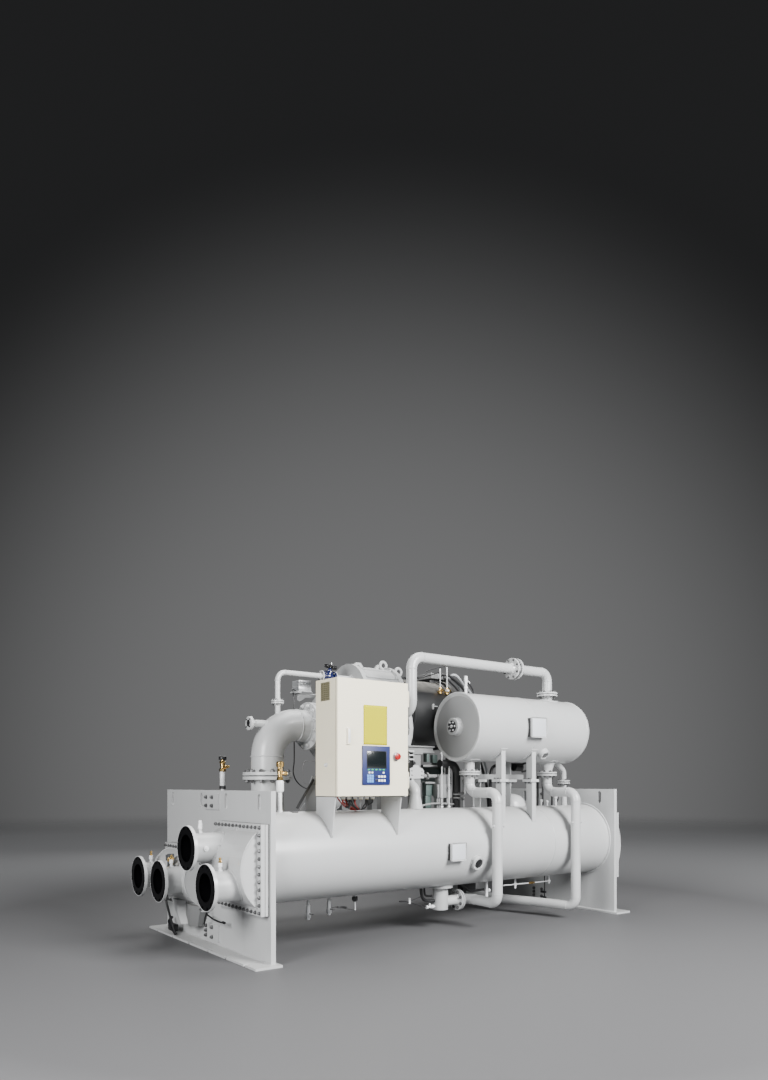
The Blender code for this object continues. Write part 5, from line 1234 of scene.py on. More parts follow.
button = bmesh.new()
lathe(button, [
    (0.012, 0.0), (0.012, 0.0225), (0.018, 0.0262), (0.026, 0.027), (0.032, 0.0235), (0.0345, 0.012), (0.035, 0.0),
], at(STOP[0], 0, STOP[1]), -Y, 40)
on_door("stop_button_head", button, red)
collar = bmesh.new()
lathe(collar, [
    (0.0002, 0.0), (0.0002, 0.033), (0.0045, 0.033), (0.006, 0.031), (0.006, 0.0232), (0.014, 0.0228), (0.014, 0.0),
], at(STOP[0], 0, STOP[1]), -Y, 40)
on_door("stop_button_collar", collar, steel_bare)

hx, hz = HANDLE
handle = bmesh.new()
slab(handle, (hx - 0.0165, -0.0045, hz - 0.0625), (hx + 0.0165, -0.0003, hz + 0.0625), 0.0018)
slab(handle, (hx - 0.0105, -0.0165, hz - 0.05), (hx + 0.0105, -0.004, hz + 0.055), 0.0045)
on_door("swing_handle", handle, valve_white)
lock = bmesh.new()
lathe(
    lock, [(0, 0), (0, 0.0085), (0.003, 0.0085), (0.004, 0.007), (0.004, 0)], at(hx, -0.0043, hz - 0.0545), -Y, 24,
)
slab(lock, (hx - 0.0012, -0.0092, hz - 0.06), (hx + 0.0012, -0.0082, hz - 0.049))
on_door("handle_lock", lock, steel_bare)

HINGE_X = cab_right + 0.011
for body, way in (("door", 1), ("chiller", -1)):
    pins = bmesh.new()
    for z in (CAB_LOW + 0.12, cab_top - 0.12):
        end = at(HINGE_X, DOOR_T / 2, z + way * 0.06)
        lathe(pins, [(0, 0), (0, 0.0094), (0.002, 0.0094), (0.005, 0.006), (0.005, 0)], end, Z * way, 24)
    piece("hinge_pins_" + body, pins, steel_bare, body)

# The cables: black and red sheathed leads that hang from the glands in loops on the vessel's crown
# and go up behind the cabinet. The two thick ones run on to the gear housing and to the motor.
red_sheath = finish_of("red_cable_sheath", (0.42, 0.03, 0.02), 0.45, cloud=0.08)
black_sheath = finish_of("black_cable_sheath", (0.014, 0.014, 0.015), 0.48, cloud=0.2, dust_and_sheen=0.15)
grey_sheath = finish_of("grey_cable_sheath", (0.36, 0.37, 0.38), 0.5)
CABLE_R = 0.009
GEAR_SIDE = DRIVE_Y - GEAR_R - 0.001


def smooth_line(points, steps=8):
    """A smooth curve through points, as a cable lies."""
    points = [Vector(p) for p in points]
    ends = [points[0] * 2 - points[1], *points, points[-1] * 2 - points[-2]]
    line = []
    for a, b, c, d in zip(ends, ends[1:], ends[2:], ends[3:]):
        for i in range(steps):
            t = i / steps
            line.append(
                0.5 * (2 * b + (c - a) * t + (2 * a - 5 * b + 4 * c - d) * t * t + (3 * b - a - 3 * c + d) * t**3)
            )
    return line + [points[-1]]


def cord(shape, radius, sides, *places):
    """A cable or hose that lies smoothly through places."""
    tube(shape, smooth_line([at(*place) for place in places]), radius, sides)


def level_cord(shape, radius, sides, y, *spots):
    """A cord whose places share one y."""
    cord(shape, radius, sides, *[(x, y, z) for x, z in spots])


def cable_route(start_x, loop, behind, head_z, end_x):
    """A thick cable's corners, from its gland down, under the cabinet, up its back and across."""
    low = CAB_LOW - GLAND_REACH
    return [
        at(start_x, GLAND_Y, low), at(start_x, GLAND_Y, low - loop),
        at(start_x + 0.12, CAB_DEPTH + behind, low - loop),
        at(start_x + 0.12, CAB_DEPTH + behind, head_z), at(end_x, CAB_DEPTH + 0.12, head_z),
        at(end_x, GEAR_SIDE, head_z),
    ]


for name, route in (
    ("motor_cable", cable_route(GLAND_XS[1], 0.065, 0.08, 1.74, 1.35)),
    ("sensor_cable", cable_route(GLAND_XS[4], 0.05, 0.045, 1.78, 1.44)),
):
    lead = bmesh.new()
    tube(lead, bent(route, 0.03, 8), CABLE_R, 16)
    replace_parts(piece(name + "_sheath", lead, black_sheath), name)
LEAD_KNOT = (0.984, 0.35, 1.0585)
for number, (name, sheath, slot) in enumerate((
    ("red_lead", red_sheath, "red_plastic"),
    ("black_lead_near", black_sheath, "black_rubber"),
    ("red_lead_far", red_sheath, "red_plastic"),
    ("grey_lead", grey_sheath, "black_rubber"),
    ("black_lead_middle", black_sheath, "black_rubber"),
    ("black_lead", black_sheath, "black_rubber"),
)):
    x, low = GLAND_XS[number], CAB_LOW - GLAND_REACH
    knot_x = LEAD_KNOT[0] + 0.012 * (number - 2.5)
    shift = 0.06 - 0.024 * number
    up_x = x + shift
    lead = bmesh.new()
    cord(
        lead, 0.0055, 12,
        (x, GLAND_Y, low), (x, GLAND_Y + 0.004, low - 0.024),
        (x + (knot_x - x) * 0.42, 0.25, LEAD_KNOT[2] + 0.038),
        (knot_x, LEAD_KNOT[1], LEAD_KNOT[2] + 0.001 * number),
        ((knot_x + x + shift) / 2, 0.368, 1.086), (up_x, CAB_DEPTH + 0.05, low + 0.03),
        (up_x, CAB_DEPTH + 0.014, low + 0.11), (up_x, CAB_DEPTH + 0.001, low + 0.15),
    )
    piece(name, lead, sheath)
clamps = bmesh.new()
for x, behind, heights in ((GLAND_XS[1] + 0.12, 0.08, (1.3, 1.6)), (GLAND_XS[4] + 0.12, 0.045, (1.36, 1.66))):
    deep = CAB_DEPTH + behind + 0.011
    for z in heights:
        slab(clamps, (x - 0.01, CAB_DEPTH + 0.0003, z - 0.008), (x + 0.01, deep, z + 0.008), 0.002)
piece("cable_clamps", clamps, moulding_dark)

# The economizer: a horizontal vessel of rolled plate with a flat head let into its front end and a
# dished head at the back, welded and sprayed light grey. A blind cover is bolted to the flat head.
ECO_R, ECO_Y, ECO_Z = 0.3, 0.35, 1.77
ECO_FRONT_X, ECO_L, ECO_HEAD = 2.02, 1.41, 0.15
NECK_FACE_Z, VENT_NECK_Z = 1.363, 2.13
LEFT_X, RIGHT_X = 2.18, 3.2
JOINT_R, VENT_JOINT_R, JOINT_T = 0.0925, 0.098, 0.018
# The flat head takes a darker copy of the vessel's grey: partly its own paint, partly painted shade from the motor
# and cabinet.
head_grey_and_painted_shade = finish_of(
    "flat_head_grey_with_painted_shade", [c * 0.62 for c in GREY], 0.34, cloud_size=2.5, grain=150.0, depth=0.0005, coat=0.1,
)
vessel = bmesh.new()
dish = [(ECO_L + ECO_HEAD * sin(a), ECO_R * cos(a)) for a in [pi / 2 * i / 18 for i in range(18)]]
rim = [
    (0.012, 0), (0.012, ECO_R - 0.027), (0.01, ECO_R - 0.021), (0.001, ECO_R - 0.006), (0.0, ECO_R - 0.001),
    (0.003, ECO_R + 0.005), (0.007, ECO_R + 0.006), (0.021, ECO_R + 0.006), (0.025, ECO_R + 0.005), (0.03, ECO_R),
]
lathe(vessel, rim + dish + [(ECO_L + ECO_HEAD, 0)], at(ECO_FRONT_X, ECO_Y, ECO_Z), X, 96)


def on_shell(x, reach, turn, lift, way):
    """A place round a neck on the economizer's shell, under it or on top."""
    dy = reach * sin(turn)
    return at(x + reach * cos(turn), ECO_Y + dy, ECO_Z + way * sqrt((ECO_R + lift) ** 2 - dy**2))


PAD_INNER, PAD_T = 0.02, 0.007
NECK_PADS = ((LEFT_X, 0.098, -1), (RIGHT_X, 0.108, -1), (RIGHT_X, 0.1, 1))
for x, outer, way in NECK_PADS:
    rings = []
    for reach, lift in (
        (PAD_INNER, -0.004), (outer, -0.004), (outer, PAD_T - 0.001), (outer - 0.001, PAD_T), (PAD_INNER, PAD_T),
    ):
        rings.append(corners(vessel, [on_shell(x, reach, turn, lift, way) for turn in turns_of(48)]))
    skin(vessel, rings, loop=True)
low = ECO_Z - ECO_R
lathe(
    vessel, [(0, LINE_R), (low + 0.02 - NECK_FACE_Z - 0.01, LINE_R)], at(LEFT_X, ECO_Y, NECK_FACE_Z + 0.01), Z, 40,
)
weld_neck(vessel, at(LEFT_X, ECO_Y, NECK_FACE_Z + 0.0003), -Z, JOINT_T, JOINT_R, LINE_R)
lathe(vessel, [
    (0.01, LINE_R), (0.03, LINE_R + 0.002), (low - 0.006 - NECK_FACE_Z, 0.072), (low + 0.02 - NECK_FACE_Z, 0.074),
], at(RIGHT_X, ECO_Y, NECK_FACE_Z), Z, 40)
weld_neck(vessel, at(RIGHT_X, ECO_Y, NECK_FACE_Z + 0.0003), -Z, JOINT_T, JOINT_R, LINE_R)
lathe(vessel, [
    (0.0, LINE_R), (VENT_NECK_Z - 0.01 - ECO_Z - ECO_R + 0.02, LINE_R),
], at(RIGHT_X, ECO_Y, ECO_Z + ECO_R - 0.02), Z, 40)
weld_neck(vessel, at(RIGHT_X, ECO_Y, VENT_NECK_Z - 0.0003), Z, JOINT_T, VENT_JOINT_R, LINE_R)
gauge_out = Vector((0, -0.7, -0.714)).normalized()
gauge_at = at(2.905, ECO_Y, ECO_Z) + gauge_out * ECO_R
lathe(vessel, [(-0.02, 0.05), (0.026, 0.05), (0.028, 0.048), (0.028, 0)], gauge_at, gauge_out, 40)
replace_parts(piece("economizer_shell", vessel, shell_grey), "economizer_vessel")
sight_glass("economizer_sight_glass", gauge_at + gauge_out * 0.0282, gauge_out, 0.049, 6)
rating_plate("economizer_rating_plate", (2.616, 1.682), (2.812, 1.863), 0.01, 0.066)

head = bmesh.new()
lathe(head, [(0.0105, 0), (0.0105, ECO_R - 0.029), (0.0128, ECO_R - 0.029)], at(ECO_FRONT_X, ECO_Y, ECO_Z), X, 96)
piece("economizer_flat_head", head, head_grey_and_painted_shade)
boss = bmesh.new()
lathe(
    boss, [(0, 0.044), (0, 0.073), (0.002, 0.075), (0.056, 0.075), (0.056, 0.044)],
    at(ECO_FRONT_X - 0.045, ECO_Y, ECO_Z), X, 48, loop=True,
)
cover = bmesh.new()
boss_face = at(ECO_FRONT_X - 0.045, ECO_Y, ECO_Z)
lathe(cover, [(-0.0065, 0), (-0.0065, 0.05), (-0.005, 0.052), (-0.0004, 0.052), (-0.0004, 0)], boss_face, X, 40)
for turn in turns_of(6):
    bolt(boss, boss_face - X * 0.0065 + spoke(turn) * 0.039, -X, 0.008, turn)
prism(boss, boss_face - X * 0.0065, -X, 0.026, 0.012)
piece("economizer_head_boss", boss, weld_grey)
piece("economizer_blind_cover", cover, black_enamel)

seams = bmesh.new()
ring_weld(seams, at(ECO_FRONT_X + 0.0105, ECO_Y, ECO_Z), X, 0.0765, 0.005, 8)
for x in (ECO_FRONT_X + ECO_L, ECO_FRONT_X + 0.72):
    ring_weld(seams, at(x, ECO_Y, ECO_Z), X, ECO_R, 0.003, 6)
for x, outer, way in NECK_PADS:
    bead(seams, [on_shell(x, outer, turn, 0.002, way) for turn in turns_of(70)], 0.0045, 6, loop=True)
for x, radius in ((LEFT_X, LINE_R), (RIGHT_X, 0.073)):
    ring_weld(seams, at(x, ECO_Y, low - 0.007), Z, radius + 0.001, 0.0045, 6)
ring_weld(seams, at(RIGHT_X, ECO_Y, ECO_Z + ECO_R + 0.008), Z, LINE_R + 0.001, 0.0045, 6)
ring_weld(seams, gauge_at + gauge_out * 0.001, gauge_out, 0.052, 0.0045, 6)

# The economizer's legs: tee sections in two lengths, each welded to a rolled pad, that bolt together
# at plates halfway down. A steel angle ties the back pair.
LEG_XS = (2.382, 2.773)
LEG_YS = ((0.127, 1), (0.5, -1))
CLAMP_Z, CLAMP_T = 1.297, 0.012
coat_nodes(
    plate_grey, "economizer_leg_front_left", "economizer_leg_front_right", "economizer_leg_rear_left",
    "economizer_leg_rear_right",
)
coat_nodes(base_grey, "economizer_tie_bar")
pads = bmesh.new()
leg_bolts = bmesh.new()
for x in LEG_XS:
    for first, last in ((-51, -24), (11, 35)):
        rings = []
        for a in [radians(first + (last - first) * i / 10) for i in range(11)]:
            edge = ((-0.04, ECO_R), (0.04, ECO_R), (0.04, ECO_R + 0.006), (-0.04, ECO_R + 0.006))
            ring = [at(x + dx, ECO_Y + reach * sin(a), ECO_Z - reach * cos(a)) for dx, reach in edge]
            rings.append(corners(pads, ring))
        skin(pads, rings, capped=True)
    for y, way in LEG_YS:
        for dx in (-0.036, 0.036):
            for dy in (0.03, 0.072):
                spot = at(x + dx, y + way * dy, CLAMP_Z)
                bolt(leg_bolts, spot + Z * CLAMP_T, Z, 0.012, dx)
                bolt(leg_bolts, spot - Z * CLAMP_T, -Z, 0.012, dy)
piece("economizer_leg_pads", pads, plate_grey)
piece("economizer_leg_bolts", leg_bolts, dark_stud_and_shade)
for x in LEG_XS:
    for z in (CLAMP_Z - CLAMP_T, CLAMP_Z + CLAMP_T):
        line_weld(seams, at(x - 0.024, 0.1265, z), at(x + 0.024, 0.1265, z), 0.0035, 6)
        line_weld(seams, at(x - 0.0055, 0.131, z), at(x - 0.0055, 0.214, z), 0.0035, 6)
piece("economizer_welds", seams, weld_grey)

# The liquid lines: drawn pipe with butt-welded elbows, one from each of the economizer's lower necks.
# The left one runs down to the near vessel's sump, and the right one passes under to the far vessel.
LINE_TOP = 1.3627
LINE_BEND = 0.085
LINE_LEFT = (
    (LEFT_X, ECO_Y, LINE_TOP), (LEFT_X, ECO_Y, 1.19), (LEFT_X, 0.0, 1.19), (LEFT_X, 0.0, 0.24), (2.21, 0.4, 0.24),
    (2.0783, 0.4, 0.24),
)
LINE_RIGHT = (
    (RIGHT_X, ECO_Y, LINE_TOP), (RIGHT_X, ECO_Y, 1.19), (RIGHT_X, 0.0, 1.19), (RIGHT_X, 0.0, 0.127),
    (2.96, 0.9, 0.127), (2.96, 1.2137, 0.127),
)


def elbow_welds(shape, points, bend, pipe_r, size=0.0032):
    """A weld at each end of each elbow of a line."""
    for before, corner, after in zip(points, points[1:], points[2:]):
        back, on = (before - corner).normalized(), (after - corner).normalized()
        reach = bend / tan(back.angle(on) / 2)
        for way, run in ((back, before), (on, after)):
            if (run - corner).length > reach + 0.012:
                ring_weld(shape, corner + way * reach, way, pipe_r, size, 6, 0.008)


def flanged_line(name, node, route, bend, pipe_r, ends):
    """A pipe with its flanges and its welds. Each end says its flange's thickness and radius."""
    points = [at(*spot) for spot in route]
    line = bmesh.new()
    inner = list(points)
    for index, step in ((0, 1), (-1, -2)):
        inner[index] = points[index].lerp(points[step], 0.012 / (points[step] - points[index]).length)
    tube(line, bent(inner, bend, 14), pipe_r, 40)
    for (thick, outer), face, inward in zip(ends, (points[0], points[-1]), (points[1], points[-2])):
        if outer:
            weld_neck(line, face, (face - inward).normalized(), thick, outer, pipe_r)
    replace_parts(piece(name, line, pipe_grey), node)
    elbow_welds(line_welds, inner, bend, pipe_r)


line_welds = bmesh.new()
flanged_line(
    "left_liquid_pipe", "liquid_line_left", LINE_LEFT, LINE_BEND, LINE_R, ((JOINT_T, JOINT_R), (JOINT_T, JOINT_R)),
)
flanged_line(
    "right_liquid_pipe", "liquid_line_right", LINE_RIGHT, LINE_BEND, LINE_R,
    ((JOINT_T, JOINT_R), (JOINT_T, JOINT_R)),
)
for x in (LEFT_X, RIGHT_X):
    flange_bolts(joint_studs, at(x, ECO_Y, NECK_FACE_Z), Z, LINE_BOLTS_R, 8, 0.013, JOINT_T + 0.0005)
plugs = bmesh.new()
for x, z in ((LEFT_X, 0.904), (RIGHT_X, 0.909)):
    for way in (1, -1):
        side = at(x, 0.0, z) + X * way * (LINE_R - 0.003)
        lathe(plugs, [(0, 0.013), (0.012, 0.012), (0.012, 0.0)], side, X * way)
        prism(plugs, side + X * way * 0.012, X * way, 0.017 if way > 0 else 0.012, 0.009)
    lathe(plugs, [(0.012, 0.01), (0.026, 0.013), (0.03, 0.013), (0.033, 0.0)], at(x, 0.0, z) + X * LINE_R, X)
piece("liquid_line_plugs", plugs, bolt_grey)

# The vent line: the same pipe from the economizer's top over to the gear housing, with a wafer check
# valve clamped between two flanges by long studs.
VENT_Z, VENT_X, VENT_TURN_Z, VENT_PORT_Y = 2.34, 1.52, 1.865, 0.57
CHECK_X, CHECK_HALF, CHECK_R, CHECK_CIRCLE = 2.74, 0.014, 0.077, 0.0845
flanged_line("vent_pipe_rear", "vent_pipe_back", (
    (RIGHT_X, ECO_Y, VENT_NECK_Z + 0.0003), (RIGHT_X, ECO_Y, VENT_Z),
    (CHECK_X + CHECK_HALF + 0.0003, ECO_Y, VENT_Z),
), 0.085, LINE_R, ((JOINT_T, VENT_JOINT_R), (0.02, VENT_JOINT_R)))
flanged_line("vent_pipe_main", "vent_pipe_front", (
    (CHECK_X - CHECK_HALF - 0.0003, ECO_Y, VENT_Z), (VENT_X, ECO_Y, VENT_Z), (VENT_X, ECO_Y, VENT_TURN_Z),
    (VENT_X, VENT_PORT_Y - 0.0003, VENT_TURN_Z),
), 0.105, LINE_R, ((0.02, VENT_JOINT_R), (JOINT_T, JOINT_R)))
wafer = bmesh.new()
lathe(wafer, [
    (-CHECK_HALF, 0), (-CHECK_HALF, CHECK_R - 0.002), (-CHECK_HALF + 0.002, CHECK_R), (CHECK_HALF - 0.002, CHECK_R),
    (CHECK_HALF, CHECK_R - 0.002), (CHECK_HALF, 0),
], at(CHECK_X, ECO_Y, VENT_Z), X, 48)
lathe(wafer, [(0, 0.007), (0.01, 0.007), (0.012, 0.0)], at(CHECK_X, ECO_Y, VENT_Z + CHECK_R - 0.002), Z, 16)
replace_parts(piece("check_valve_wafer", wafer, cast_grey_painted_shade), "vent_check_valve")
long_studs = bmesh.new()
for turn in turns_of(8, 0.5):
    arm = spoke(turn) * CHECK_CIRCLE
    lathe(
        long_studs, [(-CHECK_HALF - 0.021, 0.0055), (CHECK_HALF + 0.021, 0.0055)], at(CHECK_X, ECO_Y, VENT_Z) + arm,
        X, 12,
    )
piece("check_valve_studs", long_studs, dark_stud_and_shade)
flange_bolts(joint_studs, at(CHECK_X, ECO_Y, VENT_Z), X, CHECK_CIRCLE, 8, 0.011, CHECK_HALF + 0.0205)
flange_bolts(joint_studs, at(RIGHT_X, ECO_Y, VENT_NECK_Z), Z, 0.0765, 8, 0.013, JOINT_T + 0.0005)
flange_bolts(joint_studs, at(VENT_X, VENT_PORT_Y, VENT_TURN_Z), Y, LINE_BOLTS_R, 8, 0.013, JOINT_T + 0.0005)

# The relief valves: machined brass on a painted steel nipple through the crown of each vessel. The
# far one has a grey body, a black nut below it and a black cap.
RELIEF_X = 0.292
reliefs = {"evaporator": (EVAP, 1.2), "condenser": (COND, 1.224)}
for name, ((y, axis_z, radius), seat) in reliefs.items():
    low = axis_z + radius - seat - 0.01
    foot = at(RELIEF_X, y, seat)
    near = name == "evaporator"
    pale, dark, yellow_metal = bmesh.new(), bmesh.new(), bmesh.new()
    lathe(pale, [(low, 0.021), (low + 0.022, 0.02), (low + 0.024, 0.0148), (0.004, 0.0148)], foot, Z, 28)
    if near:
        lathe(pale, [
            (0.0, 0.015), (0.004, 0.022), (0.016, 0.029), (0.084, 0.029), (0.092, 0.025), (0.094, 0.015),
        ], foot, Z, 28)
        brass_z, cap_z, cap_h, cap_r = 0.092, 0.195, 0.04, 0.0285
    else:
        prism(dark, foot - Z * 0.001, Z, 0.046, 0.026)
        lathe(pale, [
            (0.024, 0.014), (0.026, 0.019), (0.034, 0.0228), (0.138, 0.0228), (0.148, 0.019), (0.152, 0.012),
        ], foot, Z, 28)
        brass_z, cap_z, cap_h, cap_r = 0.15, 0.248, 0.033, 0.033
    tall = cap_z - brass_z
    prism(yellow_metal, foot + Z * brass_z, Z, 0.04 if near else 0.05, tall * 0.26)
    lathe(yellow_metal, [
        (tall * 0.2, 0.0175), (tall * 0.42, 0.0175), (tall * 0.45, 0.0215), (tall * 0.66, 0.0215),
        (tall * 0.69, 0.018), (tall * 1.03, 0.018),
    ], foot + Z * brass_z, Z, 28)
    prism(yellow_metal, foot + Z * (brass_z + tall * 0.7), Z, 0.038 if near else 0.048, tall * 0.2, lean=0.4)
    outlet = foot + Z * (cap_z + cap_h - 0.09)
    lathe(yellow_metal, [(0.01, 0.0125), (0.034, 0.0125), (0.034, 0.0)], outlet, X, 24)
    prism(yellow_metal, outlet + X * 0.032, X, 0.027, 0.022)
    lathe(yellow_metal, [(0.05, 0.0105), (0.06, 0.0105), (0.06, 0.007), (0.05, 0.007)], outlet, X, loop=True)
    cap = yellow_metal if near else dark
    lathe(cap, [
        (0, cap_r - 0.001), (0.004, cap_r), (cap_h - 0.008, cap_r), (cap_h - 0.002, cap_r - 0.004),
        (cap_h, cap_r - 0.01), (cap_h, 0),
    ], foot + Z * cap_z, Z, 12 if near else 28)
    shown = [
        piece(name + "_relief_body", pale, valve_white),
        piece(name + "_relief_brass", yellow_metal, brass),
    ]
    if not near:
        shown.append(piece(name + "_relief_nut_and_cap", dark, black_enamel))
    else:
        dark.free()
    for made in shown:
        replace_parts(made, name + "_relief_valve")

# The hot gas bypass: slim pipe from the suction elbow over the cabinet to a blue globe valve, and on
# to the volute. Its handwheel is black and turns on the valve's leaning stem.
VALVE_X, VALVE_HALF, TAIL_X = 1.04, 0.06, 1.28
SMALL_FLANGE_R, SMALL_FLANGE_T = 0.048, 0.012
flanged_line("bypass_line", "bypass_pipe", (
    (BYPASS_X, DRIVE_Y, BYPASS_JOINT_Z + 0.0003), (BYPASS_X, DRIVE_Y, BYPASS_Z),
    (VALVE_X - VALVE_HALF - 0.0003, DRIVE_Y, BYPASS_Z),
), 0.07, BYPASS_R, ((0.014, 0.052), (SMALL_FLANGE_T, SMALL_FLANGE_R)))
tail = bmesh.new()
lathe(tail, [
    (0.01, BYPASS_R), (TAIL_X - VALVE_X - VALVE_HALF - 0.0005, BYPASS_R),
], at(VALVE_X + VALVE_HALF, DRIVE_Y, BYPASS_Z), X, 32)
weld_neck(tail, at(VALVE_X + VALVE_HALF + 0.0003, DRIVE_Y, BYPASS_Z), -X, SMALL_FLANGE_T, SMALL_FLANGE_R, BYPASS_R)
lathe(tail, [
    (0, 0), (0, 0.037), (0.002, 0.039), (0.0115, 0.039), (0.0115, 0),
], at(TAIL_X - 0.012, DRIVE_Y, BYPASS_Z), X, 32)
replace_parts(piece("bypass_tail_pipe", tail, pipe_grey), "bypass_tail")
flange_bolts(joint_studs, at(BYPASS_X, DRIVE_Y, BYPASS_JOINT_Z), Z, 0.0395, 4, 0.01, 0.0145)
for x in (VALVE_X - VALVE_HALF, VALVE_X + VALVE_HALF):
    flange_bolts(joint_studs, at(x, DRIVE_Y, BYPASS_Z), X, 0.0365, 4, 0.009, SMALL_FLANGE_T + 0.0005)

LEAN = Vector((0.28, 0, 0.96)).normalized()
valve_blue = finish_of(
    "blue_valve_enamel", (0.0015, 0.005, 0.05), 0.26, cloud=0.08, grain=260.0, depth=0.0004, coat=0.5,
)
middle = at(VALVE_X, DRIVE_Y, BYPASS_Z)
globe = bmesh.new()
lathe(globe, [
    (-0.06, 0.0), (-0.06, 0.046), (-0.058, 0.048), (-0.05, 0.048), (-0.048, 0.046), (-0.047, 0.026),
    (-0.038, 0.026), (-0.022, 0.036), (0.0, 0.04), (0.022, 0.036), (0.038, 0.026), (0.047, 0.026), (0.048, 0.046),
    (0.05, 0.048), (0.058, 0.048), (0.06, 0.046), (0.06, 0.0),
], middle, X, 40)
lathe(globe, [
    (0.0, 0.036), (0.03, 0.034), (0.034, 0.038), (0.042, 0.038), (0.044, 0.034), (0.05, 0.02), (0.072, 0.016),
    (0.075, 0.012), (0.075, 0),
], middle, LEAN, 36)
side, up = across(LEAN)
for turn in turns_of(4, 0.5):
    bolt(globe, middle + LEAN * 0.042 + ray(side, up, turn) * 0.029, LEAN, 0.006, turn)
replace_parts(piece("globe_valve_body", globe, valve_blue), "purge_valve")
stem = bmesh.new()
lathe(stem, [
    (0.07, 0.0068), (0.078, 0.0068), (0.079, 0.0068), (0.128, 0.0068), (0.13, 0.0055), (0.13, 0),
], middle, LEAN)
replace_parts(piece("globe_valve_stem", stem, steel_bare), "purge_valve")
wheel_middle = middle + LEAN * 0.092
wheel = bmesh.new()
rings = []
for turn in turns_of(48):
    arm = ray(side, up, turn)
    swell = 0.0075 - 0.0014 * cos(6 * turn)
    rings.append(corners(wheel, circle(wheel_middle + arm * 0.052, arm, LEAN, swell, 12)))
skin(wheel, rings, loop=True)
lathe(wheel, [
    (-0.01, 0.0076), (-0.011, 0.013), (-0.009, 0.015), (0.009, 0.015), (0.011, 0.013), (0.01, 0.0076),
], wheel_middle, LEAN, 28, loop=True)
for turn in turns_of(6):
    arm = ray(side, up, turn)
    tube(wheel, [
        wheel_middle + arm * 0.01, wheel_middle + arm * 0.03 - LEAN * 0.002, wheel_middle + arm * 0.05,
    ], 0.0045, 12)
moulded_black = finish_of("black_handwheel", (0.01, 0.01, 0.011), 0.34, cloud=0.1, grain=260.0, depth=0.0004)
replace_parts(piece("handwheel_rim", wheel, moulded_black, "handwheel"), "valve_handwheel")
wheel_nut = bmesh.new()
lathe(
    wheel_nut, [(0, 0.0078), (0, 0.013), (0.0016, 0.013), (0.0016, 0.0078)], wheel_middle + LEAN * 0.0112, LEAN,
    loop=True,
)
piece("handwheel_washer", wheel_nut, steel_bare, "handwheel")

# The balance line and the discharge line: pipe between the two vessels, and from the volute down
# into the far one. Both are flanged, bolted and sprayed with the rest.
BALANCE_X, BALANCE_R, BALANCE_Z = 1.6, 0.043, 1.25
neck = bmesh.new()
lathe(neck, [
    (0.25, 0.063), (0.36, 0.062), (0.445, 0.0445), (0.46, BALANCE_R),
], at(BALANCE_X, EVAP[0], EVAP[1]), Z, 40)
face = at(BALANCE_X, EVAP[0] + 0.11, BALANCE_Z)
tube(neck, bent(
    [at(BALANCE_X, EVAP[0], 1.165), at(BALANCE_X, EVAP[0], BALANCE_Z), face - Y * 0.012], 0.06,
), BALANCE_R, 36)
weld_neck(neck, face, Y, 0.016, 0.08, BALANCE_R)
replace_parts(piece("balance_neck_pipe", neck, pipe_grey), "balance_neck")
flanged_line("balance_line", "balance_pipe", (
    (BALANCE_X, EVAP[0] + 0.1103, BALANCE_Z), (BALANCE_X, COND[0], BALANCE_Z), (BALANCE_X, COND[0], COND[1] + 0.25),
), 0.1, BALANCE_R, ((0.016, 0.08), (0, 0)))
flange_bolts(joint_studs, face, Y, 0.063, 8, 0.011, 0.0165)
ring_weld(line_welds, at(BALANCE_X, EVAP[0], EVAP[1] + EVAP[2] + 0.002), Z, 0.064, 0.005, 6)
ring_weld(line_welds, at(BALANCE_X, COND[0], COND[1] + COND[2] + 0.002), Z, BALANCE_R + 0.002, 0.005, 6)
flanged_line(
    "discharge_line", "discharge_pipe",
    ((1.15, 0.97, 1.3297), (1.15, 0.97, 1.17), (1.15, 1.404, 0.98), (1.15, 1.404, 0.8)), 0.115, 0.1082,
    ((0.024, 0.165), (0, 0)),
)
flange_bolts(joint_studs, at(1.15, 0.97, 1.33), Z, 0.1415, 12, 0.016, 0.0245)
piece("line_welds", line_welds, weld_grey)

# The small fittings round the motor: brass charging valves with pale capillaries, a black lead over the
# crown, and hoses from the terminal box that go down behind the economizer.
capillary = finish_of("pale_capillary", (0.72, 0.73, 0.74), 0.34, coat=0.2)
fine_black = finish_of("fine_black_lead", (0.008, 0.008, 0.009), 0.42, cloud=0.1, cloud_size=40.0, grain=500.0)
charging, risers, leads, hoses = bmesh.new(), bmesh.new(), bmesh.new(), bmesh.new()
for x, top in ((2.139, 2.331), (2.222, 2.352)):
    shell_y = MOTOR[0] - sqrt(MOTOR[2] ** 2 - (2.135 - MOTOR[1]) ** 2)
    foot = at(x, 0.7, 2.1)
    rod(charging, 0.01, 16, (x, shell_y + 0.004, 2.12), (x, 0.69, 2.12))
    prism(charging, foot, Z, 0.03, 0.02)
    lathe(charging, [
        (0.018, 0.0), (0.018, 0.012), (0.026, 0.016), (0.04, 0.016), (0.046, 0.01), (0.062, 0.009), (0.062, 0.0),
    ], foot, Z, 24)
    prism(charging, foot + Z * 0.044, Z, 0.024, 0.01)
    lathe(charging, [
        (0.0, 0.007), (0.03, 0.007), (0.031, 0.011), (0.04, 0.011), (0.041, 0.0),
    ], foot + Z * 0.03, -Y, 18)
    cord(risers, 0.0058, 12, (x, 0.7, 2.16), (x, 0.7, 2.25), (x - 0.002, 0.702, top))
rod(risers, 0.01, 16, (2.184, 0.64, 2.128), (2.184, 0.67, 2.128))
piece("charging_valves", charging, brass)
piece("capillary_risers", risers, capillary)
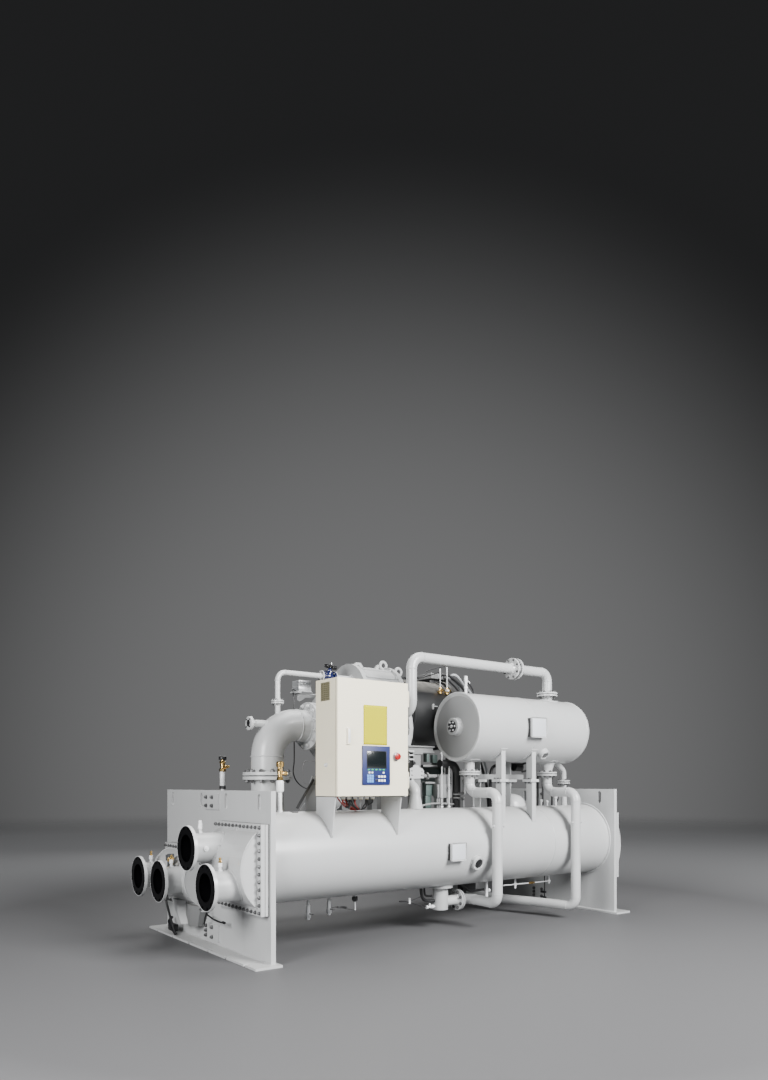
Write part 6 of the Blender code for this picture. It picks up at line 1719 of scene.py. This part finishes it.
cord(
    leads, 0.004, 10, (2.22, 0.702, 2.348), (2.205, 0.74, 2.36), (2.07, 0.8, 2.318), (2.052, 0.805, 2.283),
    (1.944, 0.815, 2.243),
)
cord(
    leads, 0.005, 10, (2.137, 0.702, 2.3), (2.06, 0.78, 2.268), (1.99, 0.8, 2.246), (1.93, 0.815, 2.24),
    (1.85, 0.83, 2.236), (1.78, 0.84, 2.232),
)
for x, z in ((1.944, 2.244), (1.9, 2.238), (1.848, 2.238)):
    lathe(leads, [
        (0, 0), (0, 0.01), (0.006, 0.013), (0.034, 0.013), (0.04, 0.009), (0.04, 0),
    ], at(x - 0.02, 0.818 + (1.944 - x) * 0.15, z), X, 16)
piece("motor_leads", leads, fine_black)
cord(
    hoses, 0.0125, 16, (2.25, 0.846, 2.284), (2.262, 0.815, 2.3), (2.33, 0.8, 2.294), (2.484, 0.795, 2.204),
    (2.56, 0.785, 2.11), (2.592, 0.77, 1.98), (2.598, 0.74, 1.7), (2.6, 0.64, 1.45), (2.596, 0.56, 1.24),
    (2.592, 0.53, 1.03),
)
cord(
    hoses, 0.009, 14, (2.29, 0.846, 2.274), (2.3, 0.825, 2.272), (2.35, 0.818, 2.246), (2.46, 0.812, 2.16),
    (2.5, 0.816, 2.07), (2.492, 0.85, 2.005), (2.46, 0.88, 1.982), (2.436, 0.89, 1.978),
)
piece("terminal_hoses", hoses, black_sheath)
conduits = bmesh.new()
cord(
    conduits, 0.012, 16, (2.375, 0.846, 2.29), (2.395, 0.812, 2.306), (2.44, 0.8, 2.294), (2.521, 0.796, 2.218),
    (2.62, 0.786, 2.12), (2.66, 0.78, 1.98), (2.664, 0.75, 1.7), (2.662, 0.65, 1.45), (2.656, 0.58, 1.24),
    (2.652, 0.555, 1.02),
)
cord(
    conduits, 0.008, 12, (2.39, 0.9, 2.285), (2.42, 0.88, 2.285), (2.48, 0.862, 2.24), (2.54, 0.856, 2.15),
    (2.55, 0.87, 2.06), (2.51, 0.895, 2.0), (2.47, 0.91, 1.99), (2.436, 0.915, 1.988),
)
for x, y in ((2.25, 0.846), (2.29, 0.846), (2.375, 0.846)):
    prism(conduits, at(x, y, 2.284), -Y, 0.034, 0.012)
piece("terminal_conduits", conduits, grey_sheath)

# The economizer's gauge stub: a pale nipple on its crown with a hooked cap chain, and a small bracket
# with a thermostat pocket on the motor's side.
ECO_STUB = (2.155, 0.37)
stub = bmesh.new()
lathe(stub, [
    (-0.03, 0.012), (0.03, 0.012), (0.031, 0.017), (0.048, 0.017), (0.049, 0.011), (0.095, 0.011), (0.096, 0.016),
    (0.14, 0.016), (0.144, 0.01), (0.144, 0.0),
], at(*ECO_STUB, 2.086), Z, 24)
level_cord(stub, 0.0045, 10, 0.37, (2.162, 2.165), (2.176, 2.184), (2.196, 2.178), (2.2, 2.166))
piece("economizer_gauge_stub", stub, capillary)
hook = bmesh.new()
level_cord(hook, 0.0075, 12, 0.37, (2.172, 2.172), (2.205, 2.15), (2.236, 2.116), (2.248, 2.086), (2.25, 2.066))
piece("gauge_stub_lead", hook, fine_black)
pocket = bmesh.new()
slab(pocket, (2.012, 0.645, 1.97), (2.062, 0.668, 1.978), 0.001)
slab(pocket, (2.01, 0.645, 1.945), (2.016, 0.668, 1.984), 0.001)
rod(pocket, 0.006, 12, (2.02, 0.65, 1.99), (2.02, 0.668, 1.99))
piece("motor_pocket_bracket", pocket, pipe_grey)

# The oil and motor cooling pipework between the base and the near vessel: a black insulated elbow with
# its valve, a pale block with an eye, a short flanged return, thin tubes and a bolted plate on the leg.
PIPE_Y = 0.5
dark_pipe = finish_of(
    "black_insulated_pipe", (0.012, 0.012, 0.013), 0.46, cloud=0.2, cloud_size=12.0, grain=200.0, depth=0.0006,
)
elbow = bmesh.new()
tube(elbow, bent([at(1.96, PIPE_Y, 1.447), at(2.16, PIPE_Y, 1.447), at(2.16, PIPE_Y, 1.03)], 0.085, 12), 0.036, 32)
tube(elbow, bent([at(2.096, 0.56, 1.5), at(2.096, 0.56, 1.3), at(2.096, 0.52, 1.08)], 0.06, 8), 0.012, 16)
piece("oil_return_elbow", elbow, dark_pipe)
trim = bmesh.new()
for z in (1.165, 1.135):
    lathe(trim, [
        (0, 0), (0, 0.058), (0.002, 0.06), (0.012, 0.06), (0.014, 0.058), (0.014, 0),
    ], at(2.18, PIPE_Y, z), Z, 36)
flange_bolts(joint_studs, at(2.18, PIPE_Y, 1.157), Z, 0.049, 6, 0.01, 0.023)
rod(trim, 0.013, 20, (2.226, PIPE_Y - 0.03, 1.172), (2.226, PIPE_Y - 0.03, 1.292))
rod(trim, 0.012, 20, (2.214, PIPE_Y - 0.03, 1.03), (2.214, PIPE_Y - 0.03, 1.132))
lathe(trim, [
    (0, 0.0), (0, 0.02), (0.004, 0.022), (0.028, 0.022), (0.032, 0.018), (0.032, 0),
], at(2.226, PIPE_Y - 0.03, 1.276), Z, 24)
piece("oil_return_flanges", trim, base_grey)
block = bmesh.new()
slab(block, (1.94, 0.505, 1.14), (2.112, 0.57, 1.262), 0.01)
slab(block, (1.955, 0.51, 1.245), (2.1, 0.565, 1.352), 0.012)
slab(block, (1.945, 0.52, 1.04), (1.985, 0.56, 1.15), 0.004)
slab(block, (2.06, 0.52, 1.04), (2.1, 0.56, 1.15), 0.004)
for x, z in ((1.962, 1.33), (2.094, 1.33), (1.962, 1.275), (2.094, 1.275)):
    bolt(block, at(x, 0.51, z), -Y, 0.01, x)
lathe(block, [
    (0, 0.018), (0, 0.026), (0.008, 0.026), (0.01, 0.024), (0.01, 0.018),
], at(2.062, 0.506, 1.226), -Y, 32, loop=True)
piece("oil_block", block, base_grey)
eye = bmesh.new()
lathe(eye, [(0.0, 0.0), (0.0, 0.0178), (0.004, 0.0178), (0.005, 0.0)], at(2.062, 0.504, 1.226), -Y, 28)
lathe(eye, [(0, 0), (0, 0.016), (0.01, 0.016), (0.014, 0.01), (0.014, 0)], at(1.7, 0.548, 1.45), -Y)
piece("oil_block_eye", eye, black_enamel)
back_pipe = bmesh.new()
rod(back_pipe, 0.016, 24, (1.8, 0.545, 1.336), (2.104, 0.545, 1.336))
rod(back_pipe, 0.01, 20, (1.84, 0.56, 1.275), (2.11, 0.56, 1.275))
rod(back_pipe, 0.011, 20, (1.845, 0.6, 1.427), (2.09, 0.6, 1.43))
for x in (1.842, 2.032):
    lathe(back_pipe, [(0, 0), (0, 0.034), (0.01, 0.034), (0.01, 0)], at(x, 0.545, 1.336), X, 28)
    flange_bolts(back_pipe, at(x + 0.005, 0.545, 1.336), X, 0.026, 4, 0.006, 0.005)
level_cord(
    back_pipe, 0.0085, 14, PIPE_Y, (1.7, 1.052), (1.77, 1.078), (1.87, 1.092), (1.99, 1.092), (2.08, 1.086),
    (2.15, 1.084),
)
piece("motor_cooling_return", back_pipe, base_grey)
boxes = bmesh.new()
slab(boxes, (1.87, 0.58, 1.16), (1.96, 0.64, 1.28), 0.006)
slab(boxes, (1.872, 0.59, 1.04), (1.94, 0.64, 1.16), 0.006)
slab(boxes, (1.87, 0.57, 1.462), (1.9, 0.62, 1.536), 0.004)
slab(boxes, (1.965, 0.6, 1.455), (2.02, 0.64, 1.53), 0.006)
piece("oil_pump_housing", boxes, oil_paint)
thin = bmesh.new()
for x, z in ((1.967, 1.533), (2.052, 1.47)):
    cord(
        thin, 0.0048, 12, (x, PIPE_Y - 0.02, 1.05), (x, PIPE_Y - 0.02, 1.3), (x, PIPE_Y - 0.02, z - 0.01),
        (x, PIPE_Y, z + 0.004),
    )
    prism(thin, at(x, PIPE_Y - 0.02, 1.056), Z, 0.022, 0.014)
piece("thin_oil_tubes", thin, capillary)


def flat_plate(shape, outline, *faces):
    """A plate cut to an outline, upright between two faces."""
    skin(shape, [corners(shape, [at(x, y, z) for x, z in outline]) for y in faces], capped=True)


plate = bmesh.new()
flat_plate(plate, [
    (1.69, 1.43), (1.745, 1.43), (1.752, 1.412), (1.792, 1.4), (1.806, 1.38), (1.806, 1.318), (1.65, 1.309),
    (1.65, 1.4), (1.684, 1.412),
], 0.544, 0.534)
for x, z in ((1.672, 1.345), (1.784, 1.345), (1.672, 1.385), (1.784, 1.378)):
    bolt(plate, at(x, 0.534, z), -Y, 0.009, z)
for z in (1.479, 1.515, 1.55):
    slab(plate, (1.598, 0.48, z - 0.006), (1.655, 0.56, z + 0.006), 0.002)
slab(plate, (1.64, 0.545, 1.45), (1.652, 0.562, 1.562), 0.002)
piece("leg_joint_plate", plate, plate_grey)

# Behind the right liquid line, over the near vessel: a curved return pipe with its flange, stub pipes,
# a black loop of hose, and a dark oil pump with its leads under the economizer.
rear = bmesh.new()
tube(rear, bent(
    [at(3.33, PIPE_Y, 1.49), at(3.5, PIPE_Y, 1.48), at(3.612, PIPE_Y, 1.4), at(3.622, PIPE_Y, 1.02)], 0.06, 10,
), 0.028, 28)
for z in (1.29, 1.268):
    lathe(rear, [
        (0, 0), (0, 0.06), (0.002, 0.062), (0.012, 0.062), (0.014, 0.06), (0.014, 0),
    ], at(3.618, PIPE_Y, z), Z, 36)
flange_bolts(joint_studs, at(3.618, PIPE_Y, 1.286), Z, 0.05, 6, 0.01, 0.019)
for x, top, r in ((3.279, 1.13, 0.011), (3.368, 1.12, 0.009), (3.493, 1.165, 0.014)):
    lathe(rear, [
        (0, r), (top - 1.064, r), (top - 1.062, r * 1.5), (top - 1.04, r * 1.5), (top - 1.036, r), (top - 1.036, 0),
    ], at(x, PIPE_Y, 1.02), Z, 18)
lathe(rear, [
    (0.0, 0.0), (0.0, 0.15), (0.06, 0.148), (0.11, 0.13), (0.142, 0.092), (0.156, 0.045), (0.16, 0.0),
], at(2.93, 0.58, 1.012), Z, 40)
piece("rear_return_pipe", rear, pipe_grey)
dark = bmesh.new()
level_cord(
    dark, 0.015, 16, PIPE_Y, (2.7, 1.43), (2.656, 1.438), (2.606, 1.412), (2.586, 1.322), (2.59, 1.2),
    (2.596, 1.04),
)
slab(dark, (2.88, 0.52, 1.395), (3.06, 0.62, 1.47), 0.018)
lathe(dark, [
    (0, 0), (0, 0.036), (0.005, 0.04), (0.1, 0.04), (0.105, 0.036), (0.105, 0),
], at(2.9, 0.508, 1.428), X, 28)
cord(
    dark, 0.01, 12, (3.0, 0.515, 1.44), (3.06, 0.5, 1.47), (3.1, 0.5, 1.44), (3.093, 0.505, 1.4),
    (3.03, 0.52, 1.385),
)
cord(
    dark, 0.009, 12, (2.88, 0.54, 1.44), (2.84, 0.51, 1.45), (2.8, 0.505, 1.42), (2.79, 0.52, 1.34),
    (2.792, 0.53, 1.06),
)
for x in (3.232, 3.305, 3.44):
    rod(dark, 0.01, 12, (x, PIPE_Y, 1.03), (x, PIPE_Y, 1.33))
tube(dark, bent(
    [at(3.232, PIPE_Y, 1.325), at(3.232, PIPE_Y, 1.35), at(3.44, PIPE_Y, 1.35), at(3.44, PIPE_Y, 1.325)], 0.018, 6,
), 0.01, 12)
piece("rear_oil_pump", dark, fine_black)

# Under the near vessel: leads between the drains, a black hose loop, a pale cock on the sump and a
# slim line along the underside with its brass union.
under_black, under_pale, union = bmesh.new(), bmesh.new(), bmesh.new()
LOW_Y = EVAP[0]
level_cord(under_black, 0.0035, 10, LOW_Y, (0.742, 0.288), (0.8, 0.291), (0.85, 0.28), (0.92, 0.262), (0.978, 0.25))
lathe(
    under_black, [(0, 0), (0.02, 0.008), (0.06, 0.01), (0.1, 0.006), (0.12, 0)], at(0.79, LOW_Y, 0.291),
    Vector((0.99, 0, -0.1)), 14,
)
rod(under_pale, 0.0035, 10, (0.979, LOW_Y, 0.25), (0.977, LOW_Y, 0.322))
level_cord(
    under_black, 0.014, 16, LOW_Y, (1.662, 0.392), (1.668, 0.33), (1.684, 0.284), (1.725, 0.258), (1.775, 0.252),
    (1.812, 0.252),
)
level_cord(under_black, 0.009, 14, LOW_Y + 0.02, (1.716, 0.388), (1.718, 0.33), (1.735, 0.3), (1.8, 0.292))
level_cord(
    under_black, 0.0042, 10, LOW_Y, (1.43, 0.279), (1.48, 0.274), (1.53, 0.262), (1.6, 0.24), (1.7, 0.212),
    (1.735, 0.204),
)
lathe(
    under_black, [(0, 0.0), (0.004, 0.006), (0.05, 0.007), (0.08, 0.004), (0.082, 0)], at(1.424, LOW_Y, 0.28),
    Vector((0.995, 0, -0.09)), 14,
)
level_cord(under_black, 0.0038, 10, LOW_Y, (1.545, 0.275), (1.6, 0.286), (1.66, 0.3), (1.684, 0.31))
prism(under_pale, at(1.537, LOW_Y, 0.252), Z, 0.018, 0.032)
lathe(under_pale, [(0, 0.0), (0, 0.008), (0.014, 0.009), (0.016, 0)], at(1.537, LOW_Y, 0.284), Z, 16)
lathe(under_pale, [
    (0, 0.0), (0, 0.014), (0.012, 0.015), (0.014, 0.009), (0.05, 0.009), (0.052, 0.016), (0.078, 0.016),
    (0.08, 0.01), (0.105, 0.01),
], at(1.722, LOW_Y, 0.203), X)
lathe(under_pale, [(0, 0), (0, 0.008), (0.02, 0.008), (0.022, 0)], at(1.76, LOW_Y, 0.212), Z, 16)
rod(under_pale, 0.012, 18, (2.439, LOW_Y, 0.4), (2.439, LOW_Y, 0.235))
lathe(under_pale, [(0, 0), (0, 0.014), (0.01, 0.016), (0.018, 0.012), (0.02, 0)], at(2.451, LOW_Y - 0.01, 0.292), X)
rod(under_pale, 0.0065, 14, (2.652, LOW_Y, 0.32), (3.28, LOW_Y, 0.314))
for x, low, high in ((2.811, 0.281, 0.392), (3.28, 0.29, 0.392)):
    rod(under_pale, 0.01, 16, (x, LOW_Y, low), (x, LOW_Y, high))
    prism(under_pale, at(x, LOW_Y, 0.308), Z, 0.028, 0.018)
prism(union, at(3.012, LOW_Y, 0.3165), X, 0.02, 0.016)
prism(union, at(3.034, LOW_Y, 0.3165), X, 0.024, 0.018)
rod(union, 0.008, 14, (2.99, LOW_Y, 0.3168), (3.075, LOW_Y, 0.316))
rod(under_black, 0.0055, 12, (3.221, LOW_Y, 0.112), (3.221, LOW_Y, 0.392))
slab(under_black, (3.192, LOW_Y - 0.03, 0.15), (3.214, LOW_Y + 0.03, 0.172), 0.003)
slab(under_black, (3.192, LOW_Y - 0.03, 0.206), (3.214, LOW_Y + 0.03, 0.228), 0.003)
slab(under_black, (2.17, LOW_Y + 0.02, 0.3), (2.325, LOW_Y + 0.1, 0.382), 0.01)
cord(
    under_black, 0.011, 14, (2.13, LOW_Y + 0.02, 0.372), (2.19, LOW_Y + 0.01, 0.33), (2.24, LOW_Y + 0.01, 0.3),
    (2.33, LOW_Y + 0.02, 0.296), (2.42, LOW_Y + 0.02, 0.3),
)
piece("underside_leads", under_black, fine_black)
piece("underside_fittings", under_pale, valve_white)
piece("underside_union", union, brass)

# Behind the cabinet: a dark flat strut that leans back to the vessel, a bracket plate, a loop of thin
# wire and the actuator's lead, clipped where it passes the elbow.
STRUT_Y = 0.35
strut = bmesh.new()
along = Vector((0.116, 0, 0.176)).normalized()
base = at(0.446, STRUT_Y, 1.13)
half = Vector((along.z, 0, -along.x)) * 0.009
rings = []
for end in (base - along * 0.06, base + along * 0.205):
    rings.append(corners(strut, (end - half, end + half, end + half + Y * 0.01, end - half + Y * 0.01)))
skin(strut, rings, capped=True)
slab(strut, (0.365, STRUT_Y - 0.012, 1.048), (0.415, STRUT_Y + 0.03, 1.056), 0.001)
piece("cabinet_strut", strut, black_enamel)
web = bmesh.new()
flat_plate(web, [(0.56, 1.33), (0.7, 1.33), (0.7, 1.055), (0.5, 1.055), (0.5, 1.18)], 0.372, 0.38)
piece("cabinet_back_web", web, base_grey)
loops = bmesh.new()
tube(loops, bent(
    [at(0.6, 0.36, 1.44), at(0.47, 0.36, 1.44), at(0.47, 0.36, 1.265), at(0.6, 0.36, 1.265)], 0.03, 8,
), 0.002, 10)
piece("cabinet_wire_loop", loops, dark_stud_and_shade)
lead = bmesh.new()
cord(
    lead, 0.0048, 12, (ACTUATOR[0] - 0.05, ACTUATOR[1] - 0.02, 2.058), (0.76, 1.02, 2.075), (0.712, 0.93, 2.03),
    (0.705, 0.905, 1.93), (0.704, 0.9, 1.6), (0.704, 0.9, 1.46), (0.69, 0.89, 1.36), (0.712, 0.86, 1.28),
    (0.77, 0.8, 1.225), (0.9, 0.7, 1.2),
)
piece("actuator_lead", lead, fine_black)

# At the far vessel's front: a cock between its nozzles, a tapered sheet duct under its cover, and
# black hoses that hang from the plates' lower edge to the floor.
cock, cock_black = bmesh.new(), bmesh.new()
spot = at(-0.2, 1.3, 0.64)
tube(cock, [spot - Z * 0.08, spot + Z * 0.01], 0.012, 18)
lathe(cock, [
    (0, 0), (0, 0.019), (0.01, 0.023), (0.03, 0.023), (0.036, 0.016), (0.044, 0.016), (0.046, 0),
], spot - Y * 0.03 + Z * 0.02, -X, 24)
prism(cock, spot + X * 0.004 + Z * 0.02, -X, 0.034, 0.02)
piece("far_nozzle_cock", cock, brass)
slab(cock_black, (-0.22, 1.318, 0.585), (-0.17, 1.352, 0.7), 0.006)
slab(cock_black, (-0.21, 1.27, 0.58), (-0.17, 1.3, 0.61), 0.006)
slab(cock_black, (-0.216, 1.375, 0.64), (-0.194, 1.396, 0.69), 0.004)
piece("far_nozzle_switch", cock_black, moulding_dark)
for name, paint, levels in (
    ("far_drip_duct", plate_grey, (
        (0.315, -0.13, 1.3, 1.56), (0.22, -0.13, 1.3, 1.5), (0.125, -0.112, 1.275, 1.4),
    )),
    ("far_drip_tray", base_grey, (
        (0.3, -0.118, 1.02, 1.28), (0.21, -0.118, 1.06, 1.28), (0.125, -0.102, 1.11, 1.262),
    )),
):
    duct = bmesh.new()
    rings = []
    for z, front, y0, y1 in levels:
        edge = (
            (-0.006, y0), (front * 0.6, y0), (front, y0 + 0.05), (front, (y0 + y1) / 2), (front * 0.75, y1),
            (-0.006, y1),
        )
        rings.append(corners(duct, [at(x, y, z) for x, y in edge]))
    skin(duct, rings, capped=True)
    piece(name, duct, paint)
hanging = bmesh.new()
cord(
    hanging, 0.0095, 14, (-0.12, 1.61, 0.33), (-0.13, 1.6, 0.28), (-0.132, 1.54, 0.2), (-0.134, 1.47, 0.12),
    (-0.132, 1.42, 0.06), (-0.128, 1.39, 0.03),
)
cord(
    hanging, 0.012, 14, (-0.04, 1.7, 0.12), (-0.09, 1.64, 0.1), (-0.1, 1.56, 0.07), (-0.112, 1.48, 0.04),
    (-0.128, 1.4, 0.032),
)
slab(hanging, (-0.11, 1.5, 0.03), (-0.06, 1.62, 0.09), 0.012)
cord(
    hanging, 0.0068, 12, (-0.07, 0.925, 0.3), (-0.072, 0.91, 0.255), (-0.074, 0.86, 0.245), (-0.074, 0.78, 0.232),
    (-0.072, 0.68, 0.225), (-0.066, 0.62, 0.228),
)
cord(hanging, 0.0068, 12, (-0.074, 0.905, 0.262), (-0.076, 0.93, 0.22), (-0.074, 0.945, 0.19), (-0.07, 0.96, 0.17))
lathe(hanging, [(0, 0), (0, 0.01), (0.03, 0.01), (0.04, 0.005), (0.04, 0)], at(-0.066, 0.63, 0.228), -Y, 14)
piece("front_hanging_hoses", hanging, fine_black)
piece("joint_studs", joint_studs, dark_stud_and_shade)
